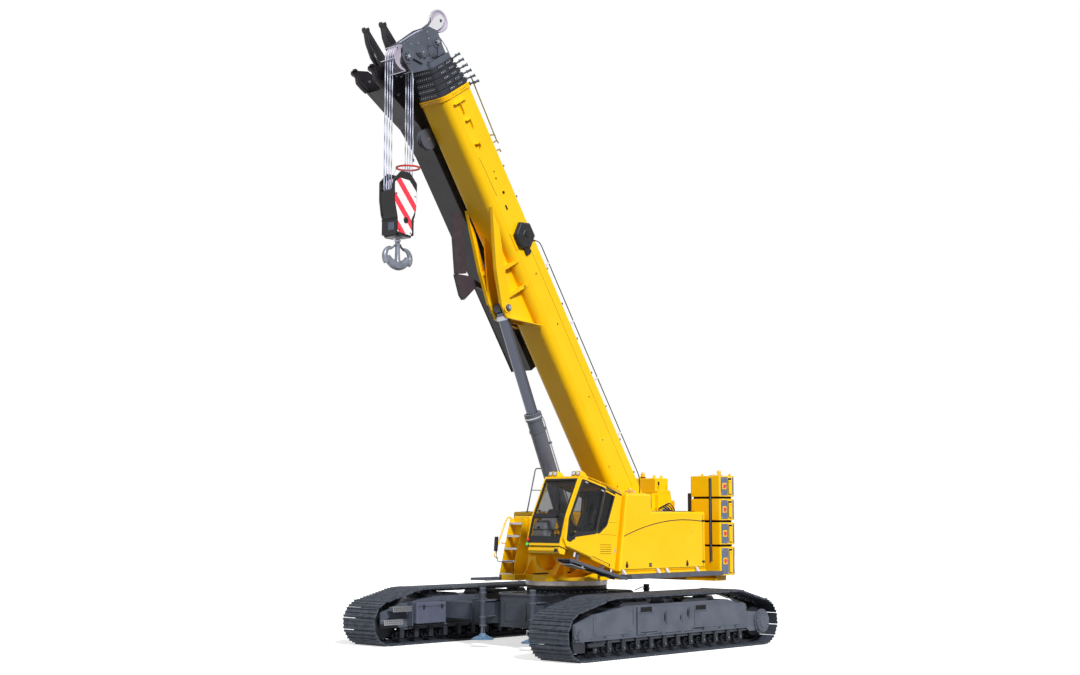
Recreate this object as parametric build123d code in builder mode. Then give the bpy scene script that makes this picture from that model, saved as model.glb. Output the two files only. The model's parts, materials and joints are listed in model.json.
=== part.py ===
"""Telescopic crawler crane: undercarriage, slewing superstructure, tilting cab and luffing telescopic boom.

Millimetres. +X is the crane's front, +Y its left, +Z up. The origin is on the ground under the slewing axis.
"""
import os
from math import cos, hypot, radians, sin

from build123d import *

# Fits and clearances
SEAT_GAP = 0.3          # between two pieces that rest on each other
SLIDE_GAP = 0.5         # between a sliding piece and its guide
PIN_GAP = 0.05          # radial, between a pin and its bore
MOVING_GAP = 20.0       # between pieces that pass each other

# Tracks
TRACK_FRONT = 3505.0    # foremost and rearmost faces of the shoes
TRACK_REAR = -3205.0
TRACK_HEIGHT = 1175.0   # over the shoes
TRACK_OUT = 3180.0      # outer edge of the shoes from the middle
SHOE_WIDTH = 1000.0
SHOE_COUNT = 56
SHOE_GAP = 26.0
SHOE_HEIGHT = 40.0
BAND = 110.0            # shoes and links together
END_RADIUS = 480.0      # over the shoes at idler and drive wheel
CORNER_RADIUS = 260.0   # over the shoes where the top run starts to drop
TOP_RUN = (-1880.0, 2140.0)

# Side frames
FRAME_INSET = 100.0     # side frame inside the shoes' edge
FRAME_BOTTOM = 320.0
FRAME_TOP = 985.0
CHEEK = 32.0            # plates that hold the rollers and wheels
CHEEK_BOTTOM = 375.0
ROLLER_COUNT = 12
ROLLER_MIDDLE = 330.0
ROLLER_SPAN = 4600.0
HANGER = (55.0, 150.0)  # half width and lower end of the plates that hold a roller
ROLLER_AXLE = 40.0
WHEEL_WIDTH = 420.0
WHEEL_AXLE = 95.0
PAD_MIDDLE = 130.0      # the middle skid pad under the top run
PAD_SPAN = 1350.0       # between the skid pads
EYE_RADIUS = 32.0       # lashing eyes at the ends of the outer cheeks
EYE_OFFSET = 152.0      # beyond the wheel's axle
YOKE_REACH = 210.0      # cheek plates beyond the wheel's axle
YOKE_DEPTH = 480.0      # from the wheel's axle to the box beam
DRIVE_HUB_RADIUS = 110.0
DRIVE_HUB_LENGTH = 150.0

# Carbody and its sliding beams
CARBODY_HALF_LENGTH = 1560.0
CARBODY_HALF_WIDTH = 860.0
CARBODY_BOTTOM = 430.0
CARBODY_TOP = 1090.0
CARBODY_CORNER = 420.0
BEAM_X = 1290.0
BEAM_WIDTH = 330.0
BEAM_HEIGHT = 350.0
BEAM_MIDDLE = 700.0
SLEEVE_WALL = 45.0
SLEEVE_END = 1330.0
BEAM_END = 930.0        # inner end of a side frame's beam when the tracks are out

# Jacks at the carbody's corners
JACK_X = 1810.0
JACK_Y = 710.0
JACK_RADIUS = 62.0
JACK_TOP = 1190.0
JACK_TUBE_BOTTOM = 420.0
JACK_ROD_RADIUS = 45.0
JACK_PAD_RADIUS = 235.0
JACK_PAD_BOTTOM = 160.0
JACK_PAD_HEIGHT = 55.0
JACK_ARM = (620.0, 960.0)

# Slewing ring
RING_RADIUS = 860.0
RING_BORE = 640.0
RING_BASE_TOP = 1235.0
RING_UPPER_RADIUS = 815.0
DECK_BOTTOM = 1360.0
DECK_TOP = 1480.0

# Superstructure frame
DECK_FRONT = 1330.0
DECK_REAR = -3010.0
DECK_HALF_WIDTH = 640.0
NOTCH = (250.0, 330.0)  # half width and depth of the recess at the deck's front
CHEEK_PLATE = 55.0      # boom foot plates
FOOT_CLEAR = 30.0       # between boom and foot plates
TAIL_HALF_WIDTH = 900.0
CROSS_PLATE_X = 580.0   # the upright plate across the deck, with a notch that the luffing cylinder dips into
CROSS_PLATE = 40.0
CROSS_PLATE_HALF = 555.0
CROSS_PLATE_TOP = 1840.0
CROSS_NOTCH = 305.0
WEIGHT_BEAM = (-3450.0, -3080.0)    # the beam that carries the counterweights
WEIGHT_BEAM_BOTTOM = 1270.0

# Boom
PIVOT_X = -1986.0
PIVOT_Z = 2652.0
BOOM_ANGLE = 56.3       # degrees above level, as it stands
BOOM_WIDTH = 800.0
BOOM_HEIGHT = 820.0
BOOM_TOP_RADIUS = 60.0
BOOM_LEAST_RADIUS = 12.0
BOOM_LOW_RADIUS = 180.0
BOOM_WALL = 10.0
SECTION_STEP = 20.0     # each section is smaller than the one round it by this, all round
SECTION_COUNT = 5       # telescopic sections inside the base section
BASE_TAIL = -330.0      # along the boom, from its pivot
BASE_END = 10296.0
COLLAR = 100.0          # length of the wear pad collar at each section's end
COLLAR_PITCH = 118.0
COLLAR_RIM = 14.0
SECTION_TAIL = (420.0, 90.0)    # where the first section starts, and how much later each next one does
PIVOT_PIN = 110.0
PIVOT_HUB = 195.0

# Boom head, along and across the boom from its pivot
HEAD_END = 11640.0
HEAD_PLATE = 30.0
HEAD_HALF_WIDTH = 230.0
HEAD_AXLE = (11325.0, -728.0)
HEAD_UPPER_AXLE = (11284.0, 190.0)
SHEAVE_RADIUS = 262.0
SHEAVE_WIDTH = 52.0
SHEAVE_COUNT = 4
SHEAVE_PITCH = 70.0
AXLE_RADIUS = 55.0
ROOSTER = (11590.0, 700.0)
ROOSTER_RADIUS = 235.0
ROOSTER_WIDTH = 60.0
ROOSTER_PLATE = 18.0

# Luffing cylinder
LUFF_BASE = (-333.0, 1716.0)    # X and Z of its lower pin
LUFF_PIN = (5824.0, -942.0)     # its upper pin, along and across the boom
LUFF_BARREL_LENGTH = 3430.0
LUFF_BARREL_RADIUS = 165.0
LUFF_COLLAR_RADIUS = 183.0
LUFF_COLLAR = 150.0
LUFF_ROD_RADIUS = 120.0
LUFF_ROD_INSIDE = 1100.0    # rod left inside the barrel, as it stands
LUFF_EYE_RADIUS = 110.0
LUFF_EYE_WIDTH = 180.0
LUFF_PIN_RADIUS = 55.0
LUFF_BRACKET_PLATE = 40.0
LUFF_BARREL_START = 260.0   # from the lower pin to the barrel's closed end
LUFF_LUG = (-320.0, 150.0, 105.0)   # rear and front foot and half top of the lugs at the lower pin
LUFF_BRACKET = ((7450.0, -300.0), (6010.0, -1062.0), (5640.0, -1062.0), (5060.0, -300.0))

# Swing-away jib stowed on the boom's right side
JIB_NEAR = 572.0        # from the middle to its inner and outer sides
JIB_FAR = 1150.0
JIB_PLATE = 60.0        # side plates that carry the prongs
JIB_BEAM = ((10860.0, -858.0), (10342.0, -644.0), (9868.0, -428.0), (9190.0, -336.0), (4014.0, -300.0),
            (4014.0, 60.0), (9190.0, 230.0), (10860.0, 60.0))
JIB_SIDE = ((11369.0, -904.0), (11334.0, -1019.0), (11081.0, -932.0), (10853.0, -858.0), (10342.0, -644.0),
            (10342.0, 120.0), (10900.0, 60.0), (11500.0, -60.0), (11996.0, -150.0), (11985.0, -250.0),
            (11500.0, -215.0), (11060.0, -205.0), (10900.0, -270.0), (10890.0, -340.0), (10968.0, -434.0),
            (11247.0, -636.0))
JIB_STOWS = (4700.0, 7400.0)    # along the boom, the arms that hold the stowed jib
JIB_STOW_HALF = 60.0

# Hoist rope, hook block and hook
FALL_RADIUS = 11.0
BLOCK_DROP = 2670.0     # from the head axle down to the hook block's axle
BLOCK_HALF_LENGTH = 300.0
BLOCK_HALF_WIDTH = 236.0
BLOCK_NECK = 225.0      # half length of its lower part
BLOCK_SLOT = 22.0       # clear of the outer falls
BLOCK_TOP = 364.0       # above the hook block's axle
BLOCK_BOTTOM = 924.0    # below the hook block's axle
HOOK_DROP = 1297.0       # from the block's axle to the middle of the hook's bowls
BOWL_OFFSET = 180.0     # from the shank to the middle of each bowl
BOWL_RADIUS = 85.0
HOOK_RADIUS = 200.0     # outside of each bowl
HOOK_THICK = 110.0
HOOK_SHANK = 48.0

# Winches behind the boom's foot
WINCH_MAIN = (-2700.0, 1980.0)
WINCH_AUX = (-2820.0, 2640.0)
WINCH_RADIUS = 270.0
WINCH_FLANGE = 18.0
WINCH_FLANGE_RISE = 20.0
WINCH_AXLE = 70.0

# Machinery housings
HOUSING_OUT = 1612.0
HOUSING_IN = 700.0
HOUSING_BOTTOM = 1545.0
HOUSING_TOP = 2787.0
HOUSING_REAR = -2766.0
HOUSING_FRONT = (160.0, -90.0)  # at the bottom and at the top
HOUSING_STEP = (-900.0, 3150.0) # rear edge and top of the raised front part
HOUSING_WALL = 40.0
RIGHT_HOUSING_FRONT = -20.0
STEP_BLOCK = (400.0, -1180.0, 2690.0)   # front, outer side and top of the block behind the steps
ENGINE = ((-2250.0, -900.0), (-1450.0, -860.0), (HOUSING_BOTTOM, 2480.0))

# Counterweight
WEIGHT_OUT = 1825.0
WEIGHT_IN = 1000.0
WEIGHT_FRONT = -3030.0
TAIL_RADIUS = 4006.0
WEIGHT_BOTTOM = 1394.0
WEIGHT_SLABS = (625.0, 484.0, 472.0, 459.0)     # heights from the lowest up
WEIGHT_JOINT = 48.0
WEIGHT_LIP = 170.0
TAIL_REAR = -3640.0
REAR_BLOCK = ((-2975.0, -2520.0), 416.0, (2965.0, 3540.0))
SADDLE = 60.0            # thickness of the plate that carries the rear block
FOOT_TOP = 3200.0

# Cab
CAB_CORNER = (215.0, 1590.0)    # X and Z of its lower rear corner
CAB_TILT = 18.0
CAB_LENGTH = 1610.0     # its floor
CAB_NOSE = 135.0        # its front bulges by this, at the height of the next value
CAB_NOSE_LOW = 130.0
CAB_NOSE_HIGH = 560.0
CAB_FRONT_HEIGHT = 1490.0
CAB_REAR_HEIGHT = 1580.0
CAB_REAR_LEAN = 240.0
CAB_RIGHT = 580.0
CAB_LEFT = 1520.0
CAB_WALL = 45.0
CAB_FLOOR = 70.0
CAB_POST = 70.0
SEAT_REAR = 400.0
SEAT_LENGTH = 580.0
SEAT_WIDTH = 480.0
SEAT_HEIGHT = 530.0
SEAT_BACK_TOP = 1180.0
CONSOLE_TOP = 700.0
DOOR_REAR = 800.0
DOOR_THICK = 36.0
DOOR_GAP = 7.0
CAB_RAILS = (25.0, 1440.0)  # heights of the rails that the door slides on
DOOR_TRAVEL_END = 210.0     # rear end of the lower rail
GLASS = 8.0
CAB_HINGE = (90.0, -75.0)
CAB_HINGE_RADIUS = 45.0

# Access
WALK_OUT = 1960.0
WALK_TOP = 1500.0
WALK_THICK = 45.0
LADDER_Y = (-1170.0, -780.0)
LADDER_STEPS = 5
LADDER_STEP_RISE = 268.0
LADDER_TOP = 2640.0
LADDER_FOOT = 1330.0
LADDER_LEAN = 380.0     # how far its foot stands before its top
LADDER_STRING = 110.0   # depth of its side plates
LADDER_TREAD = 130.0

# Directions that follow from the driving sizes
END_FRONT = TRACK_FRONT - END_RADIUS
END_REAR = TRACK_REAR + END_RADIUS
TRACK_ENDS = ((END_REAR, -1), (END_FRONT, 1))
TRACK_IN = TRACK_OUT - SHOE_WIDTH
TRACK_MIDDLE = TRACK_OUT - SHOE_WIDTH / 2
FRAME_OUT = TRACK_OUT - FRAME_INSET
FRAME_IN = TRACK_IN + FRAME_INSET
ROLLER_RADIUS = 92.0
BOOM_COS, BOOM_SIN = cos(radians(BOOM_ANGLE)), sin(radians(BOOM_ANGLE))
BOOM_SIDE = Plane(origin=(PIVOT_X, 0, PIVOT_Z), x_dir=(BOOM_COS, 0, BOOM_SIN), z_dir=(0, -1, 0))
CAB_COS, CAB_SIN = cos(radians(CAB_TILT)), sin(radians(CAB_TILT))
CAB_SIDE = Plane(origin=(CAB_CORNER[0], 0, CAB_CORNER[1]), x_dir=(CAB_COS, 0, CAB_SIN), z_dir=(0, -1, 0))


def boom_point(along, across):
    """Return the X and Z of a point given along and across the boom from its pivot."""
    return (PIVOT_X + along * BOOM_COS - across * BOOM_SIN, PIVOT_Z + along * BOOM_SIN + across * BOOM_COS)


def block(x, y, z, mode=Mode.ADD):
    """Add a box that spans three (low, high) pairs."""
    with Locations(((x[0] + x[1]) / 2, (y[0] + y[1]) / 2, (z[0] + z[1]) / 2)):
        Box(x[1] - x[0], y[1] - y[0], z[1] - z[0], mode=mode)


def slab(points, y_low, y_high, plane=Plane.XZ, mode=Mode.ADD):
    """Extrude an outline drawn in side view between two widths."""
    with BuildSketch(plane.offset(-y_high)) as outline:
        with BuildLine():
            Polyline(*points, close=True)
        make_face()
    extrude(outline.sketch, amount=y_high - y_low, mode=mode)


def disc(centre, radius, y_low, y_high, plane=Plane.XZ, mode=Mode.ADD):
    """Extrude a circle drawn in side view between two widths."""
    with BuildSketch(plane.offset(-y_high)) as outline:
        with Locations(centre):
            Circle(radius)
    extrude(outline.sketch, amount=y_high - y_low, mode=mode)


def rod(start, end, radius, mode=Mode.ADD):
    """Add a round bar between two points."""
    start, end = Vector(*start), Vector(*end)
    with BuildSketch(Plane(origin=start, z_dir=end - start)) as outline:
        Circle(radius)
    extrude(outline.sketch, amount=(end - start).length, mode=mode)


def save(part, name):
    """Name a finished piece and write it."""
    part.label = name
    export_step(part, f"parts/{name}.step")


def save_pair(part, name):
    """Write a left piece and its mirror image on the right."""
    save(part, f"{name}_left")
    with BuildPart() as right:
        mirror(part, about=Plane.XZ)
    save(right.part, f"{name}_right")


os.makedirs("parts", exist_ok=True)

# Undercarriage: carbody with sleeves for the side frames' beams
beam_pocket = (BEAM_WIDTH / 2 + SLIDE_GAP, BEAM_HEIGHT / 2 + SLIDE_GAP)
with BuildPart() as carbody:
    with BuildSketch(Plane.XY.offset(CARBODY_BOTTOM)):
        Rectangle(2 * CARBODY_HALF_LENGTH, 2 * CARBODY_HALF_WIDTH)
    extrude(amount=CARBODY_TOP - CARBODY_BOTTOM)
    chamfer(carbody.edges().filter_by(Axis.Z), CARBODY_CORNER)
    for beam_x in (-BEAM_X, BEAM_X):
        half_x, half_z = BEAM_WIDTH / 2 + SLEEVE_WALL, BEAM_HEIGHT / 2 + SLEEVE_WALL
        block((beam_x - half_x, beam_x + half_x), (-SLEEVE_END, SLEEVE_END),
              (BEAM_MIDDLE - half_z, BEAM_MIDDLE + half_z))
        for sign in (-1, 1):
            jack_x = sign * JACK_Y
            x_low, x_high = sorted((beam_x, beam_x / abs(beam_x) * (JACK_X - JACK_RADIUS + 6)))
            block((x_low, x_high), (jack_x - JACK_RADIUS / 2, jack_x + JACK_RADIUS / 2), JACK_ARM)
    for beam_x in (-BEAM_X, BEAM_X):
        block((beam_x - beam_pocket[0], beam_x + beam_pocket[0]), (-SLEEVE_END, SLEEVE_END),
              (BEAM_MIDDLE - beam_pocket[1], BEAM_MIDDLE + beam_pocket[1]), mode=Mode.SUBTRACT)
    with BuildSketch(Plane.XY.offset(JACK_TUBE_BOTTOM)):
        with GridLocations(2 * JACK_X, 2 * JACK_Y, 2, 2):
            Circle(JACK_RADIUS)
    extrude(amount=JACK_TOP - JACK_TUBE_BOTTOM)
    with BuildSketch(Plane.XY.offset(JACK_TUBE_BOTTOM)):
        with GridLocations(2 * JACK_X, 2 * JACK_Y, 2, 2):
            Circle(JACK_ROD_RADIUS + PIN_GAP)
    extrude(amount=JACK_TOP - JACK_TUBE_BOTTOM - JACK_RADIUS / 2, mode=Mode.SUBTRACT)
save(carbody.part, "carbody")

with BuildPart() as slew_ring_base:
    with BuildSketch(Plane.XY.offset(CARBODY_TOP + SEAT_GAP)):
        Circle(RING_RADIUS)
        Circle(RING_BORE, mode=Mode.SUBTRACT)
    extrude(amount=RING_BASE_TOP - CARBODY_TOP - SEAT_GAP)
save(slew_ring_base.part, "slew_ring_base")

# Jack feet, one at each corner, which slide down out of their tubes
for end_name, x_sign in (("front", 1), ("rear", -1)):
    for side_name, y_sign in (("left", 1), ("right", -1)):
        with BuildPart() as jack_foot:
            with BuildSketch(Plane.XY.offset(JACK_PAD_BOTTOM)):
                with Locations((x_sign * JACK_X, y_sign * JACK_Y)):
                    Circle(JACK_PAD_RADIUS)
            extrude(amount=JACK_PAD_HEIGHT)
            with BuildSketch(Plane.XY.offset(JACK_PAD_BOTTOM)):
                with Locations((x_sign * JACK_X, y_sign * JACK_Y)):
                    Circle(JACK_ROD_RADIUS)
            extrude(amount=JACK_TOP - JACK_RADIUS - JACK_PAD_BOTTOM)
        save(jack_foot.part, f"jack_foot_{end_name}_{side_name}")


def track_outline(inset):
    """Sketch the track's outline, a given depth inside its shoes' faces."""
    with Locations((END_FRONT, END_RADIUS), (END_REAR, END_RADIUS)):
        Circle(END_RADIUS - inset)
    with Locations(*[(x, TRACK_HEIGHT - CORNER_RADIUS) for x in TOP_RUN]):
        Circle(CORNER_RADIUS - inset)
    make_hull()


with BuildSketch() as shoe_faces:
    track_outline(0)
shoe_path = shoe_faces.sketch_local.face().outer_wire()
shoe_joints = []
for index in range(SHOE_COUNT):
    place = shoe_path.position_at(index / SHOE_COUNT)
    shoe_joints.append(Location((place.X, place.Y, 0),
                                (0, 0, shoe_path.tangent_angle_at(index / SHOE_COUNT))))

with BuildPart() as track:
    with BuildSketch(Plane.XZ.offset(-TRACK_OUT)):
        track_outline(0)
        with Locations(*shoe_joints):
            Rectangle(SHOE_GAP, 2 * SHOE_HEIGHT, mode=Mode.SUBTRACT)
    extrude(amount=SHOE_WIDTH)
    with BuildSketch(Plane.XZ.offset(-TRACK_OUT)):
        track_outline(BAND)
    extrude(amount=SHOE_WIDTH, mode=Mode.SUBTRACT)
save_pair(track.part, "track")

# Side frame with roller cheeks, wheel yokes, skid pads and the two beams that slide in the carbody
yoke_front, yoke_rear = END_FRONT + YOKE_REACH, END_REAR - YOKE_REACH
beam_front, beam_rear = END_FRONT - YOKE_DEPTH, END_REAR + YOKE_DEPTH
frame_body = ((beam_rear, FRAME_BOTTOM), (beam_front, FRAME_BOTTOM), (beam_front, 640),
              (TOP_RUN[1] - 150, 930), (TOP_RUN[1] - 420, FRAME_TOP), (TOP_RUN[0] + 300, FRAME_TOP),
              (beam_rear, 820))
cheek_plate = ((yoke_rear, 315), (-2300, 300), (-2180, CHEEK_BOTTOM), (yoke_front, CHEEK_BOTTOM),
               (yoke_front, 700), (2700, 860), (1910, 955), (1410, 970), (-2080, 900), (-2180, 860),
               (-2180, 720), (yoke_rear, 660))
roller_places = [ROLLER_MIDDLE + ROLLER_SPAN * (index / (ROLLER_COUNT - 1) - 0.5)
                 for index in range(ROLLER_COUNT)]
with BuildPart() as side_frame:
    slab(frame_body, FRAME_IN + CHEEK, FRAME_OUT - CHEEK)
    for cheek in ((FRAME_IN, FRAME_IN + CHEEK), (FRAME_OUT - CHEEK, FRAME_OUT)):
        slab(cheek_plate, *cheek)
        for roller_x in roller_places:
            block((roller_x - HANGER[0], roller_x + HANGER[0]), cheek, (HANGER[1], CHEEK_BOTTOM + 5))
    for pad_x in (PAD_MIDDLE - PAD_SPAN, PAD_MIDDLE, PAD_MIDDLE + PAD_SPAN):
        block((pad_x - 130, pad_x + 130), (TRACK_MIDDLE - 150, TRACK_MIDDLE + 150),
              (FRAME_TOP - 10, TRACK_HEIGHT - BAND - SEAT_GAP))
    for beam_x in (-BEAM_X, BEAM_X):
        block((beam_x - BEAM_WIDTH / 2, beam_x + BEAM_WIDTH / 2), (BEAM_END, FRAME_IN + CHEEK),
              (BEAM_MIDDLE - BEAM_HEIGHT / 2, BEAM_MIDDLE + BEAM_HEIGHT / 2))
    for end_x, outward in TRACK_ENDS:
        disc((end_x, END_RADIUS), WHEEL_AXLE + PIN_GAP, FRAME_IN, FRAME_OUT, mode=Mode.SUBTRACT)
        eye_x = end_x + outward * EYE_OFFSET
        disc((eye_x, END_RADIUS), EYE_RADIUS, FRAME_OUT - 2 * CHEEK, FRAME_OUT + CHEEK, mode=Mode.SUBTRACT)
save_pair(side_frame.part, "side_frame")

# Idler, drive wheel and rollers inside each track
wheel_radius = END_RADIUS - BAND - SEAT_GAP
axle_span = (FRAME_IN, FRAME_OUT)
roller_span = (FRAME_IN + CHEEK + 60, FRAME_OUT - CHEEK - 60)
with BuildPart() as track_wheels:
    for end_x, outward in TRACK_ENDS:
        disc((end_x, END_RADIUS), wheel_radius, TRACK_MIDDLE - WHEEL_WIDTH / 2,
             TRACK_MIDDLE + WHEEL_WIDTH / 2)
        disc((end_x, END_RADIUS), WHEEL_AXLE, *axle_span)
    disc((END_REAR, END_RADIUS), DRIVE_HUB_RADIUS, FRAME_OUT + SEAT_GAP, FRAME_OUT + DRIVE_HUB_LENGTH / 2)
    disc((END_REAR, END_RADIUS), WHEEL_AXLE, FRAME_OUT, FRAME_OUT + DRIVE_HUB_LENGTH / 2)
    roller_z = BAND + SEAT_GAP + ROLLER_RADIUS
    for roller_x in roller_places:
        disc((roller_x, roller_z), ROLLER_RADIUS, *roller_span)
        disc((roller_x, roller_z), ROLLER_AXLE, FRAME_IN + CHEEK + SEAT_GAP, FRAME_OUT - CHEEK - SEAT_GAP)
save_pair(track_wheels.part, "track_wheels")

# Superstructure frame: deck, boom foot plates with the pivot pin, rear beam and luffing cylinder lugs
plate_in = BOOM_WIDTH / 2 + FOOT_CLEAR
plate_out = plate_in + CHEEK_PLATE
foot_plate = ((-320, DECK_TOP - 20), (DECK_REAR, DECK_TOP - 20), (DECK_REAR, 3060),
              (REAR_BLOCK[0][0], FOOT_TOP), (REAR_BLOCK[0][1] + 120, FOOT_TOP),
              (PIVOT_X - 60, PIVOT_Z + 330), (PIVOT_X + 330, PIVOT_Z + 120), (-900, 1900),
              (LUFF_BASE[0] + 260, 1860))
luff_lug = ((LUFF_BASE[0] + LUFF_LUG[0], DECK_TOP - 20), (LUFF_BASE[0] + LUFF_LUG[1], DECK_TOP - 20),
            (LUFF_BASE[0] + LUFF_LUG[2], LUFF_BASE[1] + LUFF_LUG[2]),
            (LUFF_BASE[0] - LUFF_LUG[2], LUFF_BASE[1] + LUFF_LUG[2]))
lug_in = LUFF_EYE_WIDTH / 2 + SLIDE_GAP
with BuildPart() as turntable:
    block((DECK_REAR, DECK_FRONT), (-DECK_HALF_WIDTH, DECK_HALF_WIDTH), (DECK_BOTTOM, DECK_TOP))
    block((DECK_FRONT - NOTCH[1], DECK_FRONT), (-NOTCH[0], NOTCH[0]), (DECK_BOTTOM, DECK_TOP),
          mode=Mode.SUBTRACT)
    side_deck = (DECK_BOTTOM + 30, HOUSING_BOTTOM - SEAT_GAP)
    block((HOUSING_REAR, HOUSING_FRONT[0] - 60), (DECK_HALF_WIDTH - 20, HOUSING_OUT), side_deck)
    block((HOUSING_REAR, RIGHT_HOUSING_FRONT), (-HOUSING_OUT, 20 - DECK_HALF_WIDTH), side_deck)
    block((RIGHT_HOUSING_FRONT - 10, STEP_BLOCK[0]), (STEP_BLOCK[1], 20 - DECK_HALF_WIDTH), side_deck)
    block((TAIL_REAR, DECK_REAR + 250), (-TAIL_HALF_WIDTH, TAIL_HALF_WIDTH), (DECK_BOTTOM, DECK_TOP))
    block(WEIGHT_BEAM, (-WEIGHT_OUT + WEIGHT_LIP, WEIGHT_OUT - WEIGHT_LIP),
          (WEIGHT_BEAM_BOTTOM, WEIGHT_BOTTOM - SEAT_GAP))
    for sign in (-1, 1):
        y_pair = sorted((sign * plate_in, sign * plate_out))
        slab(foot_plate, *y_pair)
        lug_pair = sorted((sign * lug_in, sign * (lug_in + 60)))
        slab(luff_lug, *lug_pair)
    disc((PIVOT_X, PIVOT_Z), PIVOT_PIN, -plate_out, plate_out)
    disc(LUFF_BASE, LUFF_PIN_RADIUS, -lug_in - 60, lug_in + 60)
    with BuildSketch(Plane.YZ.offset(CROSS_PLATE_X)):
        with Locations((0, (DECK_TOP + CROSS_PLATE_TOP) / 2)):
            Rectangle(2 * CROSS_PLATE_HALF, CROSS_PLATE_TOP - DECK_TOP + 20)
        with Locations((0, CROSS_PLATE_TOP)):
            Circle(CROSS_NOTCH, mode=Mode.SUBTRACT)
    extrude(amount=CROSS_PLATE)
    with BuildSketch(Plane.XY.offset(RING_BASE_TOP + SEAT_GAP)):
        Circle(RING_UPPER_RADIUS)
        Circle(RING_BORE, mode=Mode.SUBTRACT)
    extrude(amount=DECK_BOTTOM - RING_BASE_TOP)
    for winch in (WINCH_MAIN, WINCH_AUX):
        disc(winch, WINCH_AXLE, -plate_out, plate_out, mode=Mode.SUBTRACT)
save(turntable.part, "turntable")

# Winch drums between the foot plates
drum_half = plate_in - MOVING_GAP
for name, winch in (("winch_drum_main", WINCH_MAIN), ("winch_drum_aux", WINCH_AUX)):
    with BuildPart() as drum:
        disc(winch, WINCH_RADIUS, -drum_half, drum_half)
        for sign in (-1, 1):
            flange = sorted((sign * drum_half, sign * (drum_half - WINCH_FLANGE)))
            disc(winch, WINCH_RADIUS + WINCH_FLANGE_RISE, *flange)
        disc(winch, WINCH_AXLE - PIN_GAP, -plate_out, plate_out)
    save(drum.part, name)

# Housings: hollow hoods over the machinery, open below
housing_side = ((HOUSING_REAR, HOUSING_BOTTOM), (HOUSING_FRONT[0], HOUSING_BOTTOM),
                (HOUSING_FRONT[1], HOUSING_STEP[1]), (HOUSING_STEP[0], HOUSING_STEP[1]),
                (HOUSING_STEP[0], HOUSING_TOP), (HOUSING_REAR, HOUSING_TOP))
with BuildPart() as housing_left:
    slab(housing_side, HOUSING_IN, HOUSING_OUT)
    block((HOUSING_REAR + HOUSING_WALL, HOUSING_FRONT[1] - HOUSING_WALL),
          (HOUSING_IN + HOUSING_WALL, HOUSING_OUT - HOUSING_WALL),
          (HOUSING_BOTTOM, HOUSING_TOP - HOUSING_WALL), mode=Mode.SUBTRACT)
save(housing_left.part, "housing_left")

with BuildPart() as housing_right:
    block((HOUSING_REAR, RIGHT_HOUSING_FRONT), (-HOUSING_OUT, -HOUSING_IN), (HOUSING_BOTTOM, HOUSING_TOP))
    block((RIGHT_HOUSING_FRONT - 10, STEP_BLOCK[0]), (STEP_BLOCK[1], -HOUSING_IN),
          (HOUSING_BOTTOM, STEP_BLOCK[2]))
    block((HOUSING_REAR + HOUSING_WALL, RIGHT_HOUSING_FRONT - HOUSING_WALL),
          (-HOUSING_OUT + HOUSING_WALL, -HOUSING_IN - HOUSING_WALL),
          (HOUSING_BOTTOM, HOUSING_TOP - HOUSING_WALL), mode=Mode.SUBTRACT)
save(housing_right.part, "housing_right")

with BuildPart() as engine:
    block(*ENGINE)
save(engine.part, "engine")

# Counterweight slabs, each with a foot that stands on the slab below
with BuildPart() as counterweight:
    level = WEIGHT_BOTTOM
    for height in WEIGHT_SLABS:
        with BuildSketch(Plane.XY.offset(level)):
            with Locations(((WEIGHT_FRONT - TAIL_RADIUS) / 2, (WEIGHT_IN + WEIGHT_OUT) / 2)):
                Rectangle(TAIL_RADIUS + WEIGHT_FRONT, WEIGHT_OUT - WEIGHT_IN)
            Circle(TAIL_RADIUS, mode=Mode.INTERSECT)
        extrude(amount=height)
        if level > WEIGHT_BOTTOM:
            block((WEIGHT_FRONT - 420, WEIGHT_FRONT - 120),
                  (WEIGHT_IN + WEIGHT_LIP, WEIGHT_OUT - WEIGHT_LIP),
                  (level - WEIGHT_JOINT + SEAT_GAP, level))
        level += height + WEIGHT_JOINT
save_pair(counterweight.part, "counterweight")

with BuildPart() as rear_block:
    block(REAR_BLOCK[0], (-REAR_BLOCK[1], REAR_BLOCK[1]), REAR_BLOCK[2])
    block(REAR_BLOCK[0], (-plate_out, plate_out), (FOOT_TOP + SEAT_GAP, FOOT_TOP + SADDLE))
save(rear_block.part, "rear_block")


def boom_length(start, end, inset, mode=Mode.ADD):
    """Add a solid length of the boom's cross-section, smaller all round by an inset."""
    x, z = boom_point(start, 0)
    with BuildSketch(Plane(origin=(x, 0, z), x_dir=(0, 1, 0), z_dir=(BOOM_COS, 0, BOOM_SIN))) as section:
        Rectangle(BOOM_WIDTH - 2 * inset, BOOM_HEIGHT - 2 * inset)
        fillet(section.vertices().filter_by(lambda v: v.Y > 0),
               max(BOOM_TOP_RADIUS - inset, BOOM_LEAST_RADIUS))
        fillet(section.vertices().filter_by(lambda v: v.Y < BOOM_LOW_RADIUS - BOOM_HEIGHT / 2),
               max(BOOM_LOW_RADIUS - inset, BOOM_LEAST_RADIUS))
    extrude(section.sketch, amount=end - start, mode=mode)


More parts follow.
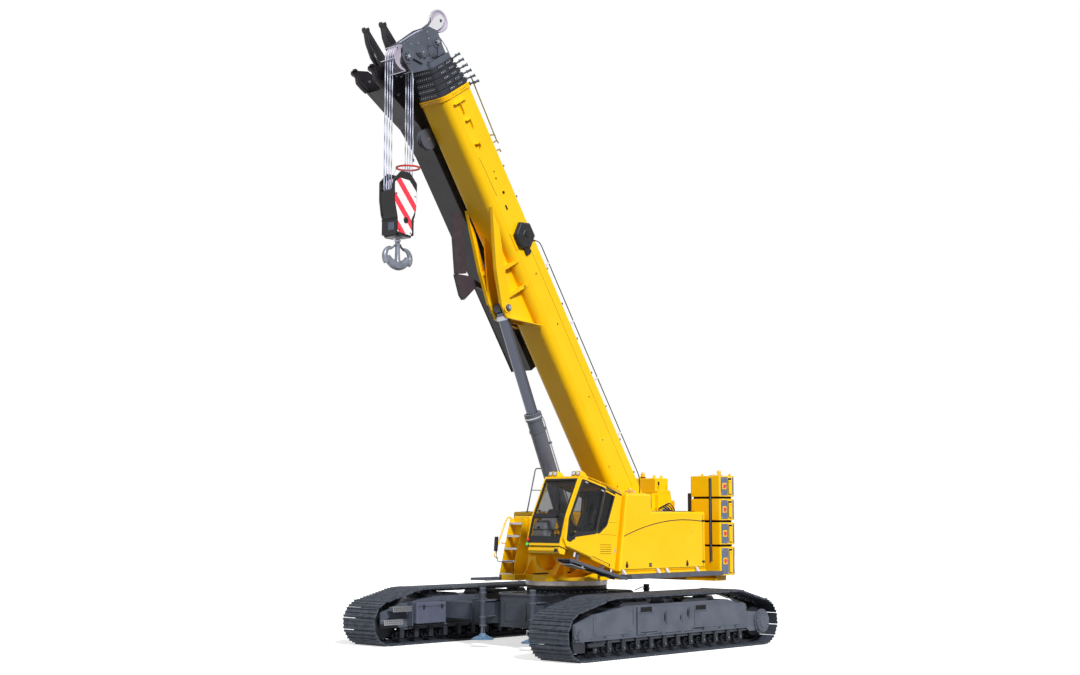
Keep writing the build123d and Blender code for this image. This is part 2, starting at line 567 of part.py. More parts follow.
# Base section with its pivot hub and the luffing bracket
bracket_in = LUFF_ROD_RADIUS + MOVING_GAP
with BuildPart() as boom_base:
    boom_length(BASE_TAIL, BASE_END, 0)
    boom_length(BASE_END - COLLAR, BASE_END, -COLLAR_RIM)
    for sign in (-1, 1):
        bracket = sorted((sign * bracket_in, sign * (bracket_in + LUFF_BRACKET_PLATE)))
        slab(LUFF_BRACKET, *bracket, plane=BOOM_SIDE)
    boom_length(PIVOT_HUB + 60, BASE_END - COLLAR, BOOM_WALL, mode=Mode.SUBTRACT)
    boom_length(BASE_END - COLLAR, BASE_END, SECTION_STEP - SLIDE_GAP, mode=Mode.SUBTRACT)
    disc((0, 0), PIVOT_PIN + PIN_GAP, -BOOM_WIDTH, BOOM_WIDTH, plane=BOOM_SIDE, mode=Mode.SUBTRACT)
save(boom_base.part, "boom_base")

# Telescopic sections, nested in the base section
section_ends = []
for number in range(1, SECTION_COUNT + 1):
    outer = number * SECTION_STEP
    start = SECTION_TAIL[0] + SECTION_TAIL[1] * (number - 1)
    end = BASE_END + COLLAR_PITCH * number
    last = number == SECTION_COUNT
    with BuildPart() as section_tube:
        boom_length(start, end, outer)
        boom_length(end - COLLAR, end, outer - COLLAR_RIM)
        boom_length(start, end if last else end - COLLAR, outer + BOOM_WALL, mode=Mode.SUBTRACT)
        if not last:
            boom_length(end - COLLAR, end, outer + SECTION_STEP - SLIDE_GAP, mode=Mode.SUBTRACT)
    save(section_tube.part, f"boom_section_{number}")
    section_ends.append(end)

# Boom head with its axles and the small sheave's arm
head_start = section_ends[-1] + SEAT_GAP
head_plate = ((head_start, 290), (head_start, -300), (HEAD_AXLE[0] - 330, HEAD_AXLE[1] - 60),
              (HEAD_AXLE[0], HEAD_AXLE[1] - 130), (HEAD_END - 60, HEAD_AXLE[1] + 40), (HEAD_END, 140),
              (HEAD_END - 160, 330))
head_top = ((head_start, 290 - HEAD_PLATE), (head_start, 290), (HEAD_END - 160, 330), (HEAD_END, 140),
            (HEAD_END - 40, 125), (HEAD_END - 180, 330 - HEAD_PLATE))
rooster_arm = ((HEAD_END - 260, 240), (HEAD_END - 20, 160), (ROOSTER[0] + 90, ROOSTER[1] + 60),
               (ROOSTER[0] - 90, ROOSTER[1] + 60))
with BuildPart() as boom_head:
    boom_length(head_start, head_start + 120, SECTION_COUNT * SECTION_STEP)
    for sign in (-1, 1):
        side = sorted((sign * HEAD_HALF_WIDTH, sign * (HEAD_HALF_WIDTH - HEAD_PLATE)))
        slab(head_plate, *side, plane=BOOM_SIDE)
        arm = sorted((sign * (ROOSTER_WIDTH / 2 + 10), sign * (ROOSTER_WIDTH / 2 + 10 + ROOSTER_PLATE)))
        slab(rooster_arm, *arm, plane=BOOM_SIDE)
    slab(head_top, -HEAD_HALF_WIDTH, HEAD_HALF_WIDTH, plane=BOOM_SIDE)
    disc(HEAD_UPPER_AXLE, AXLE_RADIUS, -HEAD_HALF_WIDTH, HEAD_HALF_WIDTH, plane=BOOM_SIDE)
    disc(HEAD_AXLE, AXLE_RADIUS, -HEAD_HALF_WIDTH, HEAD_HALF_WIDTH, plane=BOOM_SIDE)
    disc(ROOSTER, AXLE_RADIUS / 2, -ROOSTER_WIDTH / 2 - 10 - ROOSTER_PLATE,
         ROOSTER_WIDTH / 2 + 10 + ROOSTER_PLATE, plane=BOOM_SIDE)
save(boom_head.part, "boom_head")

with BuildPart() as head_sheaves:
    disc(HEAD_AXLE, SHEAVE_RADIUS - 40, -SHEAVE_PITCH * 2.3, SHEAVE_PITCH * 2.3, plane=BOOM_SIDE)
    for index in range(SHEAVE_COUNT):
        middle = SHEAVE_PITCH * (index - (SHEAVE_COUNT - 1) / 2)
        disc(HEAD_AXLE, SHEAVE_RADIUS, middle - SHEAVE_WIDTH / 2, middle + SHEAVE_WIDTH / 2,
             plane=BOOM_SIDE)
    disc(HEAD_AXLE, AXLE_RADIUS + PIN_GAP, -SHEAVE_PITCH * 3, SHEAVE_PITCH * 3, plane=BOOM_SIDE,
         mode=Mode.SUBTRACT)
save(head_sheaves.part, "head_sheaves")

with BuildPart() as rooster_sheave:
    disc(ROOSTER, ROOSTER_RADIUS, -ROOSTER_WIDTH / 2, ROOSTER_WIDTH / 2, plane=BOOM_SIDE)
    disc(ROOSTER, AXLE_RADIUS / 2 + PIN_GAP, -ROOSTER_WIDTH, ROOSTER_WIDTH, plane=BOOM_SIDE,
         mode=Mode.SUBTRACT)
save(rooster_sheave.part, "rooster_sheave")

# Luffing cylinder
luff_top = boom_point(*LUFF_PIN)
luff_length = hypot(luff_top[0] - LUFF_BASE[0], luff_top[1] - LUFF_BASE[1])
luff_dir = ((luff_top[0] - LUFF_BASE[0]) / luff_length, (luff_top[1] - LUFF_BASE[1]) / luff_length)
LUFF_SIDE = Plane(origin=(LUFF_BASE[0], 0, LUFF_BASE[1]), x_dir=(luff_dir[0], 0, luff_dir[1]),
                  z_dir=(0, -1, 0))


def luff_bar(start, end, radius, mode=Mode.ADD):
    """Add a round length of the luffing cylinder between two places along it."""
    first = (LUFF_BASE[0] + luff_dir[0] * start, 0, LUFF_BASE[1] + luff_dir[1] * start)
    final = (LUFF_BASE[0] + luff_dir[0] * end, 0, LUFF_BASE[1] + luff_dir[1] * end)
    rod(first, final, radius, mode=mode)


with BuildPart() as luff_barrel:
    luff_bar(LUFF_BARREL_START, LUFF_BARREL_LENGTH, LUFF_BARREL_RADIUS)
    luff_bar(LUFF_BARREL_LENGTH - LUFF_COLLAR, LUFF_BARREL_LENGTH, LUFF_COLLAR_RADIUS)
    disc((0, 0), LUFF_EYE_RADIUS, -LUFF_EYE_WIDTH / 2, LUFF_EYE_WIDTH / 2, plane=LUFF_SIDE)
    slab(((0, -90), (0, 90), (LUFF_BARREL_START + 10, 90), (LUFF_BARREL_START + 10, -90)),
         -LUFF_EYE_WIDTH / 2, LUFF_EYE_WIDTH / 2, plane=LUFF_SIDE)
    disc((0, 0), LUFF_PIN_RADIUS + PIN_GAP, -LUFF_EYE_WIDTH, LUFF_EYE_WIDTH, plane=LUFF_SIDE,
         mode=Mode.SUBTRACT)
    luff_bar(LUFF_BARREL_START + 70, LUFF_BARREL_LENGTH, LUFF_ROD_RADIUS + PIN_GAP, mode=Mode.SUBTRACT)
save(luff_barrel.part, "luff_barrel")

with BuildPart() as luff_rod:
    luff_bar(LUFF_BARREL_LENGTH - LUFF_ROD_INSIDE, luff_length - LUFF_EYE_RADIUS + 30, LUFF_ROD_RADIUS)
    disc((luff_length, 0), LUFF_EYE_RADIUS, -LUFF_EYE_WIDTH / 2, LUFF_EYE_WIDTH / 2, plane=LUFF_SIDE)
    disc((luff_length, 0), LUFF_PIN_RADIUS, -LUFF_EYE_WIDTH / 2 - MOVING_GAP / 2,
         LUFF_EYE_WIDTH / 2 + MOVING_GAP / 2, plane=LUFF_SIDE)
save(luff_rod.part, "luff_rod")

# Stowed jib: a closed beam with two side plates whose prongs stand beside the boom head
with BuildPart() as jib:
    slab(JIB_BEAM, -JIB_FAR, -JIB_NEAR, plane=BOOM_SIDE)
    slab(JIB_SIDE, -JIB_FAR, JIB_PLATE - JIB_FAR, plane=BOOM_SIDE)
    slab(JIB_SIDE, -JIB_NEAR - JIB_PLATE, -JIB_NEAR, plane=BOOM_SIDE)
    for stow in JIB_STOWS:
        slab(((stow - JIB_STOW_HALF, -JIB_STOW_HALF), (stow + JIB_STOW_HALF, -JIB_STOW_HALF),
              (stow + JIB_STOW_HALF, 0), (stow - JIB_STOW_HALF, 0)), -JIB_NEAR, -BOOM_WIDTH / 2 - SEAT_GAP,
             plane=BOOM_SIDE)
save(jib.part, "stowed_jib")

# Rope falls between the head and the hook block
head_x, head_z = boom_point(*HEAD_AXLE)
block_z = head_z - BLOCK_DROP
with BuildPart() as rope_falls:
    for sign in (-1, 1):
        for index in range(SHEAVE_COUNT):
            fall_y = SHEAVE_PITCH * (index - (SHEAVE_COUNT - 1) / 2)
            fall_x = head_x + sign * (SHEAVE_RADIUS + FALL_RADIUS + SEAT_GAP)
            rod((fall_x, fall_y, block_z + SEAT_GAP), (fall_x, fall_y, head_z), FALL_RADIUS)
save(rope_falls.part, "rope_falls")

# Hook block with side plates, sheaves and the cross-head, and the double hook that turns in it
with BuildPart() as hook_block:
    half = ((150, BLOCK_TOP), (BLOCK_HALF_LENGTH, 140), (BLOCK_HALF_LENGTH, -150), (BLOCK_NECK, -420),
            (BLOCK_NECK, -BLOCK_BOTTOM))
    outline = half + tuple((-x, z) for x, z in reversed(half))
    slab([(head_x + x, block_z + z) for x, z in outline], -BLOCK_HALF_WIDTH, BLOCK_HALF_WIDTH)
    slot_half = SHEAVE_PITCH * (SHEAVE_COUNT - 1) / 2 + BLOCK_SLOT
    for sign in (-1, 1):
        slot = sorted((head_x + sign * SHEAVE_RADIUS, head_x + sign * 2 * BLOCK_HALF_LENGTH))
        block(slot, (-slot_half, slot_half), (block_z, block_z + BLOCK_TOP), mode=Mode.SUBTRACT)
    with BuildSketch(Plane.XY.offset(block_z - BLOCK_BOTTOM)):
        with Locations((head_x, 0)):
            Circle(HOOK_SHANK + PIN_GAP)
    extrude(amount=160, mode=Mode.SUBTRACT)
save(hook_block.part, "hook_block")

with BuildPart() as hook:
    hook_z = block_z - HOOK_DROP
    bowls = [(head_x + sign * BOWL_OFFSET, hook_z) for sign in (-1, 1)]
    for bowl in bowls:
        disc(bowl, HOOK_RADIUS, -HOOK_THICK / 2, HOOK_THICK / 2)
    slab([(head_x + x, hook_z + z) for x, z in ((-BOWL_OFFSET, -HOOK_RADIUS), (BOWL_OFFSET, -HOOK_RADIUS),
                                                (BOWL_OFFSET, 0), (-BOWL_OFFSET, 0))],
         -HOOK_THICK / 2, HOOK_THICK / 2)
    for sign, bowl in zip((-1, 1), bowls):
        disc(bowl, BOWL_RADIUS, -HOOK_THICK, HOOK_THICK, mode=Mode.SUBTRACT)
        throat = ((30, 0), (30, 2 * HOOK_RADIUS), (HOOK_SHANK - BOWL_OFFSET, 2 * HOOK_RADIUS),
                  (HOOK_SHANK - BOWL_OFFSET, 0))
        slab([(bowl[0] + sign * x, hook_z + z) for x, z in throat], -HOOK_THICK, HOOK_THICK,
             mode=Mode.SUBTRACT)
    slab([(head_x + x, hook_z + z) for x, z in ((-HOOK_SHANK, 0), (HOOK_SHANK, 0),
                                                (HOOK_SHANK, HOOK_RADIUS), (-HOOK_SHANK, HOOK_RADIUS))],
         -HOOK_SHANK, HOOK_SHANK)
    with BuildSketch(Plane.XY.offset(hook_z)):
        with Locations((head_x, 0)):
            Circle(HOOK_SHANK)
    extrude(amount=HOOK_DROP - BLOCK_BOTTOM + 150)
save(hook.part, "hook")

# Cab: hollow shell with its window openings, glass, seat, console and the sliding door
nose = CAB_LENGTH + CAB_NOSE
cab_outline = ((0, 0), (CAB_LENGTH, 0), (nose, CAB_NOSE_LOW), (nose + 10, CAB_NOSE_HIGH),
               (CAB_LENGTH, CAB_FRONT_HEIGHT - 10), (CAB_LENGTH - 40, CAB_FRONT_HEIGHT),
               (CAB_REAR_LEAN, CAB_REAR_HEIGHT))
cab_inside = ((CAB_WALL + 10, CAB_FLOOR), (CAB_LENGTH - 20, CAB_FLOOR),
              (nose - CAB_WALL, CAB_NOSE_LOW + 20), (nose + 10 - CAB_WALL, CAB_NOSE_HIGH),
              (CAB_LENGTH - CAB_WALL - 6, CAB_FRONT_HEIGHT - CAB_WALL - 10),
              (CAB_REAR_LEAN + CAB_WALL, CAB_REAR_HEIGHT - CAB_WALL - 8))
right_window = ((nose - 70, 330), (nose - 60, CAB_NOSE_HIGH), (CAB_LENGTH - 75, CAB_FRONT_HEIGHT - 90),
                (CAB_REAR_LEAN + 150, CAB_REAR_HEIGHT - 140), (230, 560))
door_outline = ((DOOR_REAR, 12), (CAB_LENGTH - 8, 12), (nose - 12, CAB_NOSE_LOW + 4),
                (nose - 2, CAB_NOSE_HIGH), (CAB_LENGTH - 14, CAB_FRONT_HEIGHT - 22),
                (DOOR_REAR, CAB_FRONT_HEIGHT + 28))
door_window = ((DOOR_REAR + CAB_POST, 560), (nose - 315, 375), (nose - 255, 235), (nose - 120, 235),
               (nose - 95, CAB_NOSE_HIGH),
               (CAB_LENGTH - 112, CAB_FRONT_HEIGHT - 60), (DOOR_REAR + CAB_POST, CAB_FRONT_HEIGHT - 25))
door_hole = ((DOOR_REAR + 35, CAB_FLOOR), (CAB_LENGTH - 60, CAB_FLOOR), (nose - 80, CAB_NOSE_LOW + 40),
             (nose - 70, CAB_NOSE_HIGH), (CAB_LENGTH - 82, CAB_FRONT_HEIGHT - 62),
             (DOOR_REAR + 35, CAB_FRONT_HEIGHT - 20))
quarter_window = ((DOOR_REAR - 15, 600), (DOOR_REAR - 15, CAB_FRONT_HEIGHT - 20),
                  (CAB_REAR_LEAN + 225, CAB_REAR_HEIGHT - 95), (530, 810), (700, 600))
door_in = CAB_LEFT + DOOR_GAP
FRONT_WINDOWS = ((170.0, 560.0), (640.0, 1390.0))


def cab_front_x(height):
    """Return how far forward the cab's front face is at a height above its floor."""
    if height < CAB_NOSE_HIGH:
        return nose + 10 * (height - CAB_NOSE_LOW) / (CAB_NOSE_HIGH - CAB_NOSE_LOW)
    share = (height - CAB_NOSE_HIGH) / (CAB_FRONT_HEIGHT - 10 - CAB_NOSE_HIGH)
    return nose + 10 + (CAB_LENGTH - nose - 10) * share


def cab_front_block(z_pair, x_pair, inner, outer, mode):
    """Cut or fill a window's place through the cab's front, between two heights, widths and depths."""
    low, high = (cab_front_x(z) for z in z_pair)
    slab(((low - inner, z_pair[0]), (low - outer, z_pair[0]), (high - outer, z_pair[1]),
          (high - inner, z_pair[1])),
         *x_pair, plane=CAB_SIDE, mode=mode)


with BuildPart() as cab_shell:
    slab(cab_outline, CAB_RIGHT, CAB_LEFT, plane=CAB_SIDE)
    slab(cab_inside, CAB_RIGHT + CAB_WALL, CAB_LEFT - CAB_WALL, plane=CAB_SIDE, mode=Mode.SUBTRACT)
    slab(right_window, CAB_RIGHT - 10, CAB_RIGHT + CAB_WALL + 10, plane=CAB_SIDE, mode=Mode.SUBTRACT)
    slab(door_hole, CAB_LEFT - CAB_WALL - 10, CAB_LEFT + 10, plane=CAB_SIDE, mode=Mode.SUBTRACT)
    slab(quarter_window, CAB_LEFT - CAB_WALL - 10, CAB_LEFT + 10, plane=CAB_SIDE, mode=Mode.SUBTRACT)
    for pair in FRONT_WINDOWS:
        cab_front_block(pair, (CAB_RIGHT + CAB_POST, CAB_LEFT - CAB_POST), 90, -10, Mode.SUBTRACT)
    slab(((620, CAB_FRONT_HEIGHT - 120), (1250, CAB_FRONT_HEIGHT - 120), (1250, CAB_FRONT_HEIGHT + 100),
          (620, CAB_FRONT_HEIGHT + 100)),
         CAB_RIGHT + 170, CAB_LEFT - 170, plane=CAB_SIDE, mode=Mode.SUBTRACT)
    slab(((CAB_HINGE[0] - 70, 0), (CAB_HINGE[0] + 70, 0), (CAB_HINGE[0] + 50, CAB_HINGE[1] - 30),
          (CAB_HINGE[0] - 50, CAB_HINGE[1] - 30)),
         CAB_RIGHT + 200, CAB_LEFT - 200, plane=CAB_SIDE)
    disc(CAB_HINGE, CAB_HINGE_RADIUS + PIN_GAP, CAB_RIGHT, CAB_LEFT, plane=CAB_SIDE, mode=Mode.SUBTRACT)
    for low, start, end in ((CAB_RAILS[0], DOOR_TRAVEL_END, CAB_LENGTH - 40),
                            (CAB_RAILS[1], CAB_REAR_LEAN, CAB_LENGTH - 60)):
        slab(((start, low), (end, low), (end, low + 30), (start, low + 30)), CAB_LEFT - 5,
             CAB_LEFT + DOOR_GAP - SLIDE_GAP, plane=CAB_SIDE)
save(cab_shell.part, "cab_shell")

with BuildPart() as cab_door:
    slab(door_outline, door_in, door_in + DOOR_THICK, plane=CAB_SIDE)
    slab(door_window, door_in - 10, door_in + DOOR_THICK + 10, plane=CAB_SIDE, mode=Mode.SUBTRACT)
save(cab_door.part, "cab_door")
with BuildPart() as door_glass:
    slab(door_window, door_in + 10, door_in + 10 + GLASS, plane=CAB_SIDE)
save(door_glass.part, "door_glass")

with BuildPart() as cab_glass:
    slab(right_window, CAB_RIGHT + 10, CAB_RIGHT + 10 + GLASS, plane=CAB_SIDE)
    slab(quarter_window, CAB_LEFT - 20 - GLASS, CAB_LEFT - 20, plane=CAB_SIDE)
    for low, high in FRONT_WINDOWS:
        cab_front_block((low, high), (CAB_RIGHT + CAB_POST, CAB_LEFT - CAB_POST), 24, 24 - GLASS, Mode.ADD)
save(cab_glass.part, "cab_glass")

with BuildPart() as cab_seat:
    middle = (CAB_RIGHT + CAB_LEFT) / 2
    seat_front = SEAT_REAR + SEAT_LENGTH
    slab(((SEAT_REAR + 80, CAB_FLOOR + SEAT_GAP), (seat_front - 120, CAB_FLOOR + SEAT_GAP),
          (seat_front - 120, SEAT_HEIGHT - 130), (seat_front, SEAT_HEIGHT - 100), (seat_front, SEAT_HEIGHT),
          (SEAT_REAR + 200, SEAT_HEIGHT - 10), (SEAT_REAR + 120, SEAT_BACK_TOP), (SEAT_REAR, SEAT_BACK_TOP),
          (SEAT_REAR + 70, SEAT_HEIGHT - 110), (SEAT_REAR + 80, SEAT_HEIGHT - 130)),
         middle - SEAT_WIDTH / 2, middle + SEAT_WIDTH / 2, plane=CAB_SIDE)
save(cab_seat.part, "cab_seat")

with BuildPart() as cab_console:
    slab(((nose - 365, CAB_FLOOR + SEAT_GAP), (nose - 245, CAB_FLOOR + SEAT_GAP),
          (nose - 185, CONSOLE_TOP - 140), (nose - 265, CONSOLE_TOP), (nose - 355, CONSOLE_TOP - 10)),
         CAB_RIGHT + CAB_WALL + 20, middle - 100, plane=CAB_SIDE)
save(cab_console.part, "cab_console")

# Cab carrier on the superstructure: the hinge's lugs and pin
hinge_x = CAB_CORNER[0] + CAB_HINGE[0] * CAB_COS - CAB_HINGE[1] * CAB_SIN
hinge_z = CAB_CORNER[1] + CAB_HINGE[0] * CAB_SIN + CAB_HINGE[1] * CAB_COS
with BuildPart() as cab_carrier:
    for y_pair in ((CAB_RIGHT + 120, CAB_RIGHT + 200 - SLIDE_GAP),
                   (CAB_LEFT - 200 + SLIDE_GAP, CAB_LEFT - 120)):
        slab(((hinge_x - 110, DECK_BOTTOM + 30), (hinge_x + 700, DECK_BOTTOM + 30),
              (hinge_x + 700, DECK_BOTTOM + 90), (hinge_x + 60, hinge_z + 40),
              (hinge_x - 60, hinge_z + 40)), *y_pair)
    block((hinge_x + 100, hinge_x + 700), (DECK_HALF_WIDTH + SEAT_GAP, CAB_LEFT - 120),
          (DECK_BOTTOM + 20, DECK_BOTTOM + 80))
    disc((hinge_x, hinge_z), CAB_HINGE_RADIUS, CAB_RIGHT + 120, CAB_LEFT - 120)
save(cab_carrier.part, "cab_carrier")

# Walkways beside the housings, ladder and guard rail
with BuildPart() as walkways:
    block((HOUSING_REAR + 100, HOUSING_FRONT[0]), (HOUSING_OUT + SEAT_GAP, WALK_OUT),
          (WALK_TOP - WALK_THICK, WALK_TOP))
save(walkways.part, "walkway")

with BuildPart() as ladder:
    ladder_back = STEP_BLOCK[0] + SEAT_GAP
    lean = LADDER_LEAN / (LADDER_TOP - LADDER_FOOT)
    string = ((ladder_back, LADDER_TOP), (ladder_back + LADDER_STRING, LADDER_TOP),
              (ladder_back + LADDER_LEAN + LADDER_STRING, LADDER_FOOT),
              (ladder_back + LADDER_LEAN, LADDER_FOOT), (ladder_back, DECK_TOP))
    for side_y in LADDER_Y:
        slab(string, side_y - 12, side_y + 12)
    for index in range(LADDER_STEPS):
        step_z = LADDER_TOP - 90 - index * LADDER_STEP_RISE
        step_x = ladder_back + (LADDER_TOP - step_z) * lean
        block((step_x, step_x + LADDER_TREAD), LADDER_Y, (step_z - 28, step_z))
save(ladder.part, "ladder")
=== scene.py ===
"""Looks of a telescopic crawler crane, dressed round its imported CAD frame.

Metres, in the frame of the CAD: +X is the crane's front, +Y its left, +Z up, and the origin is on the
ground under the slewing axis. Each sub-assembly is a class that holds its sizes and builds its own pieces.
"""

from __future__ import annotations

import json
import logging
import math
from collections.abc import Iterable, Sequence
from dataclasses import dataclass
from enum import Enum

import bmesh
import bpy
from mathutils import Matrix, Vector

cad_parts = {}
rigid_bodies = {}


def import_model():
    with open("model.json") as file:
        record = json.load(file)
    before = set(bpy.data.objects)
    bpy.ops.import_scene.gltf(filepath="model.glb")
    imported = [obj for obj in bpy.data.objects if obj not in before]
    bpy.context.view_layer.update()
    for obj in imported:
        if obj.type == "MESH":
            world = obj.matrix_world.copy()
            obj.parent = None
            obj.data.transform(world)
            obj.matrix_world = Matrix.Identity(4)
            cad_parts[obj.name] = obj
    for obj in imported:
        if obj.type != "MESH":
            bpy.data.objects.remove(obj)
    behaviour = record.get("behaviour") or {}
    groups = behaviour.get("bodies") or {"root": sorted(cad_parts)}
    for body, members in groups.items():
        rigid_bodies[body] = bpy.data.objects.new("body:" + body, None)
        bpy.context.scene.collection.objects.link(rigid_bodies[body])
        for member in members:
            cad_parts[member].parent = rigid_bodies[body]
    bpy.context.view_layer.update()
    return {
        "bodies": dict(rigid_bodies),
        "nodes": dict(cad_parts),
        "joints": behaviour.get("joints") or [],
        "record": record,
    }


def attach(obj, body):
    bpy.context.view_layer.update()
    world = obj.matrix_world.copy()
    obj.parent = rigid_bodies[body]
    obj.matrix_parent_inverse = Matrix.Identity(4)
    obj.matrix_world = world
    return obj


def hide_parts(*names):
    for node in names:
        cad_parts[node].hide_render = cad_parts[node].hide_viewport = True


LOG = logging.getLogger("crane")

Point = Sequence[float]
Pair = tuple[float, float]

SHARP_ANGLE = math.radians(38)
BEVEL_ANGLE = math.radians(28)

# The photograph's camera
PHOTO_SIZE = (1080, 675)
FOCAL_PIXELS = 1550.0
SENSOR_WIDTH = 36.0
CAMERA_PLACE = (24.80, 22.36, 2.704)
CAMERA_LOOK = (-0.731, -0.682)
CAMERA_PITCH = math.radians(6.55)

# The cab's hinge pin, along and up from the lower rear corner of its floor
CAB_HINGE = (0.090, -0.075)


class Along(Enum):
    """The local axis along which an outline is extruded."""

    X = "x"
    Y = "y"
    Z = "z"


# Finishes


def linear(colour: str) -> tuple[float, float, float, float]:
    """Turn an sRGB hex colour into linear light.

    Args:
        colour: Six hex digits after a hash.

    Returns:
        Red, green, blue and an alpha of 1.
    """
    parts = [int(colour[i : i + 2], 16) / 255 for i in (1, 3, 5)]
    red, green, blue = (c / 12.92 if c <= 0.04045 else ((c + 0.055) / 1.055) ** 2.4 for c in parts)
    return red, green, blue, 1.0


def add_node(tree: bpy.types.NodeTree, kind: str, inputs: dict | None = None,
             **settings: object) -> bpy.types.Node:
    """Add a node with its settings and links.

    Args:
        tree: The node tree that gets it.
        kind: The node's type name.
        inputs: Socket name or index to a value, or to the output socket that feeds it.
        **settings: The node's own properties.

    Returns:
        The new node.
    """
    node = tree.nodes.new(kind)
    for key, value in settings.items():
        setattr(node, key, value)
    for key, value in (inputs or {}).items():
        if isinstance(value, bpy.types.NodeSocket):
            tree.links.new(value, node.inputs[key])
        else:
            node.inputs[key].default_value = value
    return node


def mix_colours(tree: bpy.types.NodeTree, share: bpy.types.NodeSocket, first: str,
                second: str) -> bpy.types.NodeSocket:
    """Mix two colours by a share, and return the socket that carries the result.

    Args:
        tree: The node tree.
        share: The socket that says how much of the second colour is taken.
        first: The first colour.
        second: The second colour.

    Returns:
        The mixed colour's socket.
    """
    # A Mix node's colour sockets come after its number and vector sockets of the same names
    mixed = add_node(tree, "ShaderNodeMix", {0: share, 6: linear(first), 7: linear(second)},
                     data_type="RGBA")
    return mixed.outputs[2]


@dataclass(frozen=True)
class Finish:
    """A surface as it is made: its colour, its gloss and the small unevenness that light shows."""

    name: str
    colour: str
    roughness: float
    metallic: float = 0.0
    gloss: float = 0.3  # share of the plain reflection
    coat: float = 0.0
    coat_roughness: float = 0.12
    shade: str = ""  # second colour, in soft clouds over the first
    cloud_mm: float = 600.0
    cloud_share: float = 0.5
    grain_mm: float = 0.0  # width of the bump's grain
    grain_depth_mm: float = 0.0
    emission: float = 0.0

    def material(self) -> bpy.types.Material:
        """Build the finish's material, or return it if it is there already."""
        found = bpy.data.materials.get(self.name)
        if found is not None:
            return found
        made = bpy.data.materials.new(self.name)
        made.use_nodes = True
        tree = made.node_tree
        tree.nodes.clear()
        surface = add_node(tree, "ShaderNodeBsdfPrincipled", {
            "Base Color": linear(self.colour), "Roughness": self.roughness, "Metallic": self.metallic,
            "Specular IOR Level": self.gloss, "Coat Weight": self.coat,
            "Coat Roughness": self.coat_roughness})
        self.dress(tree, surface)
        add_node(tree, "ShaderNodeOutputMaterial", {"Surface": surface.outputs["BSDF"]})
        made.diffuse_color = linear(self.colour)
        return made

    def dress(self, tree: bpy.types.NodeTree, surface: bpy.types.Node) -> None:
        """Lay the clouds, the grain and the glow on the shader.

        Args:
            tree: The material's node tree.
            surface: Its Principled shader.
        """
        place = add_node(tree, "ShaderNodeTexCoord").outputs["Object"]
        if self.shade:
            cloud = add_node(tree, "ShaderNodeTexNoise",
                             {"Vector": place, "Scale": 1000 / self.cloud_mm, "Detail": 5.0,
                              "Roughness": 0.62})
            share = add_node(tree, "ShaderNodeMapRange", {"Value": cloud.outputs["Fac"], "From Min": 0.38,
                                                          "From Max": 0.68, "To Max": self.cloud_share})
            mixed = mix_colours(tree, share.outputs["Result"], self.colour, self.shade)
            tree.links.new(mixed, surface.inputs["Base Color"])
            rough = add_node(tree, "ShaderNodeMapRange", {"Value": cloud.outputs["Fac"], "From Min": 0.3,
                                                          "From Max": 0.7, "To Min": self.roughness * 0.85,
                                                          "To Max": min(1.0, self.roughness * 1.25)})
            tree.links.new(rough.outputs["Result"], surface.inputs["Roughness"])
        if self.grain_mm:
            grain = add_node(tree, "ShaderNodeTexNoise",
                             {"Vector": place, "Scale": 1000 / self.grain_mm, "Detail": 2.0})
            bump = add_node(tree, "ShaderNodeBump", {"Height": grain.outputs["Fac"], "Strength": 0.4,
                                                     "Distance": self.grain_depth_mm / 1000})
            tree.links.new(bump.outputs["Normal"], surface.inputs["Normal"])
        if self.emission:
            surface.inputs["Emission Color"].default_value = linear(self.colour)
            surface.inputs["Emission Strength"].default_value = self.emission


@dataclass(frozen=True)
class Glass(Finish):
    """Thin tinted glazing: part of the light goes straight through, the rest is a glossy reflection."""

    clear: float = 0.6

    def dress(self, tree: bpy.types.NodeTree, surface: bpy.types.Node) -> None:
        """Make the shader see-through by alpha, which keeps thin panes cheap and clean."""
        surface.inputs["Alpha"].default_value = 1 - self.clear
        surface.inputs["Specular IOR Level"].default_value = 0.5
        surface.inputs["IOR"].default_value = 1.5


@dataclass(frozen=True)
class StripePaint(Finish):
    """Warning stripes that lean across a plate, painted under the finish's own gloss."""

    other: str = "#F6F4F2"
    pitch: float = 0.386
    slope: float = -0.84  # how far the place across them changes with height
    offset: float = 0.0
    share: float = 0.42  # of the first colour

    def dress(self, tree: bpy.types.NodeTree, surface: bpy.types.Node) -> None:
        """Paint the stripes by the place across them."""
        place = add_node(tree, "ShaderNodeTexCoord").outputs["Object"]
        parts = add_node(tree, "ShaderNodeSeparateXYZ", {"Vector": place})
        across = add_node(tree, "ShaderNodeMath", {0: parts.outputs["Z"], 1: self.slope,
                                                   2: parts.outputs["X"]},
                          operation="MULTIPLY_ADD")
        turns = add_node(tree, "ShaderNodeMath", {0: across.outputs[0], 1: 1 / self.pitch, 2: self.offset},
                         operation="MULTIPLY_ADD")
        part = add_node(tree, "ShaderNodeMath", {0: turns.outputs[0]}, operation="FRACT")
        side = add_node(tree, "ShaderNodeMath", {0: part.outputs[0], 1: self.share},
                        operation="GREATER_THAN")
        tree.links.new(mix_colours(tree, side.outputs[0], self.colour, self.other),
                       surface.inputs["Base Color"])


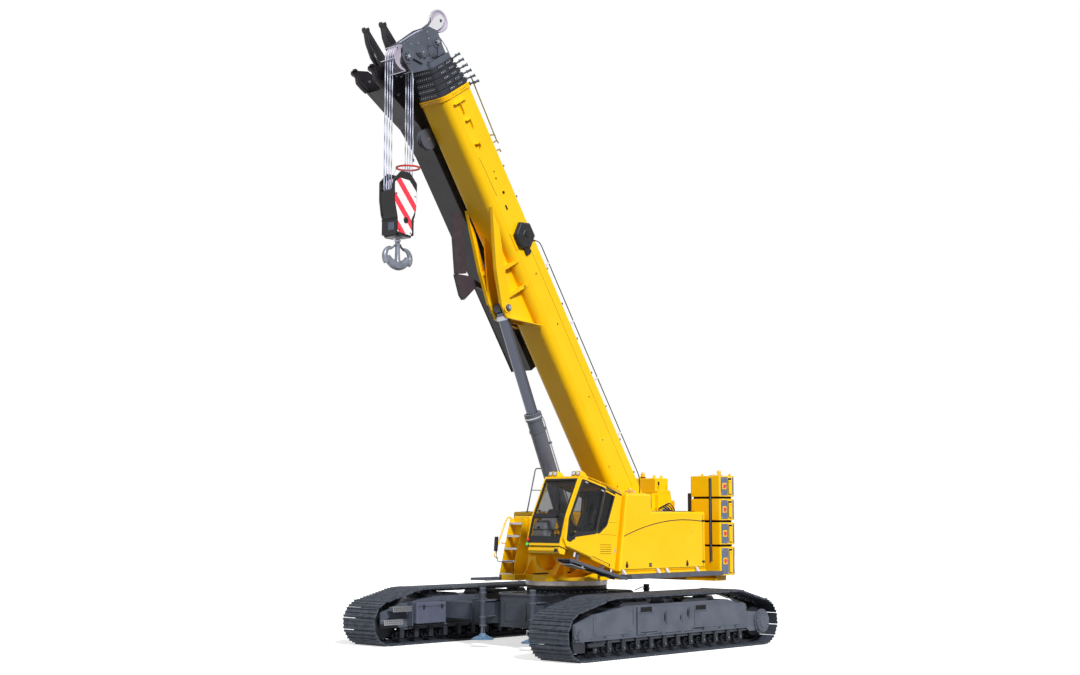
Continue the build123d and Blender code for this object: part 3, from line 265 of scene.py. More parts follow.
@dataclass(frozen=True)
class RopeLay(Finish):
    """Wire rope: the strands' slant shows as fine dark lines and a bump."""

    lay: float = 0.028

    def dress(self, tree: bpy.types.NodeTree, surface: bpy.types.Node) -> None:
        """Lay bands across the rope."""
        place = add_node(tree, "ShaderNodeTexCoord").outputs["Object"]
        bands = add_node(tree, "ShaderNodeTexWave", {"Vector": place, "Scale": 1 / (self.lay * 20),
                                                     "Distortion": 0.6},
                         bands_direction="DIAGONAL")
        tree.links.new(mix_colours(tree, bands.outputs["Fac"], self.shade, self.colour),
                       surface.inputs["Base Color"])
        bump = add_node(tree, "ShaderNodeBump", {"Height": bands.outputs["Fac"], "Strength": 0.5,
                                                 "Distance": 0.002})
        tree.links.new(bump.outputs["Normal"], surface.inputs["Normal"])


# Two-pack enamel on steel plate: deep yellow under a clear gloss, with the faint unevenness of spraying
YELLOW = Finish("yellow_enamel", "#FFCA00", 0.40, coat=0.05, shade="#FCC000", cloud_mm=900, cloud_share=0.6,
                grain_mm=6, grain_depth_mm=0.05)
# Satin primer-grey paint on rolled plate: frames and carbody
FRAME_GREY = Finish("frame_paint", "#555B68", 0.46, coat=0.08, shade="#434A56", cloud_mm=450,
                    cloud_share=0.8, grain_mm=5, grain_depth_mm=0.08)
# The frame's paint, darkened for the carbody as painted shade, since the carbody stands in the dark between
# the tracks
SHADED_FRAME_GREY = Finish("frame_paint_painted_shade", "#3F4450", 0.48, coat=0.08, shade="#343943", cloud_mm=450,
                      cloud_share=0.8, grain_mm=5, grain_depth_mm=0.08)
# Cast and rolled track steel with a thin grey paint, rubbed by the ground
TRACK_STEEL = Finish("track_cast_steel", "#4D535F", 0.5, metallic=0.2, shade="#353A43", cloud_mm=120,
                     cloud_share=0.9, grain_mm=4, grain_depth_mm=0.25)
# Rollers, chain links and wheels: cast steel with oil and dust, nearly black; the same colour also paints the
# shade in the track shoes' valleys
WHEEL_STEEL = Finish("roller_cast_steel", "#26292F", 0.48, metallic=0.3, shade="#373B43", cloud_mm=90,
                     cloud_share=0.8, grain_mm=4, grain_depth_mm=0.2)
# Turned slewing ring steel
RING_STEEL = Finish("turned_steel", "#C4BEBD", 0.3, metallic=0.5, shade="#9A959A", cloud_mm=260,
                    cloud_share=0.6)
# Jack feet: worn light blue paint on plate
JACK_BLUE = Finish("jack_paint", "#64809E", 0.5, shade="#516A85", cloud_mm=120, cloud_share=0.8, grain_mm=4,
                   grain_depth_mm=0.1)
# Dark grey satin paint: cylinder barrel, winches and brackets
DARK_GREY = Finish("dark_satin_paint", "#585B66", 0.42, coat=0.1, shade="#4A4C57", cloud_mm=300,
                   cloud_share=0.8, grain_mm=5, grain_depth_mm=0.06)
# Boom head: blue-grey satin paint
HEAD_GREY = Finish("head_satin_paint", "#535966", 0.42, coat=0.12, shade="#434855", cloud_mm=300,
                   cloud_share=0.8, grain_mm=5, grain_depth_mm=0.08)
# Telescopic sections and their collars: nearly black satin paint
COLLAR_GREY = Finish("section_satin_paint", "#2F323B", 0.44, coat=0.1, shade="#21242A", cloud_mm=200,
                     cloud_share=0.8, grain_mm=5, grain_depth_mm=0.08)
# Walkway plate with grit in its paint
WALK_GREY = Finish("grit_walk_paint", "#5C616C", 0.75, shade="#4B5059", cloud_mm=200, cloud_share=0.7,
                   grain_mm=3, grain_depth_mm=0.8)
# Extruded aluminium steps
ALLOY = Finish("step_aluminium", "#B4B6BB", 0.36, metallic=0.8, shade="#94979E", cloud_mm=90,
               cloud_share=0.6)
# Laminated cab glazing with a grey tint
GLAZING = Glass("cab_glazing", "#15191C", 0.05, clear=0.7)
# Woven seat cloth
SEAT_CLOTH = Finish("woven_seat_cloth", "#36393D", 0.9, shade="#292A2E", cloud_mm=60, grain_mm=3,
                    grain_depth_mm=0.6)
# Moulded black plastic with a fine grain
PLASTIC = Finish("grained_black_plastic", "#15161A", 0.5, grain_mm=2, grain_depth_mm=0.15)
# Grey moulded lining inside the cab
LINING = Finish("cab_lining", "#373A40", 0.8, shade="#2B2E34", cloud_mm=120, grain_mm=3, grain_depth_mm=0.4)
# Pale grey moulded covers inside the cab
CAB_TRIM = Finish("cab_cover", "#AFB2BD", 0.6, shade="#999CA7", cloud_mm=90, grain_mm=3, grain_depth_mm=0.2)
# Satin black paint: jib and hook block
JIB_BLACK = Finish("black_satin_paint", "#211E24", 0.42, coat=0.1, shade="#18151A", cloud_mm=350,
                   cloud_share=0.8, grain_mm=5, grain_depth_mm=0.06)
BLOCK_BLACK = Finish("block_black_paint", "#0F0F13", 0.42, coat=0.1, grain_mm=5, grain_depth_mm=0.06)
# Cast nylon sheaves, milky with a lilac cast
NYLON = Finish("cast_nylon", "#B9B2C2", 0.38, shade="#A59EAF", cloud_mm=120, cloud_share=0.6)
# Hard-chromed rod
CHROME = Finish("ground_chrome", "#565A65", 0.16, metallic=0.85)
# Greased steel wire rope
ROPE_STEEL = RopeLay("greased_wire_rope", "#C9CDE0", 0.42, metallic=0.35, shade="#84889A")
# Zinc-plated bolts and pins
ZINC = Finish("zinc_plate", "#B2B5BC", 0.3, metallic=0.85, shade="#8D9098", cloud_mm=60, cloud_share=0.6)
# Black bolts on dark parts
BLACK_BOLT = Finish("black_oxide_bolt", "#4A4D56", 0.35, metallic=0.7, grain_mm=4, grain_depth_mm=0.1)
# Rubber seals and hoses
RUBBER = Finish("black_rubber", "#131315", 0.6, grain_mm=2, grain_depth_mm=0.1)
# Shadowed gaps, slots and grilles
SHADOW = Finish("dark_gap", "#060709", 0.85, shade="#0D0E11", cloud_mm=80)
# Olive spring-steel rod
KHAKI = Finish("khaki_rod_paint", "#978536", 0.45, shade="#7F6F2B", cloud_mm=80)
# Brown-grey stowing posts
STOW_BROWN = Finish("stow_post_paint", "#423A41", 0.5, shade="#342C34", cloud_mm=200, cloud_share=0.8,
                    grain_mm=5, grain_depth_mm=0.06)
# Tool boxes: pale blue-grey paint
BOX_GREY = Finish("box_paint", "#5C6173", 0.4, shade="#4F5465", cloud_mm=250, cloud_share=0.7, grain_mm=5,
                  grain_depth_mm=0.06)
WHITE_PAINT = Finish("white_paint", "#D8D8DC", 0.4, shade="#C9C9CF", cloud_mm=150, grain_mm=5,
                     grain_depth_mm=0.05)
RED_PAINT = Finish("red_ring_paint", "#CF1920", 0.4, shade="#AD141B", cloud_mm=60, grain_mm=4,
                   grain_depth_mm=0.05)
STRIPES = StripePaint("warning_stripes", "#F2384C", 0.4, coat=0.15)
# Moulded lenses
RED_LENS = Finish("red_lens", "#C8161D", 0.12, coat=0.6, emission=0.25, grain_mm=8, grain_depth_mm=0.4)
GREEN_LENS = Finish("green_lens", "#20C43A", 0.12, coat=0.6, emission=0.5, grain_mm=8, grain_depth_mm=0.4)
AMBER_LENS = Finish("amber_lens", "#F0A012", 0.12, coat=0.6, emission=0.25, grain_mm=8, grain_depth_mm=0.4)
CLEAR_LENS = Finish("lamp_glass", "#D6DADE", 0.08, coat=0.8, grain_mm=10, grain_depth_mm=0.5)
MIRROR = Finish("mirror_glass", "#D5DADF", 0.04, metallic=1.0, grain_mm=40, grain_depth_mm=0.02)
REFLECTOR = Finish("reflector_plate", "#636E85", 0.36, shade="#555E73", cloud_mm=40, grain_mm=3,
                   grain_depth_mm=0.2)
# Forged hook with worn grey paint
HOOK_STEEL = Finish("forged_hook_paint", "#888E9A", 0.34, metallic=0.45, shade="#5F646F", cloud_mm=150,
                    cloud_share=0.8, grain_mm=6, grain_depth_mm=0.3)

# What each CAD node is made of
NODE_FINISHES: dict[str, Finish] = {
    "carbody": SHADED_FRAME_GREY, "slew_ring_base": RING_STEEL, "side_frame_left": FRAME_GREY,
    "side_frame_right": FRAME_GREY, "track_left": TRACK_STEEL, "track_right": TRACK_STEEL,
    "track_wheels_left": WHEEL_STEEL, "track_wheels_right": WHEEL_STEEL, "jack_foot_front_left": JACK_BLUE,
    "jack_foot_front_right": JACK_BLUE, "jack_foot_rear_left": JACK_BLUE, "jack_foot_rear_right": JACK_BLUE,
    "turntable": YELLOW, "housing_left": YELLOW, "housing_right": YELLOW, "engine": DARK_GREY,
    "counterweight_left": YELLOW, "counterweight_right": YELLOW, "rear_block": YELLOW,
    "cab_carrier": YELLOW, "walkway": WALK_GREY, "ladder": ALLOY, "winch_drum_main": DARK_GREY,
    "winch_drum_aux": DARK_GREY, "cab_shell": YELLOW, "cab_glass": GLAZING, "cab_seat": SEAT_CLOTH,
    "cab_console": PLASTIC, "cab_door": YELLOW, "door_glass": GLAZING, "boom_base": YELLOW,
    "stowed_jib": JIB_BLACK, "boom_section_1": COLLAR_GREY, "boom_section_2": COLLAR_GREY,
    "boom_section_3": COLLAR_GREY, "boom_section_4": COLLAR_GREY, "boom_section_5": COLLAR_GREY,
    "boom_head": HEAD_GREY, "head_sheaves": NYLON, "rooster_sheave": NYLON, "luff_barrel": DARK_GREY,
    "luff_rod": CHROME, "rope_falls": ROPE_STEEL, "hook_block": BLOCK_BLACK, "hook": HOOK_STEEL,
}


# Shapes


def arc(centre: Pair, radius: float, start: float, end: float, steps: int = 8) -> list[Pair]:
    """Points on an arc.

    Args:
        centre: The arc's centre.
        radius: Its radius.
        start: Angle of the first point in degrees.
        end: Angle of the last point in degrees.
        steps: Chords along it.

    Returns:
        The points, one more than the steps.
    """
    angles = [math.radians(start + (end - start) * k / steps) for k in range(steps + 1)]
    return [(centre[0] + radius * math.cos(a), centre[1] + radius * math.sin(a)) for a in angles]


def rounded(outline: Sequence[Pair], radius: float, steps: int = 4) -> list[Pair]:
    """Round the corners of a closed outline.

    Args:
        outline: The outline.
        radius: How far from a corner its curve starts.
        steps: Chords across each corner.

    Returns:
        The rounded outline.
    """
    made = []
    count = len(outline)
    for index in range(count):
        before, here, after = (Vector(outline[(index + k) % count]) for k in (-1, 0, 1))
        into, out = here - before, after - here
        reach = min(radius, into.length / 2.02, out.length / 2.02)
        first, last = here - into.normalized() * reach, here + out.normalized() * reach
        for step in range(steps + 1):
            t = step / steps
            made.append(tuple(first * (1 - t) ** 2 + here * 2 * t * (1 - t) + last * t ** 2))
    return made


def inset(outline: Sequence[Pair], depth: float) -> list[Pair]:
    """Move every edge of a closed outline inwards.

    Args:
        outline: The outline, either way round.
        depth: How far the edges move, or outwards if it is negative.

    Returns:
        The outline with as many points.
    """
    count = len(outline)
    area = sum(outline[k][0] * outline[(k + 1) % count][1] - outline[(k + 1) % count][0] * outline[k][1]
               for k in range(count))
    turn = 1 if area > 0 else -1
    made = []
    for index in range(count):
        before, here, after = (Vector(outline[(index + k) % count]) for k in (-1, 0, 1))
        into, out = (here - before).normalized(), (after - here).normalized()
        normal = (Vector((-into.y, into.x)) + Vector((-out.y, out.x))) * turn
        share = max(0.3, (1 + into.dot(out)))
        made.append(tuple(here + normal * (depth / share)))
    return made


def hull(points: Sequence[Pair]) -> list[Pair]:
    """Return the convex hull of points, anticlockwise."""
    ordered = sorted(set(points))
    halves = []
    for run in (ordered, ordered[::-1]):
        half: list[Pair] = []
        for x, z in run:
            while len(half) > 1 and ((half[-1][0] - half[-2][0]) * (z - half[-2][1])
                                     - (half[-1][1] - half[-2][1]) * (x - half[-2][0])) <= 0:
                half.pop()
            half.append((x, z))
        halves.append(half[:-1])
    return halves[0] + halves[1]


class Shape:
    """A mesh in the making: solids drawn in a local frame, each with its finish."""

    def __init__(self, place: Matrix | None = None) -> None:
        """Start empty, in a local frame.

        Args:
            place: The local frame in the frame of the CAD, which is the CAD's own if left out.
        """
        self.mesh = bmesh.new()
        self.place = Matrix.Identity(4) if place is None else place
        self.finishes: list[Finish] = []
        self.active = 0

    def use(self, finish: Finish) -> Shape:
        """Give what is drawn from here on a finish, and return the shape itself."""
        if finish not in self.finishes:
            self.finishes.append(finish)
        self.active = self.finishes.index(finish)
        return self

    def take(self, solid: bmesh.types.BMesh, bevel: float = 0.0, segments: int = 2) -> None:
        """Bevel a finished solid, put it in its place and add it.

        Args:
            solid: The solid in the local frame, freed here.
            bevel: Width of its rounded edges.
            segments: Faces across a rounded edge.
        """
        bmesh.ops.recalc_face_normals(solid, faces=solid.faces)
        if bevel:
            edges = [e for e in solid.edges if e.is_manifold and e.calc_face_angle(0.0) > BEVEL_ANGLE]
            bmesh.ops.bevel(solid, geom=edges, offset=bevel, segments=segments, profile=0.5, affect="EDGES",
                            clamp_overlap=True)
        bmesh.ops.transform(solid, matrix=self.place, verts=solid.verts)
        for face in solid.faces:
            face.material_index = self.active
            face.smooth = True
        mesh = bpy.data.meshes.new("solid")
        solid.to_mesh(mesh)
        solid.free()
        self.mesh.from_mesh(mesh)
        bpy.data.meshes.remove(mesh)

    def prism(self, outline: Sequence[Point], low: float, high: float, along: Along = Along.Y,
              bevel: float = 0.0, segments: int = 2) -> Shape:
        """Extrude an outline between two places along one axis.

        Args:
            outline: Points in the other two axes, in the order of their names.
            low: Where it starts.
            high: Where it ends.
            along: The axis.
            bevel: Width of its rounded edges.
            segments: Faces across a rounded edge.

        Returns:
            The shape itself.
        """
        def spot(first: float, second: float, third: float) -> Vector:
            """Put an outline's two numbers and the place along the axis in the order X, Y, Z."""
            return Vector({Along.X: (third, first, second), Along.Y: (first, third, second),
                           Along.Z: (first, second, third)}[along])
        solid = bmesh.new()
        lower = [solid.verts.new(spot(a, b, low)) for a, b in outline]
        upper = [solid.verts.new(spot(a, b, high)) for a, b in outline]
        solid.faces.new(lower)
        solid.faces.new(upper)
        for index in range(len(outline)):
            after = (index + 1) % len(outline)
            solid.faces.new((lower[index], lower[after], upper[after], upper[index]))
        self.take(solid, bevel, segments)
        return self

    def box(self, x: Pair, y: Pair, z: Pair, bevel: float = 0.004, segments: int = 2) -> Shape:
        """Add a box between three (low, high) pairs."""
        return self.prism(((x[0], z[0]), (x[1], z[0]), (x[1], z[1]), (x[0], z[1])), y[0], y[1], Along.Y,
                          bevel, segments)

    def rim(self, outer: Sequence[Point], inner: Sequence[Point], low: float, high: float,
            along: Along = Along.Y, bevel: float = 0.0) -> Shape:
        """Extrude the band between two outlines of as many points, such as a window's frame.

        Args:
            outer: The outer outline, in the two axes other than along.
            inner: The inner outline, point for point.
            low: Where it starts along the axis.
            high: Where it ends.
            along: The axis.
            bevel: Width of its rounded edges.

        Returns:
            The shape itself.
        """
        order = {Along.X: (2, 0, 1), Along.Y: (0, 2, 1), Along.Z: (0, 1, 2)}[along]
        solid = bmesh.new()
        rings = []
        for outline in (outer, inner):
            for third in (low, high):
                rings.append([solid.verts.new(Vector([(a, b, third)[i] for i in order]))
                              for a, b in outline])
        outer_low, outer_high, inner_low, inner_high = rings
        for index in range(len(outer)):
            after = (index + 1) % len(outer)
            for first, second in ((outer_low, outer_high), (inner_high, inner_low), (inner_low, outer_low),
                                  (outer_high, inner_high)):
                solid.faces.new((first[index], first[after], second[after], second[index]))
        self.take(solid, bevel)
        return self

    def turned(self, profile: Sequence[Pair], start: Point, axis: Point, sides: int = 32,
               bevel: float = 0.0) -> Shape:
        """Turn a profile round an axis, closed at both ends.

        Args:
            profile: Pairs of distance along the axis and radius.
            start: The point that distances count from.
            axis: The axis's direction.
            sides: Faces round it.
            bevel: Width of its rounded edges.

        Returns:
            The shape itself.
        """
        turn = Vector(axis).normalized().to_track_quat("Z", "Y").to_matrix()
        solid = bmesh.new()
        rings = []
        for along, radius in profile:
            ring = []
            for step in range(sides):
                angle = 2 * math.pi * step / sides
                local = Vector((radius * math.cos(angle), radius * math.sin(angle), along))
                ring.append(solid.verts.new(Vector(start) + turn @ local))
            rings.append(ring)
        closed = profile[0] == profile[-1]
        if closed:
            rings[-1] = rings[0]
        else:
            solid.faces.new(rings[0])
            solid.faces.new(rings[-1])
        for first, second in zip(rings, rings[1:]):
            for index in range(sides):
                after = (index + 1) % sides
                solid.faces.new((first[index], first[after], second[after], second[index]))
        if closed:
            bmesh.ops.delete(solid, geom=[v for v in solid.verts if not v.link_faces], context="VERTS")
        self.take(solid, bevel)
        return self

    def rod(self, start: Point, end: Point, radius: float, sides: int = 24, bevel: float = 0.0) -> Shape:
        """Add a round bar between two points."""
        length = (Vector(end) - Vector(start)).length
        return self.turned(((0, radius), (length, radius)), start, Vector(end) - Vector(start), sides,
                           bevel)

    def pipe(self, path: Sequence[Point], radius: float, corner: float = 0.06, sides: int = 10) -> Shape:
        """Bend a round bar along straight runs with rounded corners.

        Args:
            path: The runs' corners.
            radius: The bar's radius.
            corner: How far from a corner its bend starts.
            sides: Faces round the bar.

        Returns:
            The shape itself.
        """
        points = [Vector(p) for p in path]
        line = [points[0]]
        for before, here, after in zip(points, points[1:], points[2:]):
            into, out = (here - before), (after - here)
            reach = min(corner, into.length / 2.01, out.length / 2.01)
            first, last = here - into.normalized() * reach, here + out.normalized() * reach
            for step in range(5):
                t = step / 4
                line.append(first * (1 - t) ** 2 + here * 2 * t * (1 - t) + last * t ** 2)
        line.append(points[-1])
        solid = bmesh.new()
        rings = []
        side = (line[1] - line[0]).orthogonal().normalized()
        for index, spot in enumerate(line):
            ahead = (line[min(index + 1, len(line) - 1)] - line[max(index - 1, 0)]).normalized()
            side = (side - ahead * side.dot(ahead)).normalized()
            other = ahead.cross(side)
            rings.append([solid.verts.new(spot + (side * math.cos(a) + other * math.sin(a)) * radius)
                          for a in (2 * math.pi * k / sides for k in range(sides))])
        solid.faces.new(rings[0])
        solid.faces.new(rings[-1])
        for first_ring, second_ring in zip(rings, rings[1:]):
            for index in range(sides):
                after_index = (index + 1) % sides
                solid.faces.new((first_ring[index], first_ring[after_index], second_ring[after_index],
                                 second_ring[index]))
        self.take(solid)
        return self

    def swept(self, path: Sequence[Point], radii: Sequence[float], flat: float = 1.0,
              sides: int = 16) -> Shape:
        """Sweep an oval along points, with its own radius at each.

        Args:
            path: The points, close enough together for a smooth bar.
            radii: The radius at each point.
            flat: The oval's width along Y over its other width.
            sides: Faces round it.

        Returns:
            The shape itself.
        """
        points = [Vector(p) for p in path]
        solid = bmesh.new()
        rings = []
        for index, spot in enumerate(points):
            ahead = (points[min(index + 1, len(points) - 1)] - points[max(index - 1, 0)]).normalized()
            side = Vector((0, 1, 0))
            other = ahead.cross(side).normalized()
            rings.append([solid.verts.new(spot + side * radii[index] * flat * math.cos(a)
                                          + other * radii[index] * math.sin(a))
                          for a in (2 * math.pi * k / sides for k in range(sides))])
        solid.faces.new(rings[0])
        solid.faces.new(rings[-1])
        for first, second in zip(rings, rings[1:]):
            for index in range(sides):
                after = (index + 1) % sides
                solid.faces.new((first[index], first[after], second[after], second[index]))
        self.take(solid)
        return self

    def plate(self, outline: Sequence[Point], depth: Point, bevel: float = 0.0) -> Shape:
        """Add a flat plate that leans any way.

        Args:
            outline: The corners of one face.
            depth: The step from that face to the other one.
            bevel: Width of its rounded edges.

        Returns:
            The shape itself.
        """
        solid = bmesh.new()
        first = [solid.verts.new(corner) for corner in outline]
        second = [solid.verts.new(Vector(corner) + Vector(depth)) for corner in outline]
        solid.faces.new(first)
        solid.faces.new(second)
        for index in range(len(outline)):
            after = (index + 1) % len(outline)
            solid.faces.new((first[index], first[after], second[after], second[index]))
        self.take(solid, bevel)
        return self

    def graft(self, mesh: bpy.types.Mesh) -> Shape:
        """Add a finished mesh, drawn in the local frame, in the active finish, and free it."""
        solid = bmesh.new()
        solid.from_mesh(mesh)
        bpy.data.meshes.remove(mesh)
        bmesh.ops.transform(solid, matrix=self.place, verts=solid.verts)
        for face in solid.faces:
            face.material_index = self.active
            face.smooth = True
        moved = bpy.data.meshes.new("grafted")
        solid.to_mesh(moved)
        solid.free()
        self.mesh.from_mesh(moved)
        bpy.data.meshes.remove(moved)
        return self

    def mirrored(self) -> Shape:
        """Return a copy of the shape mirrored to the crane's other side."""
        other = Shape(self.place)
        other.finishes = list(self.finishes)
        other.mesh = self.mesh.copy()
        bmesh.ops.transform(other.mesh, matrix=Matrix.Diagonal((1, -1, 1, 1)), verts=other.mesh.verts)
        bmesh.ops.reverse_faces(other.mesh, faces=other.mesh.faces)
        return other

    def piece(self, name: str, body: str, slot: str = "", replaces: Iterable[str] = ()) -> bpy.types.Object:
        """Turn the shape into a finished piece that rides on a body.

        Args:
            name: The piece's name.
            body: The CAD body that carries it.
            slot: The record's material slot of its main finish; not used.
            replaces: CAD nodes that it stands for.

        Returns:
            The new object.
        """
        mesh = bpy.data.meshes.new(name)
        self.mesh.to_mesh(mesh)
        self.mesh.free()
        for finish in self.finishes:
            mesh.materials.append(finish.material())
        mesh.set_sharp_from_angle(angle=SHARP_ANGLE)
        made = bpy.data.objects.new(name, mesh)
        bpy.context.scene.collection.objects.link(made)
        weigh = made.modifiers.new("weighted_normals", "WEIGHTED_NORMAL")
        weigh.keep_sharp = True
        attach(made, body)
        if replaces:
            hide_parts(*replaces)
        LOG.info("%s: %d faces on %s", name, len(mesh.polygons), body)
        return made


@dataclass(frozen=True)
class Spot:
    """Where a repeated solid goes, which way its Z faces and which way its X points."""

    at: Point
    facing: Point
    heading: Point = (1.0, 0.0, 0.0)


class Repeat:
    """Copies of one small solid, set out by Geometry Nodes and returned as a mesh."""

    def __init__(self, solid: Shape) -> None:
        """Keep the solid.

        Args:
            solid: Drawn round its own origin, in one finish. It is used up here.
        """
        self.finish = solid.finishes[0]
        self.mesh = bpy.data.meshes.new("repeated_solid")
        solid.mesh.to_mesh(self.mesh)
        solid.mesh.free()

    @staticmethod
    def tree(name: str, numbers: Sequence[str] = ()) -> tuple[bpy.types.NodeTree, bpy.types.Node]:
        """Start a node tree with its named inputs.

        Args:
            name: The tree's name.
            numbers: Names of its whole-number inputs.

        Returns:
            The tree and its input node.
        """
        tree = bpy.data.node_groups.new(name, "GeometryNodeTree")
        kinds = [("Places", "NodeSocketGeometry"), ("Solid", "NodeSocketObject"),
                 ("Finish", "NodeSocketMaterial")]
        for label, kind in kinds + [(number, "NodeSocketInt") for number in numbers]:
            tree.interface.new_socket(label, in_out="INPUT", socket_type=kind)
        tree.interface.new_socket("Copies", in_out="OUTPUT", socket_type="NodeSocketGeometry")
        return tree, add_node(tree, "NodeGroupInput")

    @staticmethod
    def finish_tree(tree: bpy.types.NodeTree, entry: bpy.types.Node, points: bpy.types.NodeSocket,
                    turn: bpy.types.NodeSocket) -> None:
        """Put the solid on the points, make it real and give it its finish.

        Args:
            tree: The tree.
            entry: Its input node.
            points: The socket with the points.
            turn: The socket with each copy's rotation.
        """
        solid = add_node(tree, "GeometryNodeObjectInfo", {"Object": entry.outputs["Solid"]})
        copies = add_node(tree, "GeometryNodeInstanceOnPoints",
                          {"Points": points, "Instance": solid.outputs["Geometry"],
                           "Rotation": turn})
        real = add_node(tree, "GeometryNodeRealizeInstances", {"Geometry": copies.outputs["Instances"]})
        done = add_node(tree, "GeometryNodeSetMaterial", {"Geometry": real.outputs["Geometry"],
                                                          "Material": entry.outputs["Finish"]})
        add_node(tree, "NodeGroupOutput", {"Copies": done.outputs["Geometry"]})

    @classmethod
    def spots_tree(cls) -> bpy.types.NodeTree:
        """Return the tree that puts a copy on each vertex, turned by its two attributes."""
        found = bpy.data.node_groups.get("copies_on_spots")
        if found is not None:
            return found
        tree, entry = cls.tree("copies_on_spots")
        axes = [add_node(tree, "GeometryNodeInputNamedAttribute", {"Name": name}, data_type="FLOAT_VECTOR")
                for name in ("facing", "heading")]
        turn = add_node(tree, "FunctionNodeAxesToRotation", {"Primary Axis": axes[0].outputs["Attribute"],
                                                             "Secondary Axis": axes[1].outputs["Attribute"]},
                        primary_axis="Z", secondary_axis="X")
        cls.finish_tree(tree, entry, entry.outputs["Places"], turn.outputs["Rotation"])
        return tree

    @classmethod
    def loop_tree(cls) -> bpy.types.NodeTree:
        """Return the tree that spaces copies evenly round a closed path, each with its Z outwards."""
        found = bpy.data.node_groups.get("copies_round_loop")
        if found is not None:
            return found
        tree, entry = cls.tree("copies_round_loop", ("Count",))
        curve = add_node(tree, "GeometryNodeMeshToCurve", {"Mesh": entry.outputs["Places"]})
        even = add_node(tree, "GeometryNodeResampleCurve", {"Curve": curve.outputs["Curve"],
                                                            "Count": entry.outputs["Count"]})
        tangent = add_node(tree, "GeometryNodeInputTangent")
        turn = add_node(tree, "FunctionNodeAxesToRotation", {"Primary Axis": tangent.outputs["Tangent"],
                                                             "Secondary Axis": (0.0, 1.0, 0.0)},
                        primary_axis="X", secondary_axis="Y")
        cls.finish_tree(tree, entry, even.outputs["Curve"], turn.outputs["Rotation"])
        return tree

    def run(self, tree: bpy.types.NodeTree, places: bpy.types.Mesh, **numbers: int) -> bpy.types.Mesh:
        """Evaluate a tree on its places.

        Args:
            tree: The node tree.
            places: The mesh whose vertices or edges say where the copies go.
            **numbers: Values of its whole-number inputs.

        Returns:
            The copies as one mesh.
        """
        solid = bpy.data.objects.new("repeated_solid", self.mesh)
        holder = bpy.data.objects.new("repeat_places", places)
        for thing in (solid, holder):
            bpy.context.scene.collection.objects.link(thing)
        modifier = holder.modifiers.new("copies", "NODES")
        modifier.node_group = tree
        values = {"Solid": solid, "Finish": self.finish.material(), **numbers}
        for socket in tree.interface.items_tree:
            if socket.in_out == "INPUT" and socket.name in values:
                modifier[socket.identifier] = values[socket.name]
        graph = bpy.context.evaluated_depsgraph_get()
        made = bpy.data.meshes.new_from_object(holder.evaluated_get(graph), depsgraph=graph)
        holder.modifiers.remove(modifier)
        for thing in (solid, holder):
            bpy.data.objects.remove(thing)
        bpy.data.meshes.remove(places)
        return made

    def on_spots(self, spots: Sequence[Spot]) -> bpy.types.Mesh:
        """Put a copy on each spot."""
        places = bpy.data.meshes.new("spots")
        places.from_pydata([tuple(spot.at) for spot in spots], [], [])
        for name in ("facing", "heading"):
            layer = places.attributes.new(name, "FLOAT_VECTOR", "POINT")
            for index, spot in enumerate(spots):
                layer.data[index].vector = tuple(getattr(spot, name))
        return self.run(self.spots_tree(), places)

    def round_loop(self, path: Sequence[Point], count: int) -> bpy.types.Mesh:
        """Space copies evenly round a closed path."""
        places = bpy.data.meshes.new("loop")
        edges = [(index, (index + 1) % len(path)) for index in range(len(path))]
        places.from_pydata([tuple(point) for point in path], edges, [])
        return self.run(self.loop_tree(), places, Count=count)


def bolts(shape: Shape, spots: Sequence[Spot], radius: float = 0.018,
          finish: Finish | None = None) -> Shape:
    """Set hexagon bolts with their washers on a shape.

    Args:
        shape: The shape that gets them.
        spots: Where they sit, in the shape's local frame.
        radius: The head's radius.
        finish: Their finish, zinc if left out.

    Returns:
        The shape itself.
    """
    head = Shape().use(finish or ZINC)
    head.turned(((0, radius * 1.35), (radius * 0.25, radius * 1.35)), (0, 0, 0), (0, 0, 1), 8)
    head.turned(((0, radius), (radius * 0.8, radius), (radius, radius * 0.8)), (0, 0, 0), (0, 0, 1), 6)
    shape.use(head.finishes[0]).graft(Repeat(head).on_spots(spots))
    return shape


def bolt_ring(centre: Point, radius: float, count: int, facing: Point, start: float = 0.0) -> list[Spot]:
    """Return spots on a circle whose plane faces one way.

    Args:
        centre: The circle's centre.
        radius: Its radius.
        count: How many spots.
        facing: The way that its plane faces.
        start: Angle of the first spot in degrees.

    Returns:
        The spots.
    """
    turn = Vector(facing).normalized().to_track_quat("Z", "Y").to_matrix()
    made = []
    for step in range(count):
        angle = math.radians(start + 360 * step / count)
        at = Vector(centre) + turn @ Vector((radius * math.cos(angle), radius * math.sin(angle), 0))
        made.append(Spot(tuple(at), tuple(facing), tuple(turn @ Vector((1, 0, 0)))))
    return made


def leaning(origin: Point, direction: Point) -> Matrix:
    """Frame whose X runs along a direction in the crane's long plane and whose Y is the crane's.

    Args:
        origin: The frame's origin.
        direction: Its X axis, with no part along Y.

    Returns:
        The frame as a matrix.
    """
    ahead = Vector(direction).normalized()
    up = ahead.cross(Vector((0, 1, 0)))
    turned = Matrix((ahead, (0, 1, 0), up)).transposed().to_4x4()
    return Matrix.Translation(Vector(origin)) @ turned


# The crane


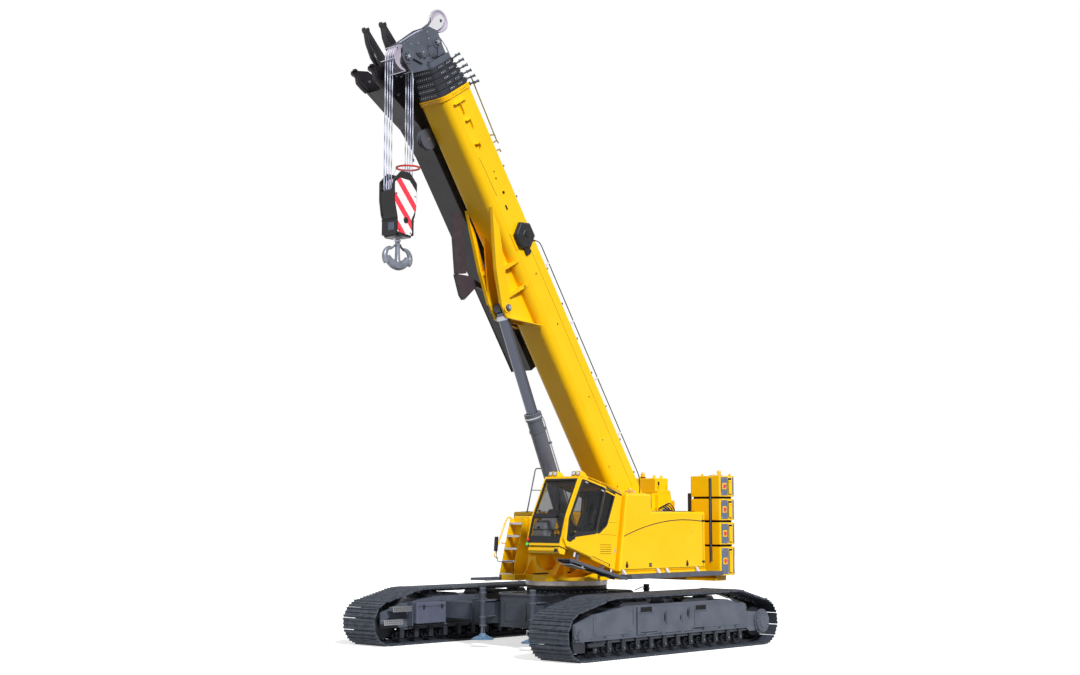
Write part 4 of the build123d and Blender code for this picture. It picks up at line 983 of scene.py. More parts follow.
@dataclass
class Places:
    """Local frames that the sub-assemblies are drawn in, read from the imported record's joints."""

    boom: Matrix
    cab: Matrix
    cylinder: Matrix

    @classmethod
    def read(cls, frame: dict) -> Places:
        """Work the frames out.


        Returns:
            The three leaning frames.
        """
        joints = {joint["name"]: joint for joint in frame["joints"]}
        def middle(name: str) -> Point:
            """Return a joint's place moved to the crane's middle plane."""
            x, _, z = joints[name]["pos_m"]
            return x, 0.0, z
        boom = leaning(middle("luff"), joints["section_1_slide"]["axis"])
        cylinder = leaning(middle("luff_barrel_turn"), joints["luff_rod_slide"]["axis"])
        cab = leaning(middle("cab_tilt"), [-a for a in joints["cab_door_slide"]["axis"]])
        cab = cab @ Matrix.Translation((-CAB_HINGE[0], 0, -CAB_HINGE[1]))
        return cls(boom, cab, cylinder)


@dataclass
class TrackUnit:
    """The left crawler track, whose mirror image is the right one: shoes, chain, wheels, frame details."""

    axles: Pair = (-2.725, 3.025)
    end_radius: float = 0.480
    corner_radius: float = 0.260
    top_run: Pair = (-1.880, 2.140)
    height: float = 1.175
    outer: float = 3.180
    width: float = 1.000
    band: float = 0.110
    shoes: int = 56
    cheek_face: float = 3.080
    cheek_inner: float = 2.280
    rollers: int = 12
    roller_middle: float = 0.330
    roller_span: float = 4.600
    roller_radius: float = 0.092
    sprocket_teeth: int = 15
    cheek_top: tuple[Pair, ...] = ((3.235, 0.700), (2.700, 0.860), (1.910, 0.955), (1.410, 0.970),
                                   (-2.080, 0.900), (-2.180, 0.860))

    @property
    def middle(self) -> float:
        """Middle of the track across the crane."""
        return self.outer - self.width / 2

    @property
    def roller_places(self) -> list[float]:
        """X of each roller."""
        return [self.roller_middle + self.roller_span * (k / (self.rollers - 1) - 0.5)
                for k in range(self.rollers)]

    def top_at(self, x: float) -> float:
        """Return the height of the outer cheek's upper edge at a place along it."""
        for (x_high, z_high), (x_low, z_low) in zip(self.cheek_top, self.cheek_top[1:]):
            if x_low <= x <= x_high:
                return z_low + (z_high - z_low) * (x - x_low) / (x_high - x_low)
        return self.cheek_top[0][1] if x > 0 else self.cheek_top[-1][1]

    def loop(self, depth: float) -> list[Point]:
        """Return the track's closed path at a depth inside the shoes' faces, its top run going forward."""
        points: list[Pair] = []
        for x in self.axles:
            points += arc((x, self.end_radius), self.end_radius - depth, 0, 360, 64)
        for x in self.top_run:
            points += arc((x, self.height - self.corner_radius), self.corner_radius - depth, 0, 360, 64)
        return [(x, self.middle, z) for x, z in reversed(hull([(round(x, 6), round(z, 6))
                                                               for x, z in points]))]

    def belt(self) -> Shape:
        """Draw the shoes with their three ribs, and the chain that they are bolted to."""
        half, rib, foot, base = 0.116, 0.009, 0.017, -0.026
        profile = [(-half, -0.042), (half, -0.042), (half, base)]
        for middle in (0.086, 0.0, -0.086):
            profile += [(middle + foot, base), (middle + rib, 0), (middle - rib, 0), (middle - foot, base)]
        profile.append((-half, base))
        shoe = Shape().use(TRACK_STEEL).prism(profile, -self.width / 2, self.width / 2, bevel=0.003,
                                              segments=1)
        # Dark strips on the floors of the valleys between the ribs: painted shade, in the roller steel's
        # colour
        for middle in (-0.043, 0.043):
            shoe.use(WHEEL_STEEL).box((middle - 0.020, middle + 0.020),
                                      (-self.width / 2 + 0.03, self.width / 2 - 0.03),
                                      (base - 0.004, base + 0.001), 0)
        loop = self.loop(0)
        belt = Shape().use(TRACK_STEEL).graft(Repeat(shoe).round_loop(loop, self.shoes))
        nuts = Shape().use(BLACK_BOLT)
        for y in (-0.150, -0.095, 0.095, 0.150):
            nuts.turned(((base, 0.013), (base + 0.012, 0.013)), (0.043, y, 0), (0, 0, 1), 6)
        belt.use(BLACK_BOLT).graft(Repeat(nuts).round_loop(loop, self.shoes))
        link = Shape().use(WHEEL_STEEL)
        side = rounded(((-0.118, -0.104), (0.118, -0.104), (0.118, -0.050), (0.070, -0.040),
                        (-0.070, -0.040), (-0.118, -0.050)), 0.03, 2)
        for y in (-0.105, 0.105):
            link.prism(side, y - 0.022, y + 0.022, bevel=0.003, segments=1)
        link.rod((0.118, -0.135, -0.074), (0.118, 0.135, -0.074), 0.026, 10)
        belt.use(WHEEL_STEEL).graft(Repeat(link).round_loop(loop, self.shoes))
        return belt

    def wheels(self) -> Shape:
        """Draw the idler, the drive wheel with its teeth and the rollers with their flanges."""
        shape = Shape().use(WHEEL_STEEL)
        rear, front = self.axles
        level, y = self.end_radius, self.middle
        reach = self.end_radius - self.band
        shape.turned(((-0.21, 0.10), (-0.21, reach - 0.04), (-0.10, reach - 0.03), (-0.10, reach),
                      (0.10, reach), (0.10, reach - 0.03), (0.21, reach - 0.04), (0.21, 0.10)),
                     (front, y, level), (0, 1, 0), 48)
        shape.turned(((-0.20, 0.12), (-0.20, 0.30), (-0.07, 0.31), (0.07, 0.31), (0.20, 0.30),
                      (0.20, 0.12)),
                     (rear, y, level), (0, 1, 0), 48)
        for x in self.axles:
            shape.rod((x, self.cheek_inner, level), (x, self.cheek_face, level), 0.095, 32)
        tooth = Shape().use(WHEEL_STEEL)
        tooth.prism(((-0.040, -0.02), (0.040, -0.02), (0.018, 0.052), (-0.018, 0.052)), -0.06, 0.06,
                    bevel=0.006, segments=1)
        spots = []
        for step in range(self.sprocket_teeth):
            angle = 2 * math.pi * (step + 0.5) / self.sprocket_teeth
            out = (math.cos(angle), 0, math.sin(angle))
            at = (rear + 0.305 * out[0], y, level + 0.305 * out[2])
            spots.append(Spot(at, out, (-out[2], 0, out[0])))
        shape.graft(Repeat(tooth).on_spots(spots))
        roller = Shape().use(WHEEL_STEEL)
        r = self.roller_radius
        roller.turned(((-0.26, 0.055), (-0.26, r * 0.8), (-0.20, r * 0.8), (-0.19, r + 0.012),
                       (-0.16, r + 0.012), (-0.15, r), (0.15, r), (0.16, r + 0.012), (0.19, r + 0.012),
                       (0.20, r * 0.8), (0.26, r * 0.8), (0.26, 0.055)), (0, 0, 0), (0, 0, 1), 24)
        roller.turned(((-0.35, 0.038), (0.35, 0.038)), (0, 0, 0), (0, 0, 1), 16)
        level = self.band + r
        shape.graft(Repeat(roller).on_spots([Spot((x, y, level), (0, 1, 0)) for x in self.roller_places]))
        return self.drive_hub(shape)

    def drive_hub(self, shape: Shape) -> Shape:
        """Add the drive's stepped cover with its bolt circles on the outer cheek."""
        rear, level = self.axles[0], self.end_radius
        face = self.cheek_face
        shape.use(FRAME_GREY).turned(((0, 0.262), (0.020, 0.262), (0.024, 0.225), (0.052, 0.218),
                                      (0.058, 0.135), (0.074, 0.125), (0.078, 0.06)), (rear, face, level),
                                     (0, 1, 0), 48)
        bolts(shape, bolt_ring((rear, face + 0.020, level), 0.243, 24, (0, 1, 0)), 0.012, BLACK_BOLT)
        bolts(shape, bolt_ring((rear, face + 0.055, level), 0.178, 14, (0, 1, 0)), 0.012, BLACK_BOLT)
        return shape

    def panel(self, shape: Shape, low: float, high: float, bottom: float, out: float) -> None:
        """Add a plate on the outer cheek that follows its upper edge.

        Args:
            shape: The shape that gets it.
            low: Its rear end.
            high: Its front end.
            bottom: Its lower edge.
            out: How far it stands out.
        """
        tops = [low] + [x for x, _ in reversed(self.cheek_top) if low < x < high] + [high]
        edge = [(x, self.top_at(x) - 0.020) for x in reversed(tops)]
        shape.prism([(low, bottom), (high, bottom)] + edge, self.cheek_face - 0.004, self.cheek_face + out,
                    bevel=0.005)

    def frame(self) -> Shape:
        """Draw what is fixed to the side frame: panels, ledges, openings, tensioner and roller bolts."""
        shape = Shape().use(FRAME_GREY)
        face, inner = self.cheek_face, self.cheek_inner
        for low, high, bottom, out in ((-2.06, -0.415, 0.455, 0.010), (-0.385, 1.395, 0.420, 0.018),
                                       (1.530, 2.685, 0.455, 0.010), (2.715, 3.200, 0.420, 0.014)):
            shape.use(FRAME_GREY)
            self.panel(shape, low, high, bottom, out)
        # A stepped joint between the middle panel and the front one
        shape.use(SHADOW).box((1.405, 1.417), (face, face + 0.003), (0.42, 0.95), 0)
        shape.box((1.510, 1.520), (face, face + 0.003), (0.62, 0.95), 0)
        # The ledge along the bottom with its small plates
        shape.use(FRAME_GREY).prism(((-2.15, 0.378), (3.22, 0.378), (3.22, 0.408), (-2.15, 0.408)),
                                    face - 0.005, face + 0.036, bevel=0.006)
        for x in (-1.86, -1.30, -0.74, 0.02, 0.62, 1.10, 1.78, 2.30, 2.86):
            shape.box((x - 0.06, x + 0.06), (face - 0.004, face + 0.030), (0.408, 0.448), 0.005)
        # Notches in the upper edge, each a near-black box of painted shade with a turned-in lip
        for low, high in ((0.96, 1.31), (-0.78, -0.45)):
            top = self.top_at((low + high) / 2)
            shape.use(SHADOW).box((low, high), (face - 0.002, face + 0.020), (top - 0.115, top - 0.022),
                                  0.003)
            shape.use(FRAME_GREY).box((low - 0.020, high + 0.020), (face - 0.002, face + 0.032),
                                      (top - 0.135, top - 0.115), 0.004)
        # Hollows of the middle panel, each drawn in to a point at both ends as a near-black sheet of painted
        # shade, and the short ledges below them
        for x, wide, bottom, top in ((0.56, 0.034, 0.60, 0.84), (0.06, 0.026, 0.62, 0.76),
                                     (-0.18, 0.040, 0.66, 0.88)):
            middle = (bottom + top) / 2
            lens = ((x, bottom), (x + wide, middle), (x, top), (x - wide * 0.8, middle))
            shape.use(SHADOW).prism(rounded(lens, 0.05, 3), face, face + 0.0205)
            shape.use(FRAME_GREY).box((x - 0.06, x - 0.045), (face, face + 0.030),
                                      (bottom - 0.02, top + 0.01), 0.004)
        for low, high in ((0.80, 1.30), (-0.72, -0.30)):
            shape.use(SHADOW).box((low, high), (face, face + 0.020), (0.452, 0.466), 0)
        # Dark hangers that hold the rollers
        shape.use(WHEEL_STEEL)
        for x in self.roller_places:
            for low, high in ((face - 0.035, face + 0.003), (inner - 0.003, inner + 0.035)):
                shape.box((x - 0.058, x + 0.058), (low, high), (0.147, 0.374), 0.006)
        self.humps(shape)
        self.tensioner(shape)
        self.end_caps(shape)
        self.skid_pads(shape)
        spots = [Spot((x + dx, y, 0.335), (0, side, 0)) for x in self.roller_places
                 for dx in (-0.032, 0.032)
                 for y, side in ((face, 1), (inner, -1))]
        bolts(shape, spots, 0.011, BLACK_BOLT)
        caps = [Spot((x, face, self.band + self.roller_radius), (0, 1, 0)) for x in self.roller_places]
        bolts(shape, caps, 0.026, BLACK_BOLT)
        spots = [Spot((x, face + 0.012, z), (0, 1, 0)) for x, z in ((-1.98, 0.50), (-1.98, 0.84),
                                                                    (-0.48, 0.50), (1.60, 0.50),
                                                                    (1.60, 0.90), (2.62, 0.50),
                                                                    (2.62, 0.80))]
        spots += [Spot((x, face + 0.018, z), (0, 1, 0)) for x in (-0.33, 1.34) for z in (0.48, 0.66, 0.84)]
        return bolts(shape, spots, 0.009, BLACK_BOLT)

    def humps(self, shape: Shape) -> None:
        """Draw the covers that bulge over the frame between the skid pads."""
        shape.use(WHEEL_STEEL)
        inner, outer = self.cheek_inner + 0.05, self.cheek_face - 0.045
        for low, high in ((-0.97, -0.02), (0.89, 1.91)):
            cover = rounded(((low, 0.93), (low + 0.10, 1.045), (high - 0.12, 1.050), (high, 0.93)), 0.05, 3)
            shape.prism(cover, inner, outer, bevel=0.010)

    def tensioner(self, shape: Shape) -> None:
        """Draw the idler's tensioning cylinder and its sliding yoke on the outer cheek."""
        face, front = self.cheek_face, self.axles[1]
        shape.use(WHEEL_STEEL)
        shape.prism(rounded(((front - 0.10, 0.175), (front + 0.20, 0.175), (front + 0.24, 0.30),
                             (front + 0.24, 0.372), (front - 0.10, 0.372)), 0.03, 3), face - 0.030,
                    face + 0.012, bevel=0.006)
        shape.turned(((0, 0.046), (0.42, 0.046), (0.44, 0.036)), (front - 0.60, face + 0.010, 0.300),
                     (1, 0, 0), 20)

    def end_caps(self, shape: Shape) -> None:
        """Draw the bosses of the lashing eyes and the idler axle's cap."""
        face = self.cheek_face
        for x, outward in zip(self.axles, (-1, 1)):
            eye = (x + outward * 0.152, self.end_radius)
            outer = arc(eye, 0.062, 0, 345, 23)
            shape.use(FRAME_GREY).rim(outer, arc(eye, 0.033, 0, 345, 23), face - 0.03, face + 0.024,
                                      bevel=0.004)
        front = self.axles[1]
        shape.turned(((0, 0.115), (0.020, 0.115), (0.026, 0.100), (0.034, 0.060)),
                     (front, face + 0.018, self.end_radius), (0, 1, 0), 32)
        bolts(shape, bolt_ring((front, face + 0.036, self.end_radius), 0.084, 6, (0, 1, 0)), 0.009)

    def skid_pads(self, shape: Shape) -> None:
        """Draw the worn runners under the top run with their brackets."""
        shape.use(FRAME_GREY)
        for x in (-1.22, 0.13, 1.48):
            for side in (-1, 1):
                y = self.middle + side * 0.165
                shape.prism(((x - 0.17, 0.98), (x + 0.17, 0.98), (x + 0.11, 1.052), (x - 0.11, 1.052)),
                            y - 0.012, y + 0.012, bevel=0.003)

    def inner_side(self) -> Shape:
        """Draw the tool box, the steps and the gussets on the frame's inner side."""
        shape = Shape().use(BOX_GREY)
        face = self.cheek_inner - 0.004
        shape.box((1.59, 2.44), (face - 0.24, face), (0.44, 0.88), 0.022, 3)
        shape.use(SHADOW).box((1.61, 2.42), (face - 0.242, face - 0.235), (0.790, 0.798), 0)
        shape.use(BLACK_BOLT)
        for x in (1.72, 2.24):
            shape.box((x - 0.03, x + 0.03), (face - 0.252, face - 0.236), (0.74, 0.83), 0.004)
        shape.use(FRAME_GREY)
        for x in (1.568, 2.480):
            shape.box((x - 0.012, x + 0.012), (face - 0.16, face), (0.40, 0.90), 0.006)
        for x, z in ((2.86, 0.82), (3.10, 0.56)):
            self.step(shape, x, z, face)
        shape.use(FRAME_GREY)
        for x in (-1.29, 1.29):
            for dx in (-0.19, 0.19):
                if x + dx < 1.4:
                    shape.prism(((face - 0.036, 0.53), (face, 0.53), (face, 0.86), (face - 0.016, 0.86)),
                                x + dx - 0.010, x + dx + 0.010, Along.X, bevel=0.003)
        for x in (-0.60, 0.0, 0.60):
            shape.box((x - 0.012, x + 0.012), (face - 0.035, face + 0.004), (0.40, 0.86), 0.004)
        shape.prism(((-2.1, 0.378), (2.3, 0.378), (2.3, 0.410), (-2.1, 0.410)), face - 0.036, face + 0.008,
                    bevel=0.006)
        return shape

    def step(self, shape: Shape, x: float, z: float, face: float) -> None:
        """Add one folded aluminium step with gripping holes in its front, on two arms inside the belt's loop.

        Args:
            shape: The shape that gets it.
            x: Its middle along the crane.
            z: Height of its tread.
            face: Where it is bolted on, across the crane.
        """
        out, half = face - 0.125, 0.26
        shape.use(ALLOY).box((x - half, x + half), (out - 0.13, out), (z - 0.016, z), 0.005)
        shape.box((x - half, x + half), (out - 0.140, out - 0.126), (z - 0.105, z + 0.004), 0.005)
        shape.use(FRAME_GREY)
        for dx in (-0.20, 0.0):
            shape.box((x + dx - 0.014, x + dx + 0.014), (out - 0.02, face + 0.004), (z - 0.060, z - 0.016),
                      0.004)
        hole = Shape().use(SHADOW).turned(((0, 0.011), (0.0015, 0.011)), (0, 0, 0), (0, 0, 1), 8)
        spots = [Spot((x - 0.225 + 0.05 * k, out - 0.140, z - dz), (0, -1, 0)) for k in range(10)
                 for dz in (0.030, 0.072)]
        shape.use(SHADOW).graft(Repeat(hole).on_spots(spots))

    def build(self) -> None:
        """Build both tracks."""
        parts = (("belt", self.belt(), "track_steel", ("track",)),
                 ("wheels", self.wheels(), "track_steel", ("track_wheels",)),
                 ("frame_details", self.frame(), "steel_grey", ()),
                 ("inner_details", self.inner_side(), "steel_grey", ()))
        for name, left, slot, nodes in parts:
            right = left.mirrored()
            for side, shape in (("left", left), ("right", right)):
                shape.piece(f"track_{name}_{side}", f"track_unit_{side}", slot,
                            [f"{node}_{side}" for node in nodes])


@dataclass
class Undercarriage:
    """What is welded and bolted to the carbody, the jacks and the slewing ring."""

    half_length: float = 1.560
    half_width: float = 0.860
    top: float = 1.090
    corner: float = 0.420
    beam_x: float = 1.290
    sleeve_end: float = 1.330
    beam_middle: float = 0.700
    sleeve_half: Pair = (0.210, 0.220)
    jack: Pair = (1.810, 0.710)
    jack_top: float = 1.190
    ring_radius: float = 0.860
    ring_top: float = 1.235

    def build(self) -> None:
        """Build the pieces."""
        shape = Shape().use(SHADED_FRAME_GREY)
        self.deck(shape)
        self.sleeves(shape)
        self.jack_heads(shape)
        self.hoses(shape)
        shape.piece("carbody_details", "undercarriage", "steel_grey")
        self.ring().piece("slewing_ring", "undercarriage", "ring_steel", ["slew_ring_base"])
        for end, sx in (("front", 1), ("rear", -1)):
            for side, sy in (("left", 1), ("right", -1)):
                name = f"jack_foot_{end}_{side}"
                self.foot(sx, sy).piece(f"{name}_dressed", f"jack_{end}_{side}", "jack_steel", [name])

    def deck(self, shape: Shape) -> None:
        """Draw the carbody's two rims, its manhole covers and the bolted plates at its ends."""
        x, y, c = self.half_length, self.half_width, self.corner
        outline = ((-x + c, -y), (x - c, -y), (x, -y + c), (x, y - c), (x - c, y), (-x + c, y), (-x, y - c),
                   (-x, -y + c))
        shape.rim(inset(outline, -0.028), inset(outline, 0.05), self.top - 0.026, self.top + 0.006, Along.Z,
                  0.005)
        shape.rim(inset(outline, -0.028), inset(outline, 0.05), 0.424, 0.452, Along.Z, 0.005)
        for side in (-1, 1):
            for px in (-1.02, 1.02):
                shape.box((px - 0.22, px + 0.22), (side * 0.60 - 0.13, side * 0.60 + 0.13),
                          (self.top, self.top + 0.012), 0.004)
        bolts(shape, [Spot((px + dx, side * 0.60 + dy, self.top + 0.012), (0, 0, 1)) for side in (-1, 1)
                      for px in (-1.02, 1.02) for dx in (-0.19, 0.19) for dy in (-0.10, 0.10)], 0.011)
        shape.use(SHADED_FRAME_GREY)
        for px in (-x - 0.006, x + 0.006):
            shape.prism(rounded(((-0.30, 0.54), (0.30, 0.54), (0.30, 0.98), (-0.30, 0.98)), 0.06, 3),
                        px - 0.010, px + 0.010, Along.X, 0.003)
            facing = (math.copysign(1, px), 0, 0)
            bolts(shape, [Spot((px + facing[0] * 0.010, dy, dz), facing) for dy in (-0.25, 0, 0.25)
                          for dz in (0.58, 0.94)],
                  0.011, BLACK_BOLT)
            shape.use(SHADED_FRAME_GREY)

    def sleeves(self, shape: Shape) -> None:
        """Draw the flanges, stiffeners, pins and shims of the sleeves that the track beams slide in."""
        half_x, half_z = self.sleeve_half
        for bx in (-self.beam_x, self.beam_x):
            for side in (-1, 1):
                shape.use(SHADED_FRAME_GREY)
                outer = ((bx - half_x, self.beam_middle - half_z), (bx + half_x, self.beam_middle - half_z),
                         (bx + half_x, self.beam_middle + half_z), (bx - half_x, self.beam_middle + half_z))
                for at in (1.02, self.sleeve_end - 0.028):
                    low, high = sorted((side * at, side * (at + 0.024)))
                    shape.rim(inset(outer, -0.028), inset(outer, 0.02), low, high, bevel=0.004)
                spots = [Spot((bx + dx, side * (self.sleeve_end - 0.004), self.beam_middle + dz),
                              (0, side, 0))
                         for dx in (-half_x - 0.012, half_x + 0.012) for dz in (-0.16, 0, 0.16)]
                bolts(shape, spots, 0.010)
                pin = (bx, side * 1.18, self.beam_middle + half_z)
                shape.use(ZINC).turned(((0, 0.05), (0.035, 0.05), (0.045, 0.038)), pin, (0, 0, 1), 24)
                shape.use(SHADED_FRAME_GREY).box((bx - 0.09, bx + 0.09), (pin[1] - 0.06, pin[1] + 0.06),
                                            (pin[2], pin[2] + 0.018), 0.005)

    def jack_heads(self, shape: Shape) -> None:
        """Draw each jack's cap, its clamp rings, its gussets and its pressure line."""
        for sx in (-1, 1):
            for sy in (-1, 1):
                x, y = sx * self.jack[0], sy * self.jack[1]
                shape.use(FRAME_GREY)
                shape.turned(((0, 0.070), (0.018, 0.070), (0.030, 0.050)), (x, y, self.jack_top), (0, 0, 1),
                             24)
                for z in (0.430, 0.600, 0.930, 1.10):
                    shape.turned(((0, 0.064), (0, 0.076), (0.035, 0.076), (0.035, 0.064), (0, 0.064)),
                                 (x, y, z), (0, 0, 1), 28)
                near = x - sx * 0.06
                far = x - sx * 0.32
                for dz in (0.632, 0.948):
                    low, high = sorted((near, far))
                    shape.box((low, high), (y - 0.075, y + 0.075), (dz - 0.010, dz + 0.010), 0.003)
                for dy in (-0.042, 0.042):
                    bolts(shape, [Spot((x - sx * dx, y + dy * 1.2, 0.958), (0, 0, 1))
                                  for dx in (0.13, 0.22)], 0.009)
                shape.use(RUBBER).pipe(((x - sx * 0.05, y + 0.05, 1.14), (x - sx * 0.20, y + 0.05, 1.17),
                                        (x - sx * 0.42, y + 0.02, 1.10)), 0.011)

    def hoses(self, shape: Shape) -> None:
        """Draw the travel drives' hoses that hang from the carbody to the side frames."""
        shape.use(RUBBER)
        for side in (-1, 1):
            for step in range(3):
                x = -0.96 + 0.045 * step
                shape.pipe(((x, side * 0.80, 0.98), (x, side * 1.10, 0.99), (x - 0.10, side * 1.36, 0.86)),
                           0.014, 0.10)

    def ring(self) -> Shape:
        """Draw the slewing ring with its teeth and bolts."""
        shape = Shape().use(WHEEL_STEEL)
        base, top, r = self.top + 0.0005, self.ring_top, self.ring_radius
        shape.turned(((0, 0.64), (0, r), (0.030, r), (0.034, r - 0.045), (0.086, r - 0.045),
                      (0.090, r - 0.008), (top - base, r - 0.008), (top - base, 0.64), (0, 0.64)),
                     (0, 0, base), (0, 0, 1), 96)
        tooth = Shape().use(BLACK_BOLT).prism(((-0.016, -0.046), (0.016, -0.046), (0.008, -0.004),
                                               (-0.008, -0.004)),
                                              -0.025, 0.025, bevel=0.002, segments=1)
        spots = []
        for step in range(96):
            angle = 2 * math.pi * step / 96
            out = (math.cos(angle), math.sin(angle), 0)
            spots.append(Spot((r * out[0], r * out[1], base + 0.060), out, (-out[1], out[0], 0)))
        shape.graft(Repeat(tooth).on_spots(spots))
        lower = [Spot((s.at[0], s.at[1], base + 0.030), (0, 0, 1))
                 for s in bolt_ring((0, 0, 0), r - 0.022, 40, (0, 0, 1))]
        return bolts(shape, lower, 0.012)

    def foot(self, sx: int, sy: int) -> Shape:
        """Draw one jack foot: its rod, the ball socket and the dished pad."""
        x, y = sx * self.jack[0], sy * self.jack[1]
        shape = Shape().use(CHROME).rod((x, y, 0.20), (x, y, 0.90), 0.0445, 28)
        shape.use(JACK_BLUE).turned(((0, 0.235), (0.012, 0.235), (0.026, 0.215), (0.036, 0.130),
                                     (0.052, 0.115), (0.055, 0.08)),
                                    (x, y, 0.160), (0, 0, 1), 48)
        shape.turned(((0, 0.085), (0.060, 0.075), (0.085, 0.050)), (x, y, 0.205), (0, 0, 1), 28)
        rib = Shape().use(JACK_BLUE).prism(((0.07, 0.19), (0.20, 0.19), (0.20, 0.196), (0.07, 0.25)),
                                           -0.006, 0.006)
        turns = [math.pi * step / 4 for step in range(8)]
        shape.graft(Repeat(rib).on_spots([Spot((x, y, 0), (0, 0, 1), (math.cos(a), math.sin(a), 0))
                                          for a in turns]))
        return shape


@dataclass
class Superstructure:
    """The turntable with its fittings, the housings, the winches, the ladder, the walkway and their rails."""

    deck_bottom: float = 1.360
    deck_top: float = 1.480
    deck_front: float = 1.330
    half_width: float = 0.640
    pivot: Pair = (-1.986, 2.652)
    plate_out: float = 0.485
    luff_pin: Pair = (-0.333, 1.716)
    housing_in: float = 0.700
    housing_out: float = 1.612
    housing_bottom: float = 1.545
    housing_top: float = 2.787
    housing_rear: float = -2.766
    housing_front: Pair = (0.160, -0.090)
    housing_step: Pair = (-0.900, 3.150)
    right_front: float = -0.020
    step_block: tuple[float, float, float] = (0.400, -1.180, 2.690)
    winches: tuple[Pair, Pair] = ((-2.700, 1.980), (-2.820, 2.640))
    winch_radius: float = 0.270
    drum_half: float = 0.410

    def build(self) -> None:
        """Build the pieces."""
        self.deck_fittings().piece("turntable_details", "superstructure", "crane_yellow")
        self.left_housing().piece("housing_left_dressed", "superstructure", "crane_yellow",
                                  ["housing_left"])
        self.right_housing().piece("housing_right_dressed", "superstructure", "crane_yellow",
                                   ["housing_right"])
        for name, (x, z) in zip(("main", "aux"), self.winches):
            self.drum(x, z).piece(f"winch_{name}_dressed", f"{name}_winch", "dark_steel",
                                  [f"winch_drum_{name}"])
        self.winch_frames().piece("winch_frames", "superstructure", "crane_yellow")
        self.walkway().piece("walkway_details", "superstructure", "walk_grey")
        self.ladder().piece("ladder_dressed", "superstructure", "ladder_alloy", ["ladder"])
        self.lights().piece("deck_lights", "superstructure", "crane_yellow")

    def deck_fittings(self) -> Shape:
        """Draw the deck's flange, pin caps, ribs and hoses, and the collar on the slewing ring."""
        shape = Shape().use(YELLOW)
        front = self.deck_front
        # The cross plate's flange round its hollow, its stiffeners and the collar on the slewing ring
        hollow, flange = arc((0, 1.84), 0.302, -178, -2, 24), arc((0, 1.84), 0.322, -2, -178, 24)
        shape.prism(hollow + flange, 0.560, 0.640, Along.X, 0.003)
        for y in (-0.44, 0.44):
            shape.prism(((0.618, 1.47), (0.86, 1.47), (0.618, 1.80)), y - 0.012, y + 0.012, bevel=0.004)
        collar = ((0, 0.820), (0, 0.866), (0.006, 0.872), (0.098, 0.872), (0.104, 0.862), (0.104, 0.820),
                  (0, 0.820))
        shape.use(RING_STEEL).turned(collar, (0, 0, 1.248), (0, 0, 1), 96)
        shape.use(YELLOW)
        for side in (-1, 1):
            low, high = sorted((side * (self.half_width - 0.002), side * (self.half_width + 0.014)))
            shape.box((0.30, front - 0.02), (low, high), (self.deck_bottom + 0.010, self.deck_top - 0.012),
                      0.006)
            self.pin_cap(shape, self.pivot, side, self.plate_out, 0.150, 10)
            self.pin_cap(shape, self.luff_pin, side, 0.1505, 0.082, 6)
            shape.use(YELLOW)
            low, high = sorted((side * self.plate_out, side * (self.plate_out + 0.016)))
            ring = arc(self.pivot, 0.245, 0, 350, 35)
            shape.rim(ring, arc(self.pivot, 0.150, 0, 350, 35), low, high, bevel=0.004)
            for foot in ((-2.90, 2.86), (-1.70, 2.30), (-1.05, 1.93)):
                shape.prism(((foot[0] - 0.03, 1.48), (foot[0] + 0.03, 1.48), (foot[0] + 0.03, foot[1]),
                             (foot[0] - 0.03, foot[1])),
                            *sorted((side * self.plate_out, side * (self.plate_out + 0.05))), bevel=0.006)
        bolts(shape, [Spot((x, side * (self.half_width + 0.014), 1.42), (0, side, 0)) for side in (-1, 1)
                      for x in (0.45, 0.75, 1.05, 1.25)], 0.012)
        shape.use(RUBBER)
        for step in range(4):
            y = -0.11 + 0.045 * step
            shape.pipe(((0.96, y, 1.470), (0.90, y, 1.494), (0.02, y, 1.494), (-0.16, y * 0.8, 1.494)),
                       0.013, 0.03)
        return shape

    def pin_cap(self, shape: Shape, pin: Pair, side: int, out: float, radius: float, count: int) -> None:
        """Add a bolted cap over a pin's end.

        Args:
            shape: The shape that gets it.
            pin: X and Z of the pin.
            side: 1 on the left, -1 on the right.
            out: Where the plate's outer face is.
            radius: The cap's radius.
            count: How many bolts hold it.
        """
        shape.use(ZINC).turned(((0, radius * 0.86), (0.022, radius * 0.86), (0.028, radius * 0.8),
                                (0.030, radius * 0.3)),
                               (pin[0], side * (out + 0.001), pin[1]), (0, side, 0), 32)
        bolts(shape, bolt_ring((pin[0], side * (out + 0.026), pin[1]), radius * 0.62, count, (0, side, 0)),
              radius * 0.09)

    def housing_seams(self, shape: Shape, face: float, low: float, high: float, seams: Sequence[float],
                      top: float) -> None:
        """Add the dark joints between panels and the hinges and locks on a housing's side.

        Args:
            shape: The housing.
            face: Y of its side, whose sign says which side it is.
            low: Its rear end.
            high: Its front end.
            seams: X of each upright joint.
            top: Height of the panels' upper edge.
        """
        side = 1 if face > 0 else -1
        near, far = sorted((face - side * 0.002, face + side * 0.0025))
        shape.use(SHADOW)
        for x in seams:
            shape.box((x - 0.005, x + 0.005), (near, far), (self.housing_bottom + 0.05, top), 0)
        shape.box((low + 0.04, high - 0.04), (near, far),
                  (self.housing_bottom + 0.045, self.housing_bottom + 0.055), 0)
        for x in seams:
            for z in (self.housing_bottom + 0.16, top - 0.12):
                shape.use(PLASTIC).box((x - 0.045, x + 0.045), sorted((face, face + side * 0.014)),
                                       (z - 0.02, z + 0.02), 0.004)

